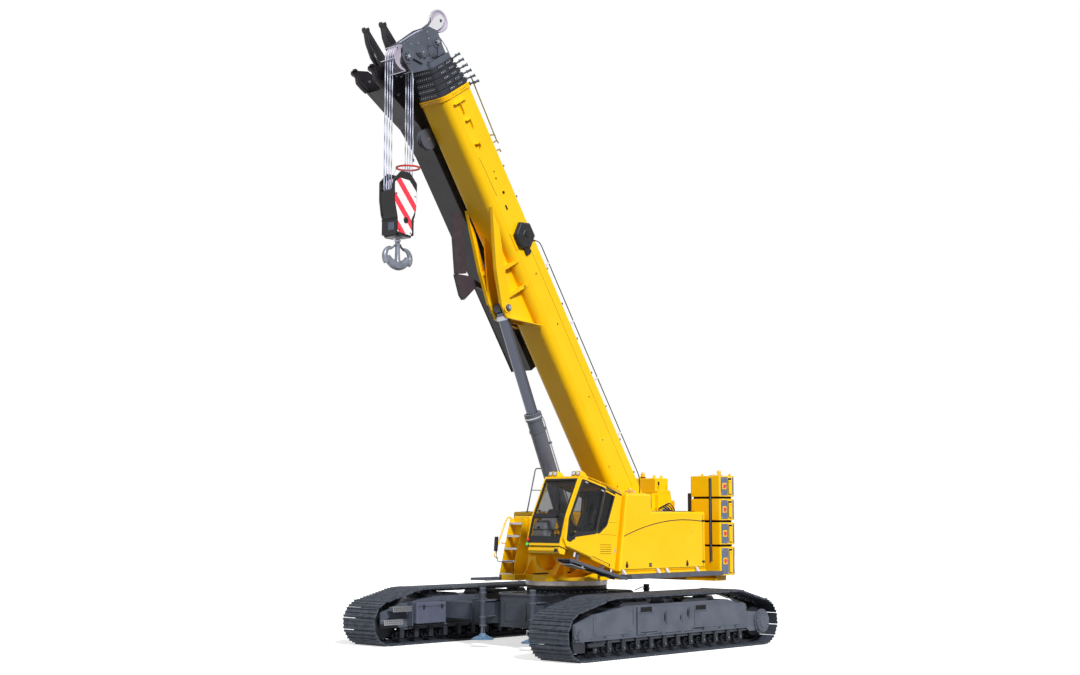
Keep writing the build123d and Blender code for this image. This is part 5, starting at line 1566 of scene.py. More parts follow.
    def handle(self, shape: Shape, x: float, z: float, face: float) -> None:
        """Add a drop-shaped recessed door handle.

        Args:
            shape: The housing.
            x: Its middle.
            z: Its height.
            face: Y of the door, whose sign says which side it is on.
        """
        side = 1 if face > 0 else -1
        drop = arc((x, z - 0.022), 0.040, 155, 385, 14) + [(x + 0.006, z + 0.072), (x - 0.006, z + 0.072)]
        shape.use(PLASTIC).prism(drop, *sorted((face - side * 0.002, face + side * 0.012)), bevel=0.003)
        shape.use(BLACK_BOLT).box((x - 0.008, x + 0.008),
                                  sorted((face + side * 0.010, face + side * 0.020)),
                                  (z - 0.045, z + 0.030), 0.003)

    def left_housing(self) -> Shape:
        """Draw the engine's housing on the left with its raised front part."""
        rear, (low_front, high_front) = self.housing_rear, self.housing_front
        bottom, top = self.housing_bottom, self.housing_top
        step_x, step_z = self.housing_step
        shape = Shape().use(YELLOW)
        outline = ((rear, bottom), (low_front, bottom), (high_front, step_z), (step_x, step_z),
                   (step_x, top), (rear, top))
        shape.prism(outline, self.housing_in, self.housing_out, bevel=0.045, segments=4)
        face = self.housing_out
        self.housing_seams(shape, face, rear, low_front, (-2.67,), 2.71)
        # The thin curved line that crosses the door, its locks and the rounded edge under the roof
        shape.use(PLASTIC)
        line = [(x, 2.62 - 0.0817 * (x + 2.0) ** 2) for x in [0.02 - 0.09 * k for k in range(31)]]
        lower = [(x, z - 0.017) for x, z in reversed(line)]
        shape.prism(line + lower, face - 0.002, face + 0.004)
        self.handle(shape, -0.07, 1.69, face)
        self.handle(shape, -2.10, 1.68, face)
        shape.use(PLASTIC).box((-0.880, -0.800), (face - 0.002, face + 0.012), (1.635, 1.715), 0.004)
        shape.use(ZINC).rod((-0.84, face + 0.010, 1.675), (-0.84, face + 0.016, 1.675), 0.016, 16)
        bolts(shape, [Spot((x, face, z), (0, 1, 0)) for x in (-2.50, -2.30) for z in (1.62, 2.00, 2.36)],
              0.006, BLACK_BOLT)
        self.roof(shape, rear, step_x, top)
        # The raised part's lid and lifting eyes
        shape.use(YELLOW)
        shape.box((step_x + 0.06, high_front - 0.06), (self.housing_in + 0.10, self.housing_out - 0.10),
                  (step_z, step_z + 0.018), 0.008)
        for x in (step_x + 0.16, high_front - 0.16):
            shape.use(ZINC).pipe(((x, 1.02, step_z), (x, 1.02, step_z + 0.07), (x, 1.28, step_z + 0.07),
                                  (x, 1.28, step_z)), 0.010,
                                 0.03)
        return shape

    def right_housing(self) -> Shape:
        """Draw the tank housing on the right with the block that the steps lean on."""
        rear, front, bottom, top = self.housing_rear, self.right_front, self.housing_bottom, self.housing_top
        shape = Shape().use(YELLOW)
        shape.box((rear, front), (-self.housing_out, -self.housing_in), (bottom, top), 0.045, 4)
        ahead, outer, lid = self.step_block
        shape.box((front - 0.06, ahead), (outer, -self.housing_in), (bottom, lid), 0.030, 3)
        face = -self.housing_out
        self.housing_seams(shape, face, rear, front, (-2.05, -1.36, -0.66), top - 0.06)
        self.handle(shape, -0.34, 1.86, face)
        self.handle(shape, -1.70, 1.86, face)
        self.louvres(shape, -2.62, -2.16, 2.02, 2.46, face)
        self.roof(shape, rear, front, top, -1)
        shape.use(SHADOW).box((front - 0.002, front + 0.003), (-1.55, -1.24), (1.70, 1.706), 0)
        shape.use(PLASTIC).turned(((0, 0.075), (0.030, 0.075), (0.040, 0.06)), (-0.32, -1.15, top),
                                  (0, 0, 1), 28)
        return shape

    def louvres(self, shape: Shape, low: float, high: float, bottom: float, top: float,
                face: float) -> None:
        """Add a framed grille of slanting slats.

        Args:
            shape: The housing.
            low: Its rear edge.
            high: Its front edge.
            bottom: Its lower edge.
            top: Its upper edge.
            face: Y of the housing's side, whose sign says which side it is.
        """
        side = 1 if face > 0 else -1
        outline = rounded(((low, bottom), (high, bottom), (high, top), (low, top)), 0.03, 3)
        shape.use(SHADOW).prism(outline, *sorted((face - side * 0.002, face + side * 0.002)))
        shape.use(PLASTIC).rim(inset(outline, -0.014), inset(outline, 0.012),
                               *sorted((face - side * 0.002, face + side * 0.010)), bevel=0.002)
        count = max(3, round((top - bottom) / 0.045))
        for step in range(count):
            z = bottom + (top - bottom) * (step + 0.5) / count
            slat = ((face, z + 0.014), (face + side * 0.009, z - 0.006), (face + side * 0.009, z - 0.011),
                    (face, z + 0.009))
            shape.prism(slat, low + 0.008, high - 0.008, Along.X)

    def roof(self, shape: Shape, rear: float, front: float, top: float, side: int = 1) -> None:
        """Add the grille, the exhaust and the grit strips on a housing's roof.

        Args:
            shape: The housing.
            rear: The flat roof's rear end.
            front: Its front end.
            top: Its height.
            side: 1 on the left, -1 on the right.
        """
        inner, outer = sorted((side * (self.housing_in + 0.14), side * (self.housing_out - 0.14)))
        shape.use(SHADOW).box((rear + 0.18, rear + 0.95), (inner, outer), (top - 0.002, top + 0.004), 0)
        shape.use(PLASTIC)
        for step in range(16):
            x = rear + 0.20 + 0.0475 * step
            shape.box((x, x + 0.014), (inner + 0.01, outer - 0.01), (top, top + 0.014), 0.002)
        shape.use(WALK_GREY).box((rear + 1.05, front - 0.12), (inner, outer), (top - 0.002, top + 0.005), 0)
        if side > 0:
            shape.use(WHEEL_STEEL).turned(((0, 0.085), (0.10, 0.085), (0.12, 0.062), (0.26, 0.062),
                                           (0.26, 0.052), (0.14, 0.052)),
                                          (rear + 1.28, 0.98, top), (0, 0, 1), 28)

    def drum(self, x: float, z: float) -> Shape:
        """Draw a winch drum with rope laid on it, its flanges and its axle."""
        half, radius = self.drum_half, self.winch_radius
        shape = Shape().use(ROPE_STEEL)
        turns, start, end = 28, -half + 0.020, half - 0.020
        pitch = (end - start) / turns
        profile = [(start, 0.16)]
        for step in range(turns):
            for share, rise in ((0.0, -0.004), (0.25, 0.002), (0.5, 0.004), (0.75, 0.002)):
                profile.append((start + (step + share) * pitch, radius - 0.006 + rise))
        profile.append((end, 0.16))
        shape.turned(profile, (x, 0, z), (0, 1, 0), 40)
        shape.use(DARK_GREY)
        for side in (-1, 1):
            shape.turned(((0, 0.06), (0, radius + 0.018), (0.018, radius + 0.018), (0.018, 0.18),
                          (0.040, 0.15), (0.040, 0.06)),
                         (x, side * (half - 0.018), z), (0, side, 0), 48)
            bolts(shape, bolt_ring((x, side * half, z), 0.215, 12, (0, side, 0)), 0.010)
            shape.use(DARK_GREY)
        shape.rod((x, -self.plate_out, z), (x, self.plate_out, z), 0.068, 28)
        return shape

    def winch_frames(self) -> Shape:
        """Draw the winches' gearbox covers on the outside of the boom's foot plates, and their hoses."""
        shape = Shape().use(DARK_GREY)
        for (x, z), turn in zip(self.winches, (0, 20)):
            shape.use(DARK_GREY).turned(((0, 0.245), (0.012, 0.245), (0.020, 0.215), (0.070, 0.200),
                                         (0.085, 0.12), (0.12, 0.11), (0.13, 0.07)),
                                        (x, self.plate_out + 0.001, z), (0, 1, 0), 40)
            bolts(shape, bolt_ring((x, self.plate_out + 0.014, z), 0.230, 16, (0, 1, 0), turn), 0.010)
            shape.use(DARK_GREY).turned(((0, 0.20), (0.016, 0.20), (0.024, 0.18), (0.05, 0.17),
                                         (0.06, 0.10)),
                                        (x, -self.plate_out - 0.001, z), (0, -1, 0), 40)
            shape.box((x - 0.09, x + 0.09), (-self.plate_out - 0.20, -self.plate_out - 0.03),
                      (z - 0.10, z + 0.10), 0.020, 3)
            bolts(shape, bolt_ring((x, -self.plate_out - 0.017, z), 0.19, 12, (0, -1, 0), turn), 0.009)
            shape.use(RUBBER)
            for step in range(3):
                dz = 0.05 * step
                shape.pipe(((x + 0.05, self.plate_out + 0.12, z + 0.10 - dz),
                            (x + 0.30, self.plate_out + 0.14, z - dz),
                            (x + 0.62, self.plate_out + 0.08, z - 0.30 - dz),
                            (x + 0.95, self.plate_out + 0.05, z - 0.45)), 0.013,
                           0.12)
        # Stiffeners along the foot plates' upper rear edge, and the brake lines' bright unions
        for side in (-1, 1):
            face = side * self.plate_out
            for x, z, tall in ((-2.42, 2.86, 0.30), (-2.20, 2.86, 0.30), (-3.00, 2.70, 0.34)):
                shape.use(YELLOW).box((x - 0.012, x + 0.012), sorted((face, face + side * 0.090)),
                                      (z, z + tall), 0.004)
            shape.use(DARK_GREY).box((-2.17, -2.08), sorted((face, face + side * 0.10)), (2.84, 3.12),
                                     0.020, 3)
        for step in range(4):
            x = -2.78 + 0.085 * step
            shape.use(RUBBER).pipe(((x, 0.50, 2.94 - 0.03 * step), (x, 0.60, 2.99 - 0.03 * step),
                                    (x - 0.10, 0.66, 2.86), (x - 0.16, 0.64, 2.60)), 0.014, 0.05)
            shape.use(ZINC).rod((x, 0.485, 2.94 - 0.03 * step), (x, 0.530, 2.955 - 0.03 * step), 0.022, 16,
                                0.003)
        shape.use(YELLOW).box((-2.55, -1.62), (0.52, 0.69), (1.49, 1.95), 0.020, 3)
        shape.use(SHADOW).box((-2.50, -1.66), (0.688, 0.694), (1.60, 1.606), 0)
        return shape

    def walkway(self) -> Shape:
        """Draw the walkway's edge rails, its ribs, its grip marks and the white brackets on it."""
        shape = Shape().use(WALK_GREY)
        low, top = -2.66, 1.500
        shape.box((-2.93, 0.20), (1.952, 1.964), (top - 0.090, top + 0.003), 0.003)
        shape.box((-2.93, low + 0.02), (1.62, 1.960), (top - 0.040, top - 0.004), 0.004)
        shape.box((-2.93, 0.20), (1.62, 1.955), (top - 0.090, top - 0.080), 0.003)
        for x in (-2.92, -2.20, -1.20, -0.30, 0.188):
            shape.box((x - 0.010, x + 0.010), (1.62, 1.955), (top - 0.082, top - 0.043), 0.002)
        groove = Shape().use(SHADOW).box((-0.045, 0.045), (-0.004, 0.004), (0, 0.0015), 0)
        spots = [Spot((low + 0.10 + 0.135 * i, 1.66 + 0.07 * j, top), (0, 0, 1),
                      (1, 0.4 * (-1) ** (i + j), 0))
                 for i in range(20) for j in range(4)]
        shape.use(SHADOW).graft(Repeat(groove).on_spots(spots))
        shape.use(WHITE_PAINT)
        for x in (0.08, -1.05, -1.35, -2.40):
            shape.prism(((1.625, 1.500), (1.720, 1.500), (1.700, 1.515), (1.660, 1.590), (1.625, 1.600)),
                        x - 0.030, x + 0.030, Along.X, 0.008)
            bolts(shape, [Spot((x + dx, 1.695, 1.512), (0, 0, 1)) for dx in (-0.020, 0.020)], 0.007)
            shape.use(WHITE_PAINT)
        return shape

    def ladder(self) -> Shape:
        """Draw the ladder: yellow side plates, aluminium treads with gripping holes, and its handrail."""
        near, far, top, foot, lean, depth = -0.780, -1.170, 2.640, 1.330, 0.380, 0.110
        back = self.step_block[0] + 0.0003
        shape = Shape().use(YELLOW)
        string = rounded(((back, top), (back + depth, top), (back + lean + depth, foot),
                          (back + lean, foot), (back, self.deck_top)), 0.03, 3)
        for y in (near, far):
            shape.prism(string, y - 0.012, y + 0.012, bevel=0.004)
        hole = Shape().use(SHADOW).turned(((0, 0.012), (0.0015, 0.012)), (0, 0, 0), (0, 0, 1), 8)
        spots = []
        for step in range(5):
            z = top - 0.090 - 0.268 * step
            x = back + (top - z) * lean / (top - foot)
            shape.use(ALLOY).box((x, x + 0.13), (far + 0.012, near - 0.012), (z - 0.028, z), 0.006)
            shape.box((x + 0.122, x + 0.131), (far + 0.012, near - 0.012), (z - 0.04, z + 0.006), 0.003)
            spots += [Spot((x + dx, far + 0.06 + 0.055 * k, z), (0, 0, 1)) for k in range(6)
                      for dx in (0.035, 0.085)]
        shape.use(SHADOW).graft(Repeat(hole).on_spots(spots))
        shape.use(YELLOW)
        y = far - 0.030
        rail = ((back + lean + 0.10, y, foot + 0.46), (back + lean + 0.20, y, foot + 0.50),
                (back + lean + 0.16, y, foot + 0.62), (back + depth + 0.10, y, top - 0.02),
                (back + depth + 0.02, y, top + 0.04), (back + 0.02, y, top - 0.02))
        shape.pipe(rail, 0.017, 0.07)
        shape.pipe(((back + 0.24, y, 2.10), (back + 0.36, y, 2.12)), 0.012, 0.02)
        shape.pipe(((back + 0.27, near + 0.012, 2.02), (back + 0.24, near + 0.05, 2.06),
                    (back + 0.25, near + 0.05, 2.16)), 0.012, 0.02)
        # The folded platform in front of the ladder's foot
        shape.use(WALK_GREY).box((0.92, 1.72), (far, near + 0.06), (1.388, 1.402), 0.003)
        for low, high in ((far, far + 0.012), (near + 0.048, near + 0.060)):
            shape.box((0.92, 1.72), (low, high), (1.352, 1.410), 0.003)
        shape.box((1.708, 1.722), (far, near + 0.06), (1.360, 1.412), 0.003)
        shape.box((0.86, 0.96), (far, near), (1.345, 1.385), 0.004)
        # The mirror that looks at the far track, on its thin arm
        y = -0.600
        arm = ((1.02, y, 1.47), (1.00, y, 1.745), (1.50, y, 1.742), (1.53, y, 2.10))
        shape.use(PLASTIC).pipe(arm, 0.010, 0.08)
        mirror = ((1.520, 1.965), (1.575, 1.965), (1.550, 2.265), (1.495, 2.265))
        shape.prism(mirror, y - 0.038, y + 0.038, bevel=0.014, segments=3)
        shape.use(MIRROR).prism(((1.516, 1.980), (1.520, 1.980), (1.497, 2.250), (1.493, 2.250)), y - 0.028,
                                y + 0.028)
        return shape

    def lights(self) -> Shape:
        """Draw the amber beacon and the grey guard rails."""
        shape = Shape().use(YELLOW)
        shape.box((-2.30, -1.30), (0.50, 0.70), (2.70, 2.80), 0.02)
        self.beacon(shape, (-1.05, 0.90, 3.16))
        shape.use(FRAME_GREY)
        y = -1.20
        shape.pipe(((-0.04, y, 2.79), (-0.31, y, 3.74), (-0.95, y, 3.74), (-0.95, y, 2.79)), 0.015, 0.06)
        shape.pipe(((-0.175, y, 3.26), (-0.95, y, 3.26)), 0.010, 0.02)
        for x in (-0.06, -0.95):
            shape.box((x - 0.045, x + 0.045), (y - 0.035, y + 0.035), (2.785, 2.797), 0.003)
        shape.use(WALK_GREY).box((-0.02, 0.38), (-1.16, -0.72), (2.690, 2.700), 0.003)
        return shape

    @staticmethod
    def beacon(shape: Shape, foot: Point) -> None:
        """Add an amber beacon on its rubber foot."""
        shape.use(PLASTIC).turned(((0, 0.062), (0.022, 0.062), (0.030, 0.050)), foot, (0, 0, 1), 28)
        shape.use(AMBER_LENS).turned(((0.028, 0.050), (0.10, 0.047), (0.125, 0.036), (0.135, 0.015)), foot,
                                     (0, 0, 1), 28)


@dataclass
class Counterweight:
    """The stacked slabs on each side and the block in the middle."""

    bottom: float = 1.394
    heights: tuple[float, ...] = (0.625, 0.484, 0.472, 0.459)
    joint: float = 0.048
    inner: float = 1.000
    outer: float = 1.825
    front: float = -3.030
    tail: float = 4.006
    block_x: Pair = (-2.975, -2.520)
    block_half: float = 0.416
    block_z: Pair = (2.965, 3.540)
    saddle_half: float = 0.485
    saddle_z: Pair = (3.2003, 3.260)

    def slab_outline(self) -> list[Pair]:
        """Return a slab's outline from above, with its curved back."""
        end = math.degrees(math.asin(self.inner / self.tail))
        start = math.degrees(math.asin(self.outer / self.tail))
        back = arc((0, 0), self.tail, 180 - start, 180 - end, 8)
        return [(self.front, self.outer)] + back + [(self.front, self.inner)]

    def build(self) -> None:
        """Build both stacks and the middle block."""
        left = self.stack()
        right = left.mirrored()
        for side, shape in (("left", left), ("right", right)):
            shape.piece(f"counterweight_{side}_dressed", "superstructure", "crane_yellow",
                        [f"counterweight_{side}"])
        self.middle().piece("rear_block_dressed", "superstructure", "crane_yellow", ["rear_block"])

    def stack(self) -> Shape:
        """Draw the left stack."""
        shape = Shape().use(YELLOW)
        outline = rounded(self.slab_outline(), 0.045, 3)
        level = self.bottom
        for index, height in enumerate(self.heights):
            shape.use(YELLOW).prism(outline, level, level + height, Along.Z, 0.022, 3)
            # The joint below each upper slab holds a near-black core: painted shade in the gap
            if index:
                shape.use(SHADOW).prism(inset(outline, 0.06), level - self.joint - 0.002, level + 0.002,
                                        Along.Z)
            self.pockets(shape, level, height)
            level += height + self.joint
        top = level - self.joint
        self.lugs(shape, top)
        # The long slot that the tie rod stands in, a near-black strip of painted shade, and the buffer at the
        # inner corner
        x, y = self.front, 1.560
        shape.use(SHADOW).box((x - 0.004, x + 0.004), (y - 0.036, y + 0.036), (1.70, top - 0.06), 0)
        shape.use(DARK_GREY).rod((x + 0.002, y, 1.68), (x + 0.002, y, top - 0.04), 0.016, 16, 0.003)
        shape.use(PLASTIC).box((x - 0.05, x + 0.030), (self.inner - 0.055, self.inner + 0.010),
                               (2.76, 3.20), 0.014, 3)
        return shape

    def pockets(self, shape: Shape, level: float, height: float) -> None:
        """Draw a slab's reflector plates, its lifting trunnion and the painted shade in the trunnion's
        hollow.

        Args:
            shape: The stack.
            level: Height of the slab's lower face.
            height: The slab's height.
        """
        x, side, middle = self.front, self.outer, level + height / 2
        low, high = level + 0.028, level + height - 0.028
        shape.use(REFLECTOR).box((x - 0.285, x - 0.030), (side - 0.004, side + 0.007), (low, high), 0.004)
        bolts(shape, [Spot((x - dx, side + 0.007, z), (0, 1, 0)) for dx in (0.055, 0.26)
                      for z in (low + 0.03, high - 0.03)],
              0.008, ZINC)
        shape.use(YELLOW).box((x - 0.225, x - 0.080), (side + 0.004, side + 0.013),
                              (middle - 0.070, middle + 0.070), 0.004)
        shape.use(RED_LENS).turned(((0, 0.050), (0.008, 0.050), (0.013, 0.040)),
                                   (x - 0.155, side + 0.012, middle), (0, 1, 0), 28)
        # The trunnion that slings hook under, in its hollow, which is a near-black sheet of painted shade
        shape.use(SHADOW).box((x - 0.425, x - 0.300), (side - 0.004, side + 0.002),
                              (low + 0.02, high - 0.02), 0)
        shape.use(YELLOW).rod((x - 0.362, side - 0.004, low + 0.03), (x - 0.362, side - 0.004, high - 0.06),
                              0.046, 24, 0.012)
        shape.rod((x - 0.362, side - 0.01, high - 0.10), (x - 0.362, side + 0.050, high - 0.10), 0.030, 20,
                  0.005)
        shape.use(REFLECTOR).box((x - 0.500, x - 0.455), (side - 0.004, side + 0.006), (low, high), 0.004)

    def lugs(self, shape: Shape, top: float) -> None:
        """Draw the lifting lugs and the tie bolts on a stack's top."""
        middle = (self.inner + self.outer) / 2
        for x in (self.front - 0.20, self.front - 0.62):
            for y in (middle - 0.22, middle + 0.22):
                lug = arc((x, top + 0.020), 0.036, -10, 190, 10) + [(x - 0.055, top), (x + 0.055, top)]
                shape.use(YELLOW).prism(lug, y - 0.014, y + 0.014, bevel=0.004)
                shape.use(SHADOW).turned(((-0.016, 0.014), (0.016, 0.014)), (x, y, top + 0.024), (0, 1, 0),
                                         16)
        Superstructure.beacon(shape, (-3.560, middle, top))
        bolts(shape, bolt_ring((self.front - 0.41, middle, top), 0.12, 4, (0, 0, 1), 45), 0.026)

    def middle(self) -> Shape:
        """Draw the block on the boom's foot plates: its casting, its saddle, its lugs and its beacon."""
        shape = Shape().use(YELLOW)
        low, high = self.block_z
        rear, front = self.block_x
        half = self.block_half
        shape.prism(rounded(((rear, low), (front, low), (front, high), (rear, high)), 0.020, 2), -half,
                    half, bevel=0.025, segments=3)
        shape.box((rear - 0.004, front + 0.004), (-self.saddle_half, self.saddle_half), self.saddle_z,
                  0.010)
        for side in (-1, 1):
            for x in (rear + 0.10, front - 0.10):
                face = side * half
                shape.prism(((x - 0.012, self.saddle_z[1]), (x + 0.012, self.saddle_z[1]),
                             (x + 0.012, self.saddle_z[1] + 0.12), (x - 0.012, self.saddle_z[1] + 0.12)),
                            *sorted((face, face + side * 0.050)), bevel=0.004)
            bolts(shape, [Spot((x, side * 0.452, self.saddle_z[1]), (0, 0, 1))
                          for x in (rear + 0.04, -2.75, front - 0.04)],
                  0.014)
            shape.use(SHADOW).box((-2.66, -2.60), sorted((side * half, side * (half + 0.003))),
                                  (3.30, 3.46), 0)
            shape.use(YELLOW)
            for x in (rear + 0.10, front - 0.10):
                lug = arc((0, high + 0.030), 0.038, -10, 190, 10) + [(-0.055, high), (0.055, high)]
                shape.prism([(x + a, b) for a, b in lug], side * 0.30 - 0.014, side * 0.30 + 0.014,
                            bevel=0.004)
        Superstructure.beacon(shape, (front - 0.07, 0.0, high))
        return shape


@dataclass
class Boom:
    """What is fixed to the base section, in the boom's own frame, and the collars of all sections."""

    place: Matrix
    half_width: float = 0.400
    half_height: float = 0.410
    tail: float = -0.330
    end: float = 10.296
    collar: float = 0.100
    collar_pitch: float = 0.118
    rim: float = 0.014
    step: float = 0.020
    sections: int = 5
    luff_pin: Pair = (5.824, -0.942)
    bracket_in: float = 0.140
    bracket_plate: float = 0.040

    def build(self) -> None:
        """Build the pieces."""
        self.sides().piece("boom_sides", "boom", "crane_yellow")
        self.luff_bracket().piece("luff_bracket", "boom", "crane_yellow")
        self.top_fittings().piece("boom_top_fittings", "boom", "crane_yellow")
        self.reel().piece("boom_reel_box", "boom", "black_plastic")
        for number in range(self.sections + 1):
            body = f"section_{number}" if number else "boom"
            slot = "head_grey" if number else "crane_yellow"
            self.collar_fittings(number).piece(f"collar_{number}", body, slot)

    def sides(self) -> Shape:
        """Draw the weld seams, the holes and the small brackets on both sides of the base section."""
        shape = Shape(self.place)
        for side in (-1, 1):
            face = side * self.half_width
            near, far = sorted((face - side * 0.002, face + side * 0.003))
            shape.use(SHADOW).prism(((7.984, -0.149), (8.861, -0.176), (8.861, -0.168), (7.984, -0.141)),
                                    near, far)
            shape.prism(((0.60, 0.156), (6.55, 0.156), (6.55, 0.161), (0.60, 0.161)), near, far)
            shape.use(YELLOW)
            for low, high in ((0.55, 3.35), (3.50, 6.95), (7.10, 9.95)):
                line = ((low, -0.226), (high, -0.226), (high, -0.238), (low, -0.238))
                shape.prism(line, *sorted((face - side * 0.002, face + side * 0.005)), bevel=0.002,
                            segments=1)
            for along, across, radius in ((8.444, 0.062, 0.018), (8.299, 0.034, 0.022),
                                          (7.959, 0.073, 0.036), (6.10, 0.02, 0.020), (4.90, 0.02, 0.020),
                                          (3.10, 0.02, 0.020), (2.10, -0.12, 0.018), (1.50, -0.26, 0.016),
                                          (1.00, -0.26, 0.016)):
                self.hole(shape, along, across, radius, side)
            slot = rounded(((7.60, -0.040), (7.715, -0.040), (7.715, 0.006), (7.60, 0.006)), 0.022, 4)
            shape.use(SHADOW).prism(slot, near, far)
            shape.use(YELLOW)
            self.pivot_side(shape, side)
        self.side_brackets(shape)
        return shape

    def side_brackets(self, shape: Shape) -> None:
        """Draw the welded angles high on the left side, the cable along its edge and its clips."""
        face = self.half_width
        shape.use(YELLOW)
        # A T of two plates below the collar, and an angle with a foot lower down
        shape.box((10.040, 10.068), (face, face + 0.065), (-0.262, 0.106), 0.004)
        shape.box((9.80, 10.045), (face, face + 0.050), (-0.094, -0.070), 0.004)
        shape.box((9.985, 10.040), (face, face + 0.012), (-0.20, 0.04), 0.004)
        shape.box((9.640, 9.664), (face, face + 0.060), (-0.136, 0.020), 0.004)
        shape.box((9.040, 9.150), (face, face + 0.075), (-0.060, -0.038), 0.004)
        shape.box((9.128, 9.150), (face, face + 0.075), (-0.150, -0.038), 0.004)
        shape.box((9.460, 9.640), (face, face + 0.045), (-0.012, 0.010), 0.004)
        shape.use(SHADOW)
        for along, across in ((10.00, -0.14), (10.00, -0.02), (9.60, -0.08), (9.12, -0.10)):
            shape.turned(((0, 0.012), (0.002, 0.012)), (along, face + 0.012, across), (0, 1, 0), 12)
        # The cable from the reel down to the boom's foot, on white clips
        edge = self.half_height + 0.105
        shape.use(RUBBER).pipe(((6.85, face + 0.050, 0.16), (6.60, face - 0.020, edge),
                                (0.75, face - 0.020, edge), (0.35, face + 0.020, 0.20)), 0.011, 0.10, 8)
        for along in (6.10, 4.70, 3.30, 1.90):
            shape.use(WHITE_PAINT).box((along - 0.022, along + 0.022), (face - 0.034, face - 0.006),
                                       (edge - 0.140, edge + 0.018), 0.006)

    def hole(self, shape: Shape, along: float, across: float, radius: float, side: int) -> None:
        """Draw a ringed hole in a side plate."""
        face = side * self.half_width
        outer = arc((along, across), radius * 1.6, 0, 345, 23)
        inner = arc((along, across), radius, 0, 345, 23)
        shape.use(YELLOW).rim(outer, inner, *sorted((face - side * 0.002, face + side * 0.005)))
        shape.use(SHADOW).prism(inner, *sorted((face - side * 0.002, face + side * 0.002)))

    def pivot_side(self, shape: Shape, side: int) -> None:
        """Draw the doubling plate and its bolts round the boom's pivot, and the tail's stiffeners."""
        face = side * self.half_width
        outer = arc((0, 0), 0.285, 100, 260, 16) + [(0.75, -0.14), (0.92, 0.0), (0.75, 0.14)]
        shape.prism(outer, *sorted((face - side * 0.002, face + side * 0.018)), bevel=0.004)
        shape.use(YELLOW).prism(((-0.31, -0.36), (-0.27, -0.36), (-0.27, 0.36), (-0.31, 0.36)),
                                *sorted((face, face + side * 0.022)), bevel=0.004)

    def lean(self, across: float) -> float:
        """Return how far out the bracket's leaning leg is at a depth below the boom's middle."""
        low, high = -1.060, -self.half_height
        share = (across - low) / (high - low)
        return self.bracket_in + 0.030 + share * (self.half_width - 0.050 - self.bracket_in - 0.030)

    def luff_bracket(self) -> Shape:
        """Draw the bracket's two legs, which lean in from the boom's corners, their flanges and ribs."""
        shape = Shape(self.place).use(YELLOW)
        out = self.bracket_in + self.bracket_plate
        web = ((7.80, -0.400), (6.67, -0.860), (6.02, -1.055), (5.66, -1.055), (5.72, -0.900),
               (6.20, -0.760), (6.72, -0.620), (7.40, -0.400))
        flange = (((7.86, -0.385), 0.040), ((6.67, -0.872), 0.048), ((5.98, -1.066), 0.040))
        for side in (-1, 1):
            shape.plate([(x, side * self.lean(z), z) for x, z in web], (0, side * 0.018, 0), 0.004)
            for (first, half), (second, other) in zip(flange, flange[1:]):
                ends = [(first, -half), (first, half), (second, other), (second, -other)]
                corners = [(x, side * (self.lean(z) + 0.009) + shift, z) for (x, z), shift in ends]
                shape.plate(corners, (0.006, 0, 0.018), 0.004)
            for along, low, top in ((6.575, -0.880, -0.300), (6.015, -0.990, -0.250)):
                self.cross_rib(shape, side, along, low, top)
            rear = [(5.070, side * (self.lean(-0.41) + 0.050), -0.400),
                    (5.070, side * (self.lean(-0.41) - 0.035), -0.400),
                    (5.640, side * (self.lean(-1.05) - 0.035), -1.060),
                    (5.640, side * (self.lean(-1.05) + 0.050), -1.060)]
            shape.plate(rear, (0.018, 0, 0.010), 0.004)
            self.pin_boss(shape, side, out)
        shape.prism(((5.66, -1.068), (5.99, -1.068), (5.99, -1.050), (5.66, -1.050)), -out,
                    -self.bracket_in, bevel=0.004)
        return shape

    def cross_rib(self, shape: Shape, side: int, along: float, low: float, top: float) -> None:
        """Add a rib across a leg, whose outer edge sweeps in a hollow curve up to the boom's side.

        Args:
            shape: The shape that gets it.
            side: -1 or 1, the side of the boom.
            along: Where it stands.
            low: How deep it starts on the leg.
            top: How high it ends on the boom's side.
        """
        leg = self.lean(low) + 0.020
        sides = ((Vector((self.half_width + 0.012, top)), Vector((leg + 0.085, -0.520))),
                 (Vector((0.030, -0.405)), Vector((leg - 0.090, -0.520))))
        foot, edge = Vector((leg, low)), []
        for start, bend in sides:
            edge.append([tuple(start * (1 - t) ** 2 + bend * 2 * t * (1 - t) + foot * t ** 2)
                         for t in (k / 10 for k in range(11))])
        curve = edge[0] + edge[1][-2::-1]
        inner = [(self.half_width - 0.020, -0.405), (self.half_width - 0.020, top)]
        shape.plate([(along, side * y, z) for y, z in curve + inner], (0.020, 0, 0), 0.003)
        lip = [(along - 0.030, side * y, z) for y, z in curve]
        lip += [(along + 0.050, side * y, z) for y, z in reversed(curve)]
        for index in range(len(curve) - 1):
            quad = [lip[index], lip[index + 1], lip[-index - 2], lip[-index - 1]]
            shape.plate(quad, (0, 0, -0.010))

    def pin_boss(self, shape: Shape, side: int, out: float) -> None:
        """Draw the bright pin end and its boss on one plate of the bracket."""
        along, across = self.luff_pin
        face = side * out
        outer, inner = arc((along, across), 0.112, 0, 350, 35), arc((along, across), 0.070, 0, 350, 35)
        shape.use(YELLOW).rim(outer, inner, *sorted((face - side * 0.004, face + side * 0.040)),
                              bevel=0.004)
        shape.use(DARK_GREY).turned(((0, 0.068), (0.075, 0.068), (0.085, 0.058)),
                                    (along, face - side * 0.004, across), (0, side, 0), 28)
        shape.use(ZINC).turned(((0, 0.040), (0.014, 0.040), (0.020, 0.030)),
                               (along, face + side * 0.080, across), (0, side, 0), 24)
        bolts(shape, bolt_ring((along, face + side * 0.036, across), 0.092, 8, (0, side, 0)), 0.008)
        shape.use(YELLOW)

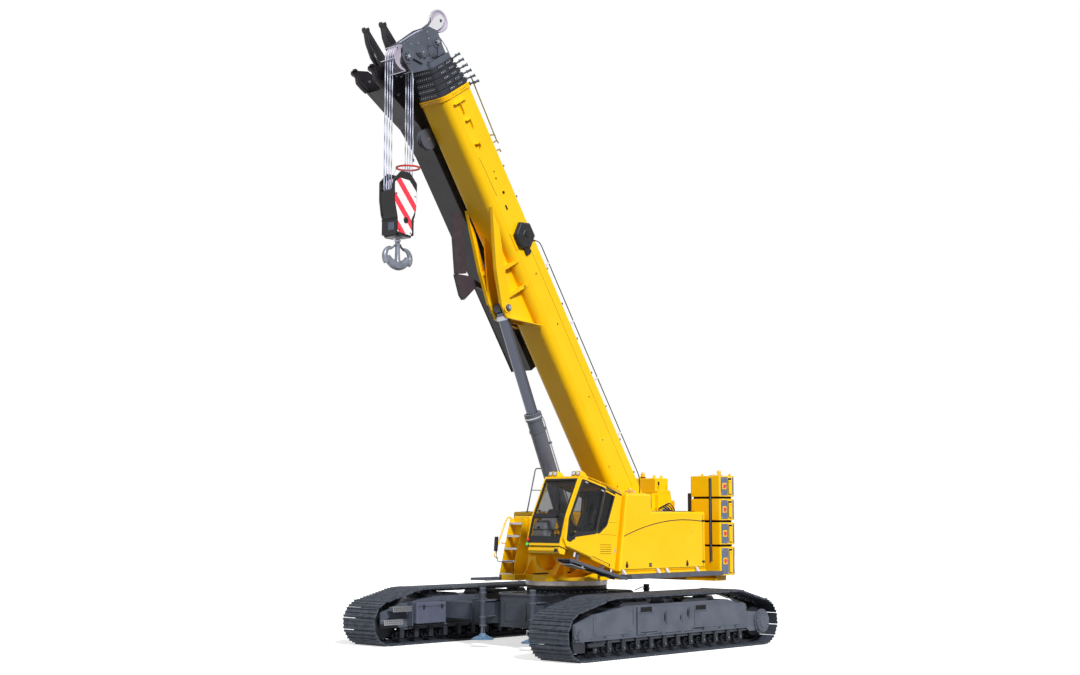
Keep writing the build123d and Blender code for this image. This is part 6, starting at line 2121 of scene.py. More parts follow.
    def top_fittings(self) -> Shape:
        """Draw the rope guides, the hoist rope, the grip plates and the khaki rod along the boom's top."""
        shape = Shape(self.place)
        top = self.half_height
        for along in (1.15, 2.60, 4.60, 6.60, 8.80, 10.05):
            shape.use(YELLOW)
            for y in (-0.135, 0.135):
                cheek = ((along - 0.10, top - 0.002), (along + 0.10, top - 0.002),
                         (along + 0.04, top + 0.17), (along - 0.04, top + 0.17))
                shape.prism(cheek, y - 0.008, y + 0.008, bevel=0.003)
            roller = ((-0.120, 0.050), (-0.115, 0.056), (-0.08, 0.040), (0.08, 0.040), (0.115, 0.056),
                      (0.120, 0.050))
            shape.use(NYLON).turned(roller, (along, 0, top + 0.11), (0, 1, 0), 20)
            shape.use(ZINC).rod((along, -0.15, top + 0.11), (along, 0.15, top + 0.11), 0.014, 12)
        shape.use(ROPE_STEEL)
        for y in (-0.045, 0.045):
            shape.rod((1.10, y, top + 0.165), (10.28, y, top + 0.165), 0.011, 10)
        shape.use(WALK_GREY)
        for step in range(9):
            along = 0.55 + 1.05 * step
            for side in (-1, 1):
                shape.box((along, along + 0.80), sorted((side * 0.19, side * 0.30)),
                          (top - 0.001, top + 0.004), 0)
        # The sprung rod beside the top, and the forked rests at its lower end
        shape.use(KHAKI).rod((8.94, 0.36, top + 0.125), (10.35, 0.36, top + 0.165), 0.013, 14)
        for along, rise in ((8.76, 0.105), (8.94, 0.135)):
            shape.pipe(((along, 0.345, top - 0.01), (along, 0.360, top + rise),
                        (along - 0.070, 0.360, top + rise + 0.006)),
                       0.014, 0.03, 10)
        shape.pipe(((9.115, 0.34, top - 0.01), (9.115, 0.44, top - 0.01), (9.075, 0.45, top + 0.05)), 0.014,
                   0.03, 10)
        shape.use(DARK_GREY)
        for along in (0.90, 1.75, 2.60, 3.45, 4.30, 5.15, 6.00, 6.85, 7.70, 8.40):
            shape.prism(((along - 0.040, top - 0.002), (along + 0.040, top - 0.002),
                         (along + 0.015, top + 0.085), (along - 0.015, top + 0.085)), 0.315, 0.323,
                        bevel=0.002)
        return shape

    def reel(self) -> Shape:
        """Draw the six-sided cable reel on the boom's side with its bracket and its fixings."""
        shape = Shape(self.place)
        face = self.half_width
        along, across = 6.96, 0.09
        shell = ((0, 0.260), (0.020, 0.285), (0.095, 0.285), (0.120, 0.255), (0.128, 0.120), (0.150, 0.100))
        shape.use(PLASTIC).turned(shell, (along, face, across), (0, 1, 0), 6, 0.012)
        shape.turned(((0.035, 0.292), (0.045, 0.302), (0.070, 0.302), (0.080, 0.292)),
                     (along, face, across), (0, 1, 0), 6)
        shape.box((along - 0.40, along - 0.18), (face, face + 0.055), (across - 0.14, across + 0.02), 0.012,
                  3)
        bolts(shape, bolt_ring((along, face + 0.124, across), 0.190, 6, (0, 1, 0)), 0.010, BLACK_BOLT)
        shape.use(RUBBER).turned(((0, 0.060), (0.016, 0.060), (0.022, 0.048)),
                                 (along, face + 0.148, across), (0, 1, 0), 20)
        shape.use(YELLOW).box((along - 0.18, along + 0.20), (face - 0.002, face + 0.02),
                              (across - 0.34, across - 0.30), 0.004)
        return shape

    def hoop(self, shape: Shape, low: float, high: float, grow: float) -> None:
        """Add a hoop round the boom's section.

        Args:
            shape: The shape that gets it.
            low: Its lower edge along the boom.
            high: Its upper edge.
            grow: How far its face stands outside the base section's.
        """
        bands = []
        for out in (grow, grow - 0.018):
            wide, tall = self.half_width + out, self.half_height + out
            corners = ((wide, tall, 0.060, 0), (-wide, tall, 0.060, 90), (-wide, -tall, 0.180, 180),
                       (wide, -tall, 0.180, 270))
            band: list[Pair] = []
            for y, z, radius, start in corners:
                turn = radius + out
                centre = (y - math.copysign(turn, y), z - math.copysign(turn, z))
                band += arc(centre, turn, start, start + 90, 6)
            bands.append(band)
        shape.rim(bands[0], bands[1], low, high, Along.X)

    def collar_fittings(self, number: int) -> Shape:
        """Draw the wear pads' clamping plates, bolts and the top roller of one section's collar.

        Args:
            number: 0 for the base section, else the telescopic section's number.
        """
        shape = Shape(self.place)
        grow = self.rim - self.step * number
        wide, tall = self.half_width + grow, self.half_height + grow
        high = self.end + self.collar_pitch * number
        low = high - self.collar
        paint = COLLAR_GREY if number else YELLOW
        shape.use(paint)
        for start, out in ((low + 0.004, 0.012), (low + 0.038, 0.008), (low + 0.072, 0.010)):
            self.hoop(shape, start, start + 0.018, grow + out)
        for side in (-1, 1):
            face = side * wide
            for across in (0.16, -0.10):
                shape.use(paint).box((low + 0.014, high - 0.010),
                                     sorted((face - side * 0.002, face + side * 0.014)),
                                     (across - 0.075, across + 0.075), 0.003)
            spots = [Spot(((low + high) / 2, face + side * 0.014, across + dz), (0, side, 0))
                     for across in (0.16, -0.10)
                     for dz in (-0.050, 0, 0.050)]
            bolts(shape, spots, 0.009, ZINC if number else BLACK_BOLT)
        for y in (-0.22, 0.22):
            shape.use(paint).box((low + 0.014, high - 0.010), (y - 0.10, y + 0.10),
                                 (tall - 0.002, tall + 0.014), 0.003)
        mid = (low + high) / 2
        bolts(shape, [Spot((mid, y + dy, tall + 0.014), (0, 0, 1)) for y in (-0.22, 0.22)
                      for dy in (-0.06, 0, 0.06)], 0.010,
              BLACK_BOLT)
        bolts(shape, [Spot((mid, -0.21 + 0.06 * k, -tall - 0.006), (0, 0, -1)) for k in range(8)], 0.008,
              ZINC)
        self.guide_roller(shape, number, mid, wide, tall)
        return shape

    def guide_roller(self, shape: Shape, number: int, mid: float, wide: float, tall: float) -> None:
        """Draw the bracket and roller that stand off a collar's upper left corner.

        Args:
            shape: The shape that gets them.
            number: The collar's number.
            mid: Middle of the collar along the boom.
            wide: Half its width.
            tall: Half its height.
        """
        foot = (mid - 0.004, wide - 0.070, tall - 0.010)
        tip = (mid - 0.020 + 0.012 * number, wide + 0.050, tall + 0.135)
        shape.use(HEAD_GREY if number else PLASTIC).pipe((foot, tip), 0.018, 0.02, 10)
        shape.box((mid - 0.040, mid + 0.036), (wide - 0.110, wide - 0.020), (tall - 0.004, tall + 0.030),
                  0.006)
        spool = ((-0.052, 0.034), (-0.040, 0.036), (-0.030, 0.024), (0.030, 0.024), (0.040, 0.036),
                 (0.052, 0.034))
        shape.use(HEAD_GREY).turned(spool, tip, (0, 0.62, 0.78), 20)
        shape.use(ZINC).turned(((0.052, 0.020), (0.060, 0.020)), tip, (0, 0.62, 0.78), 12)
        shape.use(BLACK_BOLT)
        for shift in (-0.12, -0.20):
            shape.rod((mid, wide + shift, tall + 0.010), (mid, wide + shift + 0.020, tall + 0.090), 0.010,
                      8)


def sheave(shape: Shape, centre: Point, radius: float, width: float, bore: float) -> None:
    """Draw one grooved sheave of nylon.

    Args:
        shape: The shape that gets it.
        centre: Its middle, in the shape's frame.
        radius: Its radius over the flanges.
        width: Its width.
        bore: Radius of its bore.
    """
    half = width / 2
    side = [(half, bore), (half, bore * 1.6), (half * 0.5, bore * 1.8), (half * 0.5, radius * 0.78),
            (half, radius * 0.86), (half, radius), (half * 0.75, radius), (half * 0.35, radius - 0.024)]
    profile = [(-along, reach) for along, reach in side] + [(0, radius - 0.030)] + side[::-1]
    profile.append((-half, bore))
    shape.use(NYLON).turned(profile, centre, (0, 1, 0), 48)


@dataclass
class BoomHead:
    """The head's plates, sheaves and the small sheave on top, in the boom's frame."""

    place: Matrix
    end: float = 11.640
    half_width: float = 0.230
    axle: Pair = (11.325, -0.728)
    upper_axle: Pair = (11.284, 0.190)
    sheave_radius: float = 0.262
    sheave_pitch: float = 0.070
    sheaves: int = 4
    rooster: Pair = (11.590, 0.700)
    rooster_radius: float = 0.235

    def build(self) -> None:
        """Build the pieces."""
        sheaves = Shape(self.place)
        for step in range(self.sheaves):
            y = self.sheave_pitch * (step - (self.sheaves - 1) / 2)
            sheave(sheaves, (self.axle[0], y, self.axle[1]), self.sheave_radius, 0.060, 0.0555)
        sheaves.piece("head_sheaves_grooved", "main_sheaves", "sheave_nylon", ["head_sheaves"])
        rooster = Shape(self.place)
        sheave(rooster, (self.rooster[0], 0, self.rooster[1]), self.rooster_radius, 0.060, 0.028)
        rooster.piece("rooster_sheave_grooved", "aux_sheave", "sheave_nylon", ["rooster_sheave"])
        self.plates().piece("boom_head_details", "section_5", "head_grey")

    def plates(self) -> Shape:
        """Draw axle caps, lightening rims, rope guards, white arm plates and the rope over the head."""
        shape = Shape(self.place)
        for side in (-1, 1):
            face = side * self.half_width
            for axle, radius in ((self.axle, 0.105), (self.upper_axle, 0.095)):
                shape.use(HEAD_GREY).turned(((0, radius * 1.35), (0.012, radius * 1.35),
                                             (0.018, radius * 1.2)),
                                            (axle[0], face, axle[1]), (0, side, 0), 32)
                cap = ((0, radius * 0.8), (0.036, radius * 0.8), (0.042, radius * 0.7))
                shape.use(COLLAR_GREY).turned(cap, (axle[0], face, axle[1]), (0, side, 0), 32)
                shape.use(ZINC).turned(((0, radius * 0.36), (0.012, radius * 0.36)),
                                       (axle[0], face + side * 0.042, axle[1]), (0, side, 0), 24)
                bolts(shape, bolt_ring((axle[0], face + side * 0.042, axle[1]), radius * 0.6, 6,
                                       (0, side, 0)), 0.008)
            self.face_plates(shape, side, face)
            shape.use(WHITE_PAINT)
            arm = rounded(((11.44, 0.30), (11.58, 0.24), (11.72, 0.62), (11.70, 0.78), (11.56, 0.82),
                           (11.46, 0.66)), 0.05, 3)
            shape.prism(arm, *sorted((side * 0.0585, side * 0.068)), bevel=0.003)
            shape.use(BLACK_BOLT).turned(((0, 0.030), (0.014, 0.030), (0.020, 0.02)),
                                         (self.rooster[0], side * 0.068, self.rooster[1]), (0, side, 0), 20)
        shape.use(ZINC)
        for along, across in ((11.00, -0.62), (11.10, -0.92), (11.42, -1.02), (11.60, -0.78)):
            shape.rod((along, -0.215, across), (along, 0.215, across), 0.011, 12)
        shape.use(ROPE_STEEL)
        along, across = self.upper_axle
        for y in (-0.045, 0.045):
            shape.pipe(((10.60, y, 0.575), (11.20, y, 0.575), (11.62, y, 0.30), (11.60, y, -0.60)), 0.011,
                       0.30, 8)
        shape.use(NYLON)
        for y in (-0.045, 0.045):
            sheave(shape, (along, y, across), 0.245, 0.056, 0.056)
        return shape

    def face_plates(self, shape: Shape, side: int, face: float) -> None:
        """Draw the folded stiffeners, the low ledge and the small plates on one side of the head.

        Args:
            shape: The shape that gets them.
            side: -1 or 1, the side of the head.
            face: Where that side's plate is.
        """
        shape.use(HEAD_GREY)
        near, far = sorted((face - side * 0.002, face + side * 0.045))
        for first, second in (((11.02, -0.28), (11.04, 0.26)), ((11.06, -0.44), (11.24, -0.62)),
                              ((11.10, 0.08), (11.20, 0.14)), ((11.30, -0.10), (11.32, 0.02)),
                              ((11.14, -0.34), (11.20, -0.12))):
            a, b = Vector(first), Vector(second)
            across = (b - a).normalized().orthogonal() * 0.011
            shape.prism([tuple(q) for q in (a - across, b - across, b + across, a + across)], near, far,
                        bevel=0.003)
        shape.prism(((11.10, -0.16), (11.30, -0.12), (11.27, 0.02), (11.12, -0.02)),
                    *sorted((face - side * 0.002, face + side * 0.016)), bevel=0.004)
        shape.use(COLLAR_GREY)
        shape.prism(((11.00, -0.12), (11.07, -0.12), (11.07, 0.04), (11.00, 0.04)), near, far, bevel=0.006)
        shape.prism(((11.16, -0.42), (11.30, -0.48), (11.27, -0.36), (11.17, -0.34)),
                    *sorted((face - side * 0.002, face + side * 0.020)), bevel=0.004)
        bolts(shape, [Spot((x, face, z), (0, side, 0)) for x, z in ((11.45, -0.30), (11.50, -0.50),
                                                                    (11.24, -0.26), (11.42, 0.02),
                                                                    (11.55, 0.06))], 0.011)


@dataclass
class Cylinder:
    """The luffing cylinder's rings, lines and eye, in its own frame."""

    place: Matrix
    barrel_start: float = 0.260
    barrel_length: float = 3.430
    barrel_radius: float = 0.165
    collar_radius: float = 0.183
    collar: float = 0.150

    def build(self, length: float) -> None:
        """Build the pieces.

        Args:
            length: From the lower pin to the rod's eye.
        """
        shape = Shape(self.place).use(DARK_GREY)
        start, end, r = self.barrel_start, self.barrel_length, self.barrel_radius
        for along in (start + 0.02, start + 0.50, end - 0.42):
            shape.turned(((0, r - 0.002), (0, r + 0.014), (0.05, r + 0.014), (0.05, r - 0.002),
                          (0, r - 0.002)), (along, 0, 0), (1, 0, 0), 48)
        collar = end - self.collar
        bolts(shape, bolt_ring((end, 0, 0), self.collar_radius - 0.028, 18, (1, 0, 0)), 0.011)
        shape.use(ZINC).turned(((0, self.collar_radius - 0.004), (0, self.collar_radius + 0.006),
                                (0.030, self.collar_radius + 0.006), (0.030, self.collar_radius - 0.004),
                                (0, self.collar_radius - 0.004)), (collar + 0.05, 0, 0), (1, 0, 0), 48)
        shape.use(ZINC).pipe(((start + 0.10, 0.11, 0.12), (start + 0.10, 0.13, 0.145),
                              (collar - 0.05, 0.13, 0.145), (collar + 0.02, 0.12, 0.13)), 0.014, 0.04, 10)
        shape.use(DARK_GREY).box((start + 0.02, start + 0.26), (-0.07, 0.07), (0.15, 0.225), 0.012, 3)
        bolts(shape, [Spot((start + x, y, 0.225), (0, 0, 1)) for x in (0.05, 0.23)
                      for y in (-0.045, 0.045)], 0.010)
        for along in (1.10, 1.90, 2.70):
            shape.use(DARK_GREY).box((along - 0.02, along + 0.02), (0.10, 0.155), (0.105, 0.165), 0.004)
        shape.piece("luff_barrel_details", "luff_barrel", "dark_steel")
        rod = Shape(self.place).use(ZINC)
        rod.turned(((0, 0.118), (0, 0.150), (0.05, 0.150), (0.09, 0.128), (0.09, 0.118), (0, 0.118)),
                   (length - 0.235, 0, 0), (1, 0, 0), 40)
        rod.use(HEAD_GREY).turned(((-0.09, 0.058), (-0.09, 0.114), (0.09, 0.114), (0.09, 0.058),
                                   (-0.09, 0.058)), (length, 0, 0), (0, 1, 0), 40)
        rod.piece("luff_rod_details", "luff_rod", "rod_chrome")


@dataclass
class StowedJib:
    """The folded jib's edges, prongs, pins and the stowing posts, in the boom's frame."""

    place: Matrix
    near: float = 0.572
    far: float = 1.150
    stows: Pair = (4.700, 7.400)

    def build(self) -> None:
        """Build the pieces."""
        shape = Shape(self.place).use(JIB_BLACK)
        near, far = -self.near, -self.far
        for across, low, high in ((-0.290, 4.02, 9.15), (0.050, 4.02, 9.15)):
            for y in (near, far):
                out = 0.012 if y == near else -0.012
                shape.box((low, high), sorted((y - out * 0.2, y + out)), (across - 0.030, across + 0.030),
                          0.004)
        for along in [4.30 + 0.80 * k for k in range(7)]:
            for y, out in ((near, 0.010), (far, -0.010)):
                shape.box((along - 0.018, along + 0.018), sorted((y, y + out)), (-0.27, 0.03), 0.003)
        shape.use(SHADOW)
        for along in [4.70 + 0.80 * k for k in range(6)]:
            for y, out in ((near, 0.002), (far, -0.002)):
                shape.prism(rounded(((along - 0.20, -0.20), (along + 0.20, -0.20), (along + 0.20, -0.04),
                                     (along - 0.20, -0.04)), 0.08, 4),
                            *sorted((y, y + out)))
        for y in (near - 0.030, far + 0.030):
            self.horn(shape, y)
            shape.use(ZINC)
            for along, across in ((11.05, -0.72), (10.62, -0.60)):
                shape.rod((along, y - 0.048, across), (along, y + 0.048, across), 0.030, 20, 0.004)
        for along in (10.45, 9.90, 9.40):
            for y, out in ((near, 1), (far, -1)):
                bolts(shape, [Spot((along, y, across), (0, out, 0)) for across in (-0.20, -0.08, 0.06)],
                      0.014, BLACK_BOLT)
        sheave = ((-0.030, 0.060), (-0.030, 0.215), (-0.018, 0.215), (-0.010, 0.185), (0.010, 0.185),
                  (0.018, 0.215), (0.030, 0.215), (0.030, 0.060))
        shape.use(DARK_GREY)
        for y in (near + 0.045, near + 0.120):
            shape.turned(sheave, (9.55, y, -0.47), (0, 1, 0), 36)
        shape.use(ZINC).rod((9.55, near - 0.010, -0.47), (9.55, near + 0.160, -0.47), 0.040, 20, 0.004)
        shape.use(JIB_BLACK).prism(((9.30, -0.29), (9.80, -0.29), (9.62, -0.56), (9.48, -0.56)), near,
                                   near + 0.012, bevel=0.003)
        shape.piece("jib_details", "boom", "jib_black")
        self.posts().piece("jib_stow_posts", "boom", "head_grey")

    def horn(self, shape: Shape, y: float) -> None:
        """Draw the forked ends of one side plate's two prongs, which hook over the head's pins.

        Args:
            shape: The shape that gets them.
            y: Middle of the side plate, across the boom.
        """
        shape.use(JIB_BLACK)
        for along, across, turn in ((11.350, -0.960, 0.0), (11.985, -0.200, 0.9)):
            ring = [(along + 0.078 * math.cos(a), across + 0.078 * math.sin(a))
                    for a in (turn + math.radians(15 + 270 * k / 14) for k in range(15))]
            mouth = [(along + 0.036 * math.cos(a), across + 0.036 * math.sin(a))
                     for a in (turn + math.radians(15 + 270 * k / 14) for k in range(14, -1, -1))]
            shape.prism(ring + mouth, y - 0.040, y + 0.040, bevel=0.004)
            shape.rod((along, y - 0.060, across), (along, y - 0.036, across), 0.052, 18, 0.004)
        bend = (((11.30, -0.930), (11.14, -0.985), (11.02, -0.925), (10.90, -0.870)),
                ((11.94, -0.235), (11.74, -0.300), (11.44, -0.330), (11.16, -0.285)))
        for path in bend:
            shape.swept([(a, y, b) for a, b in path], (0.052, 0.060, 0.066, 0.060), 0.75, 12)

    def posts(self) -> Shape:
        """Draw the posts that the stowed jib hangs on, below and beside the boom."""
        shape = Shape(self.place).use(STOW_BROWN)
        for along in self.stows:
            shape.box((along - 0.075, along + 0.075), (-self.near + 0.002, -0.402), (-0.078, 0.012), 0.008)
            for y in (-0.415, -self.near + 0.012):
                shape.box((along - 0.13, along + 0.13), (y - 0.010, y + 0.010), (-0.20, 0.13), 0.006)
                bolts(shape, [Spot((along + dx, y + 0.010, dz), (0, 1, 0)) for dx in (-0.09, 0.09)
                              for dz in (-0.16, 0.09)], 0.012)
                shape.use(STOW_BROWN)
        # The long upright in front of the jib, its elbow and the arm that carries it from the boom's far side
        upright = rounded(((7.985, -0.667), (7.864, -0.412), (6.734, -1.009), (6.855, -1.264)), 0.020, 3)
        shape.prism(upright, -0.535, -0.440, bevel=0.006)
        arm = rounded(((6.855, -1.264), (6.660, -0.975), (6.080, -0.540), (6.130, -0.690), (6.360, -0.880),
                       (6.300, -1.330), (6.420, -1.370)), 0.020, 3)
        shape.prism(arm, -0.525, -0.450, bevel=0.006)
        shape.prism(((6.30, -1.37), (6.42, -1.39), (6.86, -1.28), (6.74, -1.15), (6.40, -1.22)), -0.545,
                    -0.430, bevel=0.006)
        shape.box((5.95, 6.30), (-0.452, -0.398), (-0.66, -0.20), 0.008)
        shape.use(ZINC).rod((6.16, -0.545, -0.60), (6.16, -0.402, -0.60), 0.030, 20)
        bolts(shape, [Spot((x, -0.535, z), (0, -1, 0)) for x, z in ((7.75, -0.60), (7.35, -0.80),
                                                                    (6.95, -1.02))], 0.014,
              BLACK_BOLT)
        return shape


@dataclass
class Tackle:
    """The rope falls, the hook block and the double hook."""

    x: float
    head_z: float
    drop: float = 2.670
    sheave_radius: float = 0.262
    pitch: float = 0.070
    half_length: float = 0.300
    half_width: float = 0.236
    neck: float = 0.225
    top: float = 0.364
    bottom: float = 0.924
    hook_drop: float = 1.297
    bowl_offset: float = 0.180
    bowl_radius: float = 0.085
    bowl_out: float = 0.200
    shank: float = 0.048

    def build(self) -> None:
        """Build the pieces."""
        z = self.head_z - self.drop
        self.ropes(z).piece("falls_details", "falls", "rope_steel")
        self.block(z).piece("hook_block_dressed", "hook_block", "block_black", ["hook_block"])
        self.hook(z - self.hook_drop).piece("hook_forged", "hook", "hook_steel", ["hook"])

    def ring(self, shape: Shape, z: float) -> None:
        """Draw the red ring round the rear falls that trips the limit switch, with its slings to the block.

        Args:
            shape: The shape that gets them.
            z: Height of the block's sheaves.
        """
        level, radius = z + 0.500, 0.245
        centre = (self.x - 0.27, -0.02)
        outer, inner = arc(centre, radius, 0, 350, 35), arc(centre, radius - 0.032, 0, 350, 35)
        shape.use(RED_PAINT).rim(outer, inner, level, level + 0.034, Along.Z, 0.006)
        shape.use(ROPE_STEEL)
        for angle in (-50, 20, 60):
            x = centre[0] + (radius - 0.016) * math.cos(math.radians(angle))
            y = centre[1] + (radius - 0.016) * math.sin(math.radians(angle))
            shape.rod((x, y, level), (self.x + 0.02, math.copysign(self.half_width - 0.05, y), z + 0.28),
                      0.004, 6)

    def ropes(self, z: float) -> Shape:
        """Draw the thin wire that hangs from the head towards the limit switch's ring, and its weight."""
        shape = Shape().use(ROPE_STEEL)
        shape.rod((self.x - 0.16, 0.264, z + 0.62), (self.x - 0.10, 0.264, self.head_z - 0.28), 0.004, 6)
        shape.use(BLACK_BOLT).rod((self.x - 0.16, 0.264, z + 0.58), (self.x - 0.16, 0.264, z + 0.64), 0.014,
                                  10)
        return shape

    def side_plate(self, z: float, shrink: float = 0.0) -> list[Pair]:
        """Return the block's side outline.

        Args:
            z: Height of its sheaves.
            shrink: How much narrower and lower at the top it is.
        """
        half = [(0.110, self.top - shrink * 2), (self.half_length - shrink, 0.170 - shrink),
                (self.half_length - shrink, -0.190), (self.neck - shrink + 0.03, -0.480),
                (self.neck - shrink - 0.03, -0.620), (self.neck - shrink - 0.03, -0.860),
                (0.130, -self.bottom + shrink)]
        return [(self.x + a, z + b) for a, b in half + [(-a, b) for a, b in reversed(half)]]

    def block(self, z: float) -> Shape:
        """Draw the block: striped side plates, black cheeks, sheaves, guards and the cross-head."""
        shape = Shape().use(BLOCK_BLACK)
        outline = self.side_plate(z)
        stripes = [(self.x + a, z + b) for a, b in ((0.150, 0.220), (0.282, 0.120), (0.282, -0.240),
                                                    (0.235, -0.430), (0.205, -0.560), (0.205, -0.845),
                                                    (-0.125, -0.890), (-0.165, -0.820), (-0.150, -0.560),
                                                    (-0.225, -0.420), (-0.282, -0.240), (-0.282, -0.010),
                                                    (-0.090, 0.200))]
        for side in (-1, 1):
            low, high = sorted((side * (self.half_width - 0.060), side * (self.half_width - 0.012)))
            shape.use(BLOCK_BLACK).prism(rounded(outline, 0.025, 3), low, high, bevel=0.010)
            shape.use(STRIPES).prism(stripes,
                                     *sorted((side * (self.half_width - 0.013),
                                              side * (self.half_width - 0.003))), bevel=0.003)
            bolts(shape, [Spot((self.x + dx, side * (self.half_width - 0.003), z + dz), (0, side, 0))
                          for dx, dz in ((-0.24, -0.10), (0.24, -0.10), (-0.12, -0.84), (0.16, -0.80))],
                  0.012, BLACK_BOLT)
            shape.use(BLOCK_BLACK).turned(((0, 0.060), (0.012, 0.060), (0.016, 0.050)),
                                          (self.x, side * (self.half_width - 0.006), z - 0.60),
                                          (0, side, 0), 24)
        for step in range(4):
            y = self.pitch * (step - 1.5)
            sheave(shape, (self.x, y, z), self.sheave_radius, 0.060, 0.05)
        self.guards(shape, z)
        self.ring(shape, z)
        return shape

    def guards(self, shape: Shape, z: float) -> None:
        """Draw the curved guards before and behind the sheaves, the cross-head's box and its plates."""
        shape.use(BLOCK_BLACK)
        for sign in (-1, 1):
            curve = [(self.x + sign * 0.290, z - 0.02), (self.x + sign * 0.292, z - 0.20),
                     (self.x + sign * 0.250, z - 0.44), (self.x + sign * 0.215, z - 0.56)]
            inner = [(a - sign * 0.016, b) for a, b in reversed(curve)]
            shape.prism(curve + inner, -self.half_width + 0.03, self.half_width - 0.03, bevel=0.003)
            for y in (-0.155, 0.155):
                cheek = arc((self.x, z), 0.292, *((0, 62) if sign > 0 else (118, 180)), 10)
                inner = arc((self.x, z), 0.236, *((62, 0) if sign > 0 else (180, 118)), 10)
                shape.prism(cheek + inner, y - 0.022, y + 0.022, bevel=0.004)
        shape.box((self.x - 0.200, self.x + 0.200), (-0.18, 0.18), (z - self.bottom + 0.002, z - 0.500),
                  0.020, 3)
        for sign in (-1, 1):
            front = sorted((self.x + sign * 0.19, self.x + sign * 0.232))
            shape.use(BLOCK_BLACK).box(front, (-0.215, 0.215), (z - 0.88, z - 0.60), 0.014, 3)
            panel = sorted((self.x + sign * 0.225, self.x + sign * 0.236))
            shape.use(REFLECTOR).box(panel, (-0.020, 0.150), (z - 0.80, z - 0.65), 0.006)
            shape.use(BLOCK_BLACK).box(sorted((self.x + sign * 0.19, self.x + sign * 0.238)),
                                       (-0.222, 0.222), (z - 0.60, z - 0.575), 0.008)
        shape.use(ZINC).turned(((0, 0.095), (0.020, 0.095), (0.026, 0.080)),
                               (self.x, 0, z - self.bottom + 0.002), (0, 0, -1), 32)

    def hook(self, z: float) -> Shape:
        """Draw the forged double hook: a thick crescent with two horns, the shank and the latches."""
        shape = Shape().use(HOOK_STEEL)
        crescent, radii = [], []
        for step in range(17):
            angle = math.radians(-150 + 120 * step / 16)
            crescent.append((self.x + 0.305 * math.cos(angle), 0, z + 0.135 + 0.305 * math.sin(angle)))
            radii.append(0.058 + 0.036 * math.cos(math.radians(-75 + 150 * step / 16)))
        shape.swept(crescent, radii, 0.86, 22)
        mean = (self.bowl_radius + self.bowl_out) / 2 + 0.002
        thick = (self.bowl_out - self.bowl_radius) / 2
        for sign in (-1, 1):
            path, radii = [], []
            for step in range(15):
                angle = math.radians(-48 + 148 * step / 14)
                path.append((self.x + sign * (self.bowl_offset + mean * math.cos(angle)), 0,
                             z + mean * math.sin(angle) * 1.12))
                radii.append(thick * (1.14 - 0.62 * (step / 14) ** 1.5))
            shape.use(HOOK_STEEL).swept(path, radii, 0.88, 20)
            tip = path[-1]
            latch = (tip, (self.x + sign * 0.105, 0, z + 0.190), (self.x + sign * 0.045, 0, z + 0.235))
            shape.use(ZINC if sign > 0 else BLACK_BOLT).swept(latch, (0.020, 0.016, 0.018), 1.9, 10)
            shape.rod((self.x + sign * 0.045, -0.05, z + 0.235), (self.x + sign * 0.045, 0.05, z + 0.235),
                      0.014, 14)
        shape.use(HOOK_STEEL)
        profile = ((0, 0.082), (0.05, 0.074), (0.12, self.shank + 0.008), (0.24, self.shank + 0.002),
                   (0.30, self.shank), (0.36, self.shank), (0.50, self.shank))
        shape.turned(profile, (self.x, 0, z - 0.17), (0, 0, 1), 28)
        shape.use(ZINC).turned(((0, 0.062), (0.03, 0.062), (0.04, 0.052)), (self.x, 0, z + 0.30), (0, 0, 1),
                               24)
        return shape


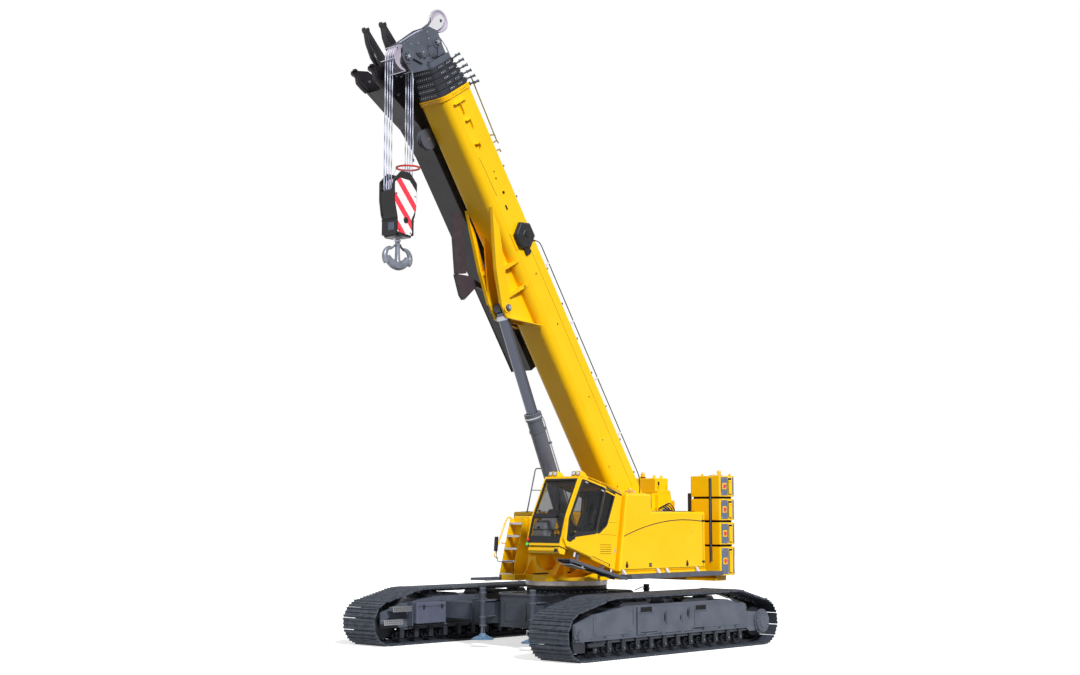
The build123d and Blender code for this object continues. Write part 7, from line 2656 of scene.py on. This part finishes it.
@dataclass
class Cab:
    """The cab's frames, seals, lamps, rails, seat and controls, in a frame from its lower rear corner."""

    place: Matrix
    right: float = 0.580
    left: float = 1.520
    length: float = 1.610
    nose: float = 1.745
    nose_low: float = 0.130
    nose_high: float = 0.560
    nose_bulge: float = 0.010
    wall: float = 0.045
    front_height: float = 1.490
    rear_height: float = 1.580
    rear_lean: float = 0.240
    door_rear: float = 0.800
    door_gap: float = 0.007
    door_thick: float = 0.036

    def build(self) -> None:
        """Build the pieces."""
        self.shell_trim().piece("cab_trim", "cab", "crane_yellow")
        self.front().piece("cab_front_trim", "cab", "crane_yellow")
        self.roof().piece("cab_roof_fittings", "cab", "crane_yellow")
        self.seat().piece("cab_seat_dressed", "cab", "seat_cloth", ["cab_seat"])
        self.controls().piece("cab_controls", "cab", "black_plastic", ["cab_console"])
        self.outside().piece("cab_lamps_and_mirror", "cab", "black_plastic")
        self.door().piece("cab_door_trim", "cab_door", "crane_yellow")

    def front_x(self, z: float) -> float:
        """Return how far forward the front face is at a height."""
        if z < self.nose_high:
            return self.nose + self.nose_bulge * (z - self.nose_low) / (self.nose_high - self.nose_low)
        share = (z - self.nose_high) / (self.front_height - 0.010 - self.nose_high)
        return self.nose + self.nose_bulge + (self.length - self.nose - self.nose_bulge) * share

    def quarter(self) -> list[Pair]:
        """Return the quarter window's outline."""
        return [(0.785, 0.600), (0.785, 1.470), (0.465, 1.485), (0.530, 0.810), (0.700, 0.600)]

    def shell_trim(self) -> Shape:
        """Draw the borders, seals, louvres and joints of the cab's sides and back."""
        shape = Shape(self.place)
        window = rounded(self.quarter(), 0.05, 4)
        face = self.left
        border = rounded(((0.797, 0.545), (0.797, 1.500), (0.432, 1.512), (0.498, 0.790), (0.690, 0.548)),
                         0.05, 4)
        shape.use(PLASTIC).rim(border, window, face - 0.004, face + 0.002)
        shape.rim(inset(window, -0.006), inset(window, 0.004), face - self.wall - 0.001, face)
        hole = rounded(((0.835, 0.070), (1.550, 0.070), (1.665, 0.170), (1.675, 0.560), (1.528, 1.428),
                        (0.835, 1.470)), 0.010, 2)
        shape.rim(inset(hole, -0.006), inset(hole, 0.004), face - self.wall - 0.001, face + 0.001)
        right_window = rounded(((1.675, 0.330), (1.685, 0.560), (1.535, 1.400), (0.390, 1.440),
                                (0.230, 0.560)), 0.06, 4)
        shape.use(RUBBER).rim(inset(right_window, -0.012), inset(right_window, 0.014), self.right - 0.006,
                              self.right + 0.012, bevel=0.003)
        shape.use(YELLOW)
        # Five pressed louvres that lie level while the cab leans, each with a dark strip of painted shadow
        # below it, and the joints round the panel
        for k in range(5):
            rear, front = (0.200 + 0.014 * k, 0.290 + 0.043 * k), (0.540 + 0.014 * k, 0.186 + 0.043 * k)
            shape.use(YELLOW).prism((rear, front, (front[0], front[1] + 0.016), (rear[0], rear[1] + 0.016)),
                                    face - 0.004, face + 0.004)
            shape.use(SHADOW).prism((rear, front, (front[0], front[1] - 0.010), (rear[0], rear[1] - 0.010)),
                                    face - 0.002, face + 0.001)
        for rear, front in (((0.215, 0.950), (0.690, 0.800)), ((0.160, 0.690), (0.640, 0.570))):
            shape.prism((rear, front, (front[0], front[1] - 0.005), (rear[0], rear[1] - 0.005)),
                        face - 0.002, face + 0.001)
        shape.use(PLASTIC)
        shape.box((0.245, 0.790), (face - 0.002, face + 0.004), (1.512, 1.545), 0)
        shape.box((0.170, 0.790), (face - 0.002, face + 0.004), (0.022, 0.070), 0)
        shape.use(ZINC).box((0.085, 0.125), (face - 0.002, face + 0.004), (0.33, 0.43), 0.002)
        shape.use(SHADOW)
        for k in range(10):
            shape.box((-0.002, 0.004), (self.right + 0.10 + 0.075 * k, self.right + 0.15 + 0.075 * k),
                      (0.25, 0.26), 0)
        return shape

    def front(self) -> Shape:
        """Draw the windscreen's frame and crossbar, the posts' black lines, cowl, wiper and grab rail."""
        shape = Shape(self.place)
        middle = (self.right + self.left) / 2

        def across_front(z_low: float, z_high: float, y_low: float, y_high: float, out: float, depth: float,
                         bevel: float = 0.004) -> None:
            """Draw a plate on the leaning front face between two heights and two widths."""
            a, b = self.front_x(z_low), self.front_x(z_high)
            outline = ((a - depth, z_low), (a + out, z_low), (b + out, z_high), (b - depth, z_high))
            shape.prism(outline, y_low, y_high, bevel=bevel)

        # The bonded glazing's black border, which covers the crossbar between the two panes
        shape.use(PLASTIC)
        across_front(0.556, 0.644, self.right + 0.030, self.left - 0.030, 0.005, 0.020, 0)
        across_front(1.386, 1.430, self.right + 0.030, self.left - 0.030, 0.005, 0.020, 0)
        for low, high in ((0.165, 0.558), (0.556, 1.430)):
            for edge, inward in ((self.right + 0.030, 1), (self.left - 0.030, -1)):
                across_front(low, high, *sorted((edge, edge + inward * 0.044)), 0.005, 0.020, 0)
        for side, edge in ((-1, self.right), (1, self.left)):
            for low, high in ((0.60, 1.02), (1.02, 1.47)):
                near, far = sorted((edge - side * 0.002, edge - side * 0.026))
                shape.use(YELLOW)
                across_front(low, high, near, far, 0.010, 0.01, 0.004)
        shape.use(RUBBER)
        for low, high in ((0.170, 0.560), (0.640, 1.390)):
            for z in (low - 0.010, high - 0.004):
                across_front(z, z + 0.014, self.right + 0.062, self.left - 0.062, 0.004, 0.012, 0)
            for y in (self.right + 0.062, self.left - 0.076):
                across_front(low, high, y, y + 0.014, 0.004, 0.012, 0)
        shape.use(YELLOW)
        # The chin below the glazing with its black lower edge, and the beam under it
        chin = ((1.44, -0.028), (self.nose + 0.004, -0.028), (self.nose + 0.006, 0.168),
                (self.nose - 0.02, 0.168), (1.60, 0.0))
        shape.prism(chin, self.right + 0.006, self.left - 0.006, bevel=0.008)
        shape.use(PLASTIC).box((self.nose + 0.002, self.nose + 0.009),
                               (self.right + 0.030, self.left - 0.030), (0.030, 0.166), 0)
        shape.use(SHADOW).box((1.46, self.nose + 0.008), (self.right + 0.004, self.left - 0.004),
                              (-0.036, -0.026), 0)
        beam = ((1.54, -0.034), (self.nose - 0.010, -0.034), (self.nose - 0.010, -0.120),
                (self.nose - 0.060, -0.170), (1.54, -0.150))
        shape.use(YELLOW).prism(beam, self.right + 0.080, self.left - 0.020, bevel=0.010)
        shape.use(SHADOW)
        for k in range(12):
            y = self.right + 0.14 + 0.058 * k
            shape.box((self.nose - 0.012, self.nose - 0.008), (y, y + 0.030), (-0.062, -0.050), 0)
        shape.use(PLASTIC).box((self.nose - 0.014, self.nose + 0.012),
                               (self.left - 0.130, self.left - 0.045), (-0.145, -0.080), 0.008)
        shape.use(PLASTIC)
        rail_x = self.nose + 0.035
        shape.pipe(((self.nose, self.right + 0.14, 0.29), (rail_x, self.right + 0.14, 0.30),
                    (rail_x, self.left - 0.14, 0.30), (self.nose, self.left - 0.14, 0.29)), 0.012, 0.04)
        shape.pipe(((self.front_x(0.62) + 0.02, middle + 0.22, 0.60),
                    (self.front_x(0.75) + 0.022, middle + 0.16, 0.78),
                    (self.front_x(1.12) + 0.018, middle + 0.02, 1.14)), 0.008, 0.06, 8)
        a, b = self.front_x(0.92) + 0.010, self.front_x(1.30) + 0.010
        shape.prism(((a, 0.92), (a + 0.010, 0.92), (b + 0.010, 1.30), (b, 1.30)), middle + 0.010,
                    middle + 0.020)
        shape.turned(((0, 0.035), (0.03, 0.032), (0.035, 0.02)),
                     (self.front_x(0.60) + 0.012, middle + 0.22, 0.60), (1, 0, 0), 20)
        # Sun blind rolled at the top of the windscreen
        shape.use(SEAT_CLOTH).rod((1.545, self.right + 0.09, 1.375), (1.545, self.left - 0.09, 1.375),
                                  0.028, 20)
        return shape

    def roof(self) -> Shape:
        """Draw the roof panel, its hatch, its hooded lamps, its rail and the seals along its edges."""
        shape = Shape(self.place).use(YELLOW)
        slope = (self.front_height - self.rear_height) / (self.length - 0.040 - self.rear_lean)

        def roof_z(x: float) -> float:
            """Return the roof's height at a place along it."""
            return self.rear_height + slope * (x - self.rear_lean)

        panel = ((self.rear_lean + 0.10, roof_z(self.rear_lean + 0.10) - 0.002),
                 (1.46, roof_z(1.46) - 0.002), (1.46, roof_z(1.46) + 0.018),
                 (self.rear_lean + 0.10, roof_z(self.rear_lean + 0.10) + 0.018))
        shape.prism(panel, self.right + 0.10, self.left - 0.10, bevel=0.008)
        shape.use(GLAZING)
        hatch = ((0.55, roof_z(0.55) + 0.017), (1.25, roof_z(1.25) + 0.017), (1.25, roof_z(1.25) + 0.024),
                 (0.55, roof_z(0.55) + 0.024))
        shape.prism(hatch, self.right + 0.20, self.left - 0.20, bevel=0.003)
        for y in (self.right + 0.16, self.left - 0.15):
            x = 1.48
            z = roof_z(x)
            hood = ((x - 0.16, z - 0.004), (x + 0.090, z - 0.004), (x + 0.100, z + 0.112),
                    (x - 0.02, z + 0.120), (x - 0.16, z + 0.05))
            shape.use(YELLOW).prism(hood, y - 0.135, y + 0.135, bevel=0.022, segments=3)
            for dy in (-0.062, 0.062):
                shape.use(PLASTIC).turned(((0, 0.050), (0.010, 0.050), (0.010, 0.043)),
                                          (x + 0.094, y + dy, z + 0.056), (1, 0, 0), 28)
                shape.use(CLEAR_LENS).turned(((0, 0.043), (0.008, 0.041), (0.014, 0.026)),
                                             (x + 0.100, y + dy, z + 0.056), (1, 0, 0), 28)
        shape.use(YELLOW)
        rail = self.left - 0.05
        shape.pipe(((0.34, rail, roof_z(0.34)), (0.34, rail, roof_z(0.34) + 0.055),
                    (1.46, rail, roof_z(1.46) + 0.055), (1.46, rail, roof_z(1.46))), 0.010, 0.03)
        shape.pipe(((0.90, rail, roof_z(0.90)), (0.90, rail, roof_z(0.90) + 0.055)), 0.008, 0.02)
        shape.use(RUBBER)
        for y in (self.right + 0.012, self.left - 0.022):
            shape.prism(((self.rear_lean + 0.01, roof_z(self.rear_lean) - 0.002),
                         (1.56, roof_z(1.56) - 0.002), (1.56, roof_z(1.56) + 0.010),
                         (self.rear_lean + 0.01, roof_z(self.rear_lean) + 0.010)), y, y + 0.010)
        return shape

    def seat(self) -> Shape:
        """Draw the driver's seat: cushions with bolsters, head rest, arm rests, seams and sprung base."""
        floor = 0.0715
        shape = Shape(self.place)
        middle = (self.right + self.left) / 2
        x, z = 0.80, 0.52
        shape.use(PLASTIC).box((x - 0.20, x + 0.22), (middle - 0.18, middle + 0.18), (floor + 0.002, 0.20),
                               0.02, 3)
        for k in range(5):
            shape.box((x - 0.17, x + 0.19), (middle - 0.16, middle + 0.16),
                      (0.205 + 0.042 * k, 0.228 + 0.042 * k), 0.008)
        shape.use(SEAT_CLOTH).box((x - 0.23, x + 0.27), (middle - 0.16, middle + 0.16), (z - 0.09, z),
                                  0.040, 4)
        for side in (-1, 1):
            low, high = sorted((middle + side * 0.155, middle + side * 0.235))
            shape.use(PLASTIC).box((x - 0.22, x + 0.25), (low, high), (z - 0.085, z + 0.020), 0.030, 4)
        back = ((x - 0.20, z - 0.02), (x - 0.12, z - 0.02), (x - 0.24, z + 0.56), (x - 0.33, z + 0.55))
        shape.use(SEAT_CLOTH).prism(back, middle - 0.15, middle + 0.15, bevel=0.030, segments=4)
        for side in (-1, 1):
            low, high = sorted((middle + side * 0.140, middle + side * 0.225))
            wing = ((x - 0.21, z), (x - 0.09, z), (x - 0.19, z + 0.50), (x - 0.32, z + 0.50))
            shape.use(PLASTIC).prism(wing, low, high, bevel=0.028, segments=4)
            arm = ((x - 0.18, z + 0.19), (x + 0.16, z + 0.17), (x + 0.17, z + 0.12), (x - 0.17, z + 0.13))
            low, high = sorted((middle + side * 0.205, middle + side * 0.240))
            shape.prism(arm, low, high, bevel=0.015, segments=3)
        head = ((x - 0.34, z + 0.54), (x - 0.24, z + 0.54), (x - 0.28, z + 0.60), (x - 0.36, z + 0.60))
        shape.use(SEAT_CLOTH).prism(head, middle - 0.11, middle + 0.11, bevel=0.022, segments=4)
        shape.use(SHADOW)
        for k in range(4):
            y = middle - 0.105 + 0.07 * k
            shape.box((x - 0.19, x + 0.24), (y - 0.002, y + 0.002), (z - 0.004, z + 0.001), 0)
        return shape

    def controls(self) -> Shape:
        """Draw the console, the screen, the levers and the pedals."""
        shape = Shape(self.place).use(LINING)
        middle = (self.right + self.left) / 2
        near = self.right + 0.065
        inner, outer = self.right + 0.046, self.left - 0.046
        # Lining: rear wall, roof, lower side panels and a floor mat
        shape.prism(((0.057, 0.074), (0.068, 0.074), (0.297, 1.500), (0.287, 1.522)), inner, outer)
        shape.prism(((0.290, 1.505), (0.615, 1.487), (0.615, 1.477), (0.292, 1.495)), inner, outer)
        shape.box((0.10, 0.90), (inner, inner + 0.012), (0.074, 0.520), 0.004)
        shape.use(RUBBER).box((0.07, 1.56), (inner, outer), (0.0715, 0.082), 0.003)
        rib = Shape().use(RUBBER).box((-0.006, 0.006), (-0.30, 0.30), (0, 0.003), 0)
        shape.graft(Repeat(rib).on_spots([Spot((1.10 + 0.03 * k, middle, 0.082), (0, 0, 1))
                                          for k in range(14)]))
        console = ((1.380, 0.0715), (1.500, 0.0715), (1.555, 0.560), (1.480, 0.695), (1.390, 0.685))
        shape.use(CAB_TRIM).prism(console, near, middle - 0.105, bevel=0.015, segments=3)
        shape.prism(((1.52, 0.084), (1.66, 0.150), (1.690, 0.42), (1.640, 0.54), (1.585, 0.55),
                     (1.555, 0.30)), near - 0.012,
                    near + 0.30, bevel=0.030, segments=4)
        shape.use(PLASTIC).turned(((0, 0.040), (0.012, 0.040), (0.016, 0.030)), (1.674, near + 0.13, 0.36),
                                  (1, 0, 0), 24)
        screen = ((1.40, 0.67), (1.46, 0.70), (1.39, 0.86), (1.33, 0.83))
        shape.prism(screen, near + 0.02, near + 0.27, bevel=0.010)
        shape.use(CLEAR_LENS).prism(((1.398, 0.685), (1.402, 0.688), (1.336, 0.834), (1.331, 0.831)),
                                    near + 0.04, near + 0.25)
        for dy in (-0.27, 0.27):
            y = middle + dy
            shape.use(PLASTIC).box((0.84, 1.08), (y - 0.055, y + 0.055), (0.50, 0.61), 0.025, 3)
            shape.use(RUBBER).turned(((0, 0.042), (0.03, 0.034), (0.06, 0.020)), (1.02, y, 0.61), (0, 0, 1),
                                     20)
            shape.use(PLASTIC).swept(((1.02, y, 0.66), (1.03, y, 0.72), (1.05, y, 0.80), (1.052, y, 0.83)),
                                     (0.012, 0.016, 0.026, 0.015), 1.0, 14)
        shape.use(WHEEL_STEEL)
        for y in (middle + 0.02, middle + 0.14, middle + 0.26):
            shape.prism(((1.44, 0.10), (1.47, 0.10), (1.58, 0.27), (1.56, 0.28)), y - 0.035, y + 0.035,
                        bevel=0.005)
        return shape

    def outside(self) -> Shape:
        """Draw the two lamps at the cab's nose and the step below its door."""
        shape = Shape(self.place)
        x, y = self.nose + 0.010, self.right + 0.055
        for z, lens in ((0.087, RED_LENS), (-0.005, GREEN_LENS)):
            shape.use(PLASTIC).turned(((-0.012, 0.040), (0.008, 0.040), (0.008, 0.034)), (x, y, z),
                                      (1, 0, 0), 24)
            shape.use(lens).turned(((0, 0.035), (0.016, 0.033), (0.028, 0.020)), (x + 0.004, y, z),
                                   (1, 0, 0), 24)
        self.step_plate(shape)
        return shape

    def step_plate(self, shape: Shape) -> None:
        """Draw the step below the door: a gritted plate in a bright frame, its brackets and folded toe.

        Args:
            shape: The shape that gets it.
        """
        low, high = (0.020, -0.165), (1.800, -0.300)
        near, far = self.left + 0.060, self.left + 0.400

        def level(x: float) -> float:
            """Return the plate's height at a place along the cab."""
            return low[1] + (x - low[0]) * (high[1] - low[1]) / (high[0] - low[0])

        plate = (low, high, (high[0], high[1] - 0.012), (low[0], low[1] - 0.012))
        shape.use(WALK_GREY).prism(plate, near, far, bevel=0.003)
        edge = ((low[0], low[1] + 0.008), (high[0], high[1] + 0.008), (high[0], high[1] - 0.050),
                (low[0], low[1] - 0.050))
        for y in (near - 0.006, far - 0.006):
            shape.use(FRAME_GREY).prism(edge, y, y + 0.012, bevel=0.003)
        for x in (0.30, 0.80, 1.30, 1.70):
            shape.use(FRAME_GREY).box((x - 0.008, x + 0.008), (near, far),
                                      (level(x) - 0.045, level(x) - 0.010), 0.002)
        # Arms that carry it from the cab's floor
        for x in (0.35, 1.15):
            arm = ((x - 0.03, 0.0), (x + 0.03, 0.0), (x + 0.03, level(x) - 0.014),
                   (x - 0.03, level(x) - 0.040))
            shape.use(DARK_GREY).prism(arm, self.left - 0.060, self.left - 0.020, bevel=0.004)
            shape.box((x - 0.03, x + 0.03), (self.left - 0.060, far - 0.03),
                      (level(x) - 0.046, level(x) - 0.014), 0.004)
        toe = ((1.30, level(1.30) - 0.090), (1.72, level(1.72) - 0.085), (1.72, level(1.72) - 0.097),
               (1.30, level(1.30) - 0.102))
        shape.use(ALLOY).prism(toe, near + 0.03, far - 0.01, bevel=0.003)
        for y in (near + 0.04, far - 0.02):
            shape.use(ALLOY).prism(((1.34, level(1.34) - 0.095), (1.40, level(1.40) - 0.095),
                                    (1.46, level(1.46) - 0.010), (1.43, level(1.43) - 0.010)), y - 0.006,
                                   y + 0.006)
        grit = Shape().use(SHADOW).box((-0.030, 0.030), (-0.003, 0.003), (0, 0.0015), 0)
        slope = (low[1] - high[1]) / (high[0] - low[0])
        spots = [Spot((low[0] + 0.06 + 0.09 * i, near + 0.05 + 0.06 * j, level(low[0] + 0.06 + 0.09 * i)),
                      (slope, 0, 1), (1, 0.4 * (-1) ** (i + j), 0)) for i in range(19) for j in range(5)]
        shape.graft(Repeat(grit).on_spots(spots))
        for x in (0.10, 1.28):
            shape.use(WHITE_PAINT).box((x - 0.025, x + 0.025), (self.left - 0.012, self.left + 0.004),
                                       (-0.110, -0.010), 0.006)

    def door(self) -> Shape:
        """Draw the sliding door's seal, its pressed panel, its handle and its hanging rollers."""
        shape = Shape(self.place)
        face = self.left + self.door_gap + self.door_thick
        window = rounded(((self.door_rear + 0.070, 0.560), (1.430, 0.375), (1.490, 0.235), (1.625, 0.235),
                          (1.650, 0.560), (1.498, 1.430), (self.door_rear + 0.070, 1.465)), 0.05, 4)
        border = rounded(((self.door_rear + 0.006, 0.520), (1.415, 0.262), (1.500, 0.130), (1.640, 0.115),
                          (1.712, 0.560), (1.566, 1.440), (self.door_rear + 0.006, 1.492)), 0.05, 4)
        shape.use(PLASTIC).rim(border, window, face - 0.004, face + 0.004)
        shape.rim(inset(window, -0.006), inset(window, 0.004), face - self.door_thick - 0.001, face)
        panel = rounded(((self.door_rear + 0.09, 0.10), (1.40, 0.10), (1.34, 0.24),
                         (self.door_rear + 0.09, 0.44)), 0.05, 4)
        shape.use(YELLOW).rim(panel, inset(panel, 0.010), face - 0.002, face + 0.004, bevel=0.001)
        # Dark joint along the lower edge
        shape.use(SHADOW).box((self.door_rear + 0.02, 1.58), (face - 0.002, face + 0.002), (0.022, 0.030),
                              0)
        shape.use(PLASTIC).box((1.42, 1.52), (face - 0.002, face + 0.018), (0.210, 0.250), 0.008, 3)
        shape.use(ZINC).turned(((0, 0.012), (0.004, 0.012)), (1.40, face, 0.230), (0, 1, 0), 16)
        shape.use(PLASTIC).pipe(((1.06, face - 0.03, 0.62), (1.06, face + 0.030, 0.66),
                                 (1.06, face + 0.030, 1.02), (1.06, face - 0.03, 1.06)),
                                0.011, 0.04)
        for x in (self.door_rear + 0.10, 1.42):
            shape.use(ZINC).box((x - 0.05, x + 0.05), (face - 0.004, face + 0.008), (1.395, 1.425), 0.004)
        return shape


@dataclass
class Studio:
    """Pale floor, soft light and the photograph's camera."""

    floor_half: float = 60.0
    floor_colour: str = "#F4F4F4"
    floor_glow: float = 0.62
    floor_bounce: str = "#4A4A4A"
    sky_strength: float = 0.26
    key_strength: float = 3.9
    key_from: tuple[float, float, float] = (0.33, 0.76, 0.56)
    key_angle: float = math.radians(12)
    fill_strength: float = 0.35
    fill_from: tuple[float, float, float] = (0.9, -0.2, 0.1)

    def build(self) -> None:
        """Build the floor, the sky, the lamps and the camera."""
        self.floor()
        self.sky()
        self.lamp("key", self.key_from, self.key_strength, self.key_angle)
        self.lamp("fill", self.fill_from, self.fill_strength, math.radians(60))
        self.camera()
        view = bpy.context.scene.view_settings
        view.view_transform = "Standard"

    def seen(self, tree: bpy.types.NodeTree) -> bpy.types.NodeSocket:
        """Tell rays that show the background from those that only carry its light.

        Args:
            tree: The node tree of the floor or the sky.

        Returns:
            A socket that is 1 for rays from the camera, from a glossy surface or through glass.
        """
        rays = add_node(tree, "ShaderNodeLightPath")
        seen = add_node(tree, "ShaderNodeMath", {0: rays.outputs["Is Camera Ray"],
                                                 1: rays.outputs["Is Glossy Ray"]},
                        operation="MAXIMUM")
        seen = add_node(tree, "ShaderNodeMath",
                        {0: seen.outputs[0], 1: rays.outputs["Is Transmission Ray"]}, operation="MAXIMUM")
        return seen.outputs[0]

    def floor(self) -> None:
        """Lay the floor: white with faint shadows to the camera, darker to what it would light from below."""
        half = self.floor_half
        solid = bmesh.new()
        solid.faces.new([solid.verts.new((x, y, 0)) for x, y in ((-half, -half), (half, -half),
                                                                 (half, half), (-half, half))])
        for face in solid.faces:
            face.smooth = True
        mesh = bpy.data.meshes.new("floor")
        solid.to_mesh(mesh)
        solid.free()
        material = bpy.data.materials.new("studio_floor")
        material.use_nodes = True
        tree = material.node_tree
        tree.nodes.clear()
        paint = add_node(tree, "ShaderNodeBsdfDiffuse", {"Color": linear(self.floor_colour)})
        glow = add_node(tree, "ShaderNodeEmission", {"Color": linear("#FFFFFF"),
                                                     "Strength": self.floor_glow})
        both = add_node(tree, "ShaderNodeAddShader", {0: paint.outputs["BSDF"],
                                                      1: glow.outputs["Emission"]})
        dim = add_node(tree, "ShaderNodeBsdfDiffuse", {"Color": linear(self.floor_bounce)})
        mixed = add_node(tree, "ShaderNodeMixShader", {0: self.seen(tree), 1: dim.outputs["BSDF"],
                                                       2: both.outputs["Shader"]})
        add_node(tree, "ShaderNodeOutputMaterial", {"Surface": mixed.outputs["Shader"]})
        mesh.materials.append(material)
        made = bpy.data.objects.new("floor", mesh)
        bpy.context.scene.collection.objects.link(made)

    def sky(self) -> None:
        """Light the scene from all round, with white behind it where the camera, gloss and glass look."""
        world = bpy.data.worlds.new("studio_sky")
        bpy.context.scene.world = world
        world.use_nodes = True
        tree = world.node_tree
        tree.nodes.clear()
        level = add_node(tree, "ShaderNodeMapRange", {"Value": self.seen(tree), "To Min": self.sky_strength,
                                                      "To Max": 1.0})
        back = add_node(tree, "ShaderNodeBackground", {"Color": linear("#FFFFFF"),
                                                       "Strength": level.outputs["Result"]})
        add_node(tree, "ShaderNodeOutputWorld", {"Surface": back.outputs["Background"]})

    def lamp(self, name: str, source: Point, strength: float, angle: float) -> None:
        """Add a broad distant lamp.

        Args:
            name: The lamp's name.
            source: The direction that its light comes from.
            strength: Its strength.
            angle: How broad it is.
        """
        light = bpy.data.lights.new(name, "SUN")
        light.energy = strength
        light.angle = angle
        made = bpy.data.objects.new(name, light)
        made.rotation_euler = Vector(source).to_track_quat("Z", "Y").to_euler()
        bpy.context.scene.collection.objects.link(made)

    def camera(self) -> None:
        """Set the camera where the photograph was taken from."""
        lens = bpy.data.cameras.new("camera")
        lens.sensor_width = SENSOR_WIDTH
        lens.lens = FOCAL_PIXELS / PHOTO_SIZE[0] * SENSOR_WIDTH
        lens.clip_end = 300
        made = bpy.data.objects.new("camera", lens)
        look = Vector((*CAMERA_LOOK, 0)).normalized() * math.cos(CAMERA_PITCH)
        look += Vector((0, 0, math.sin(CAMERA_PITCH)))
        made.location = CAMERA_PLACE
        made.rotation_euler = look.to_track_quat("-Z", "Y").to_euler()
        bpy.context.scene.collection.objects.link(made)
        bpy.context.scene.camera = made


def paint_nodes(frame: dict) -> None:
    """Give every CAD node its finish.
    """
    for name, node in frame["nodes"].items():
        node.data.materials.clear()
        node.data.materials.append(NODE_FINISHES[name].material())


def main() -> None:
    """Build the crane's looks and its studio."""
    logging.basicConfig(level=logging.INFO, format="%(name)s: %(message)s")
    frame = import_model()
    paint_nodes(frame)
    places = Places.read(frame)
    joints = {joint["name"]: joint for joint in frame["joints"]}
    TrackUnit().build()
    Undercarriage().build()
    Superstructure().build()
    Counterweight().build()
    boom = Boom(places.boom)
    boom.build()
    BoomHead(places.boom).build()
    rod_eye = places.boom @ Vector((boom.luff_pin[0], 0.0, boom.luff_pin[1]))
    rod_length = (places.cylinder.inverted() @ rod_eye).x
    Cylinder(places.cylinder).build(rod_length)
    StowedJib(places.boom).build()
    falls = joints["falls_hang"]["pos_m"]
    Tackle(falls[0], falls[2]).build()
    Cab(places.cab).build()
    Studio().build()


if __name__ == "__main__":
    main()
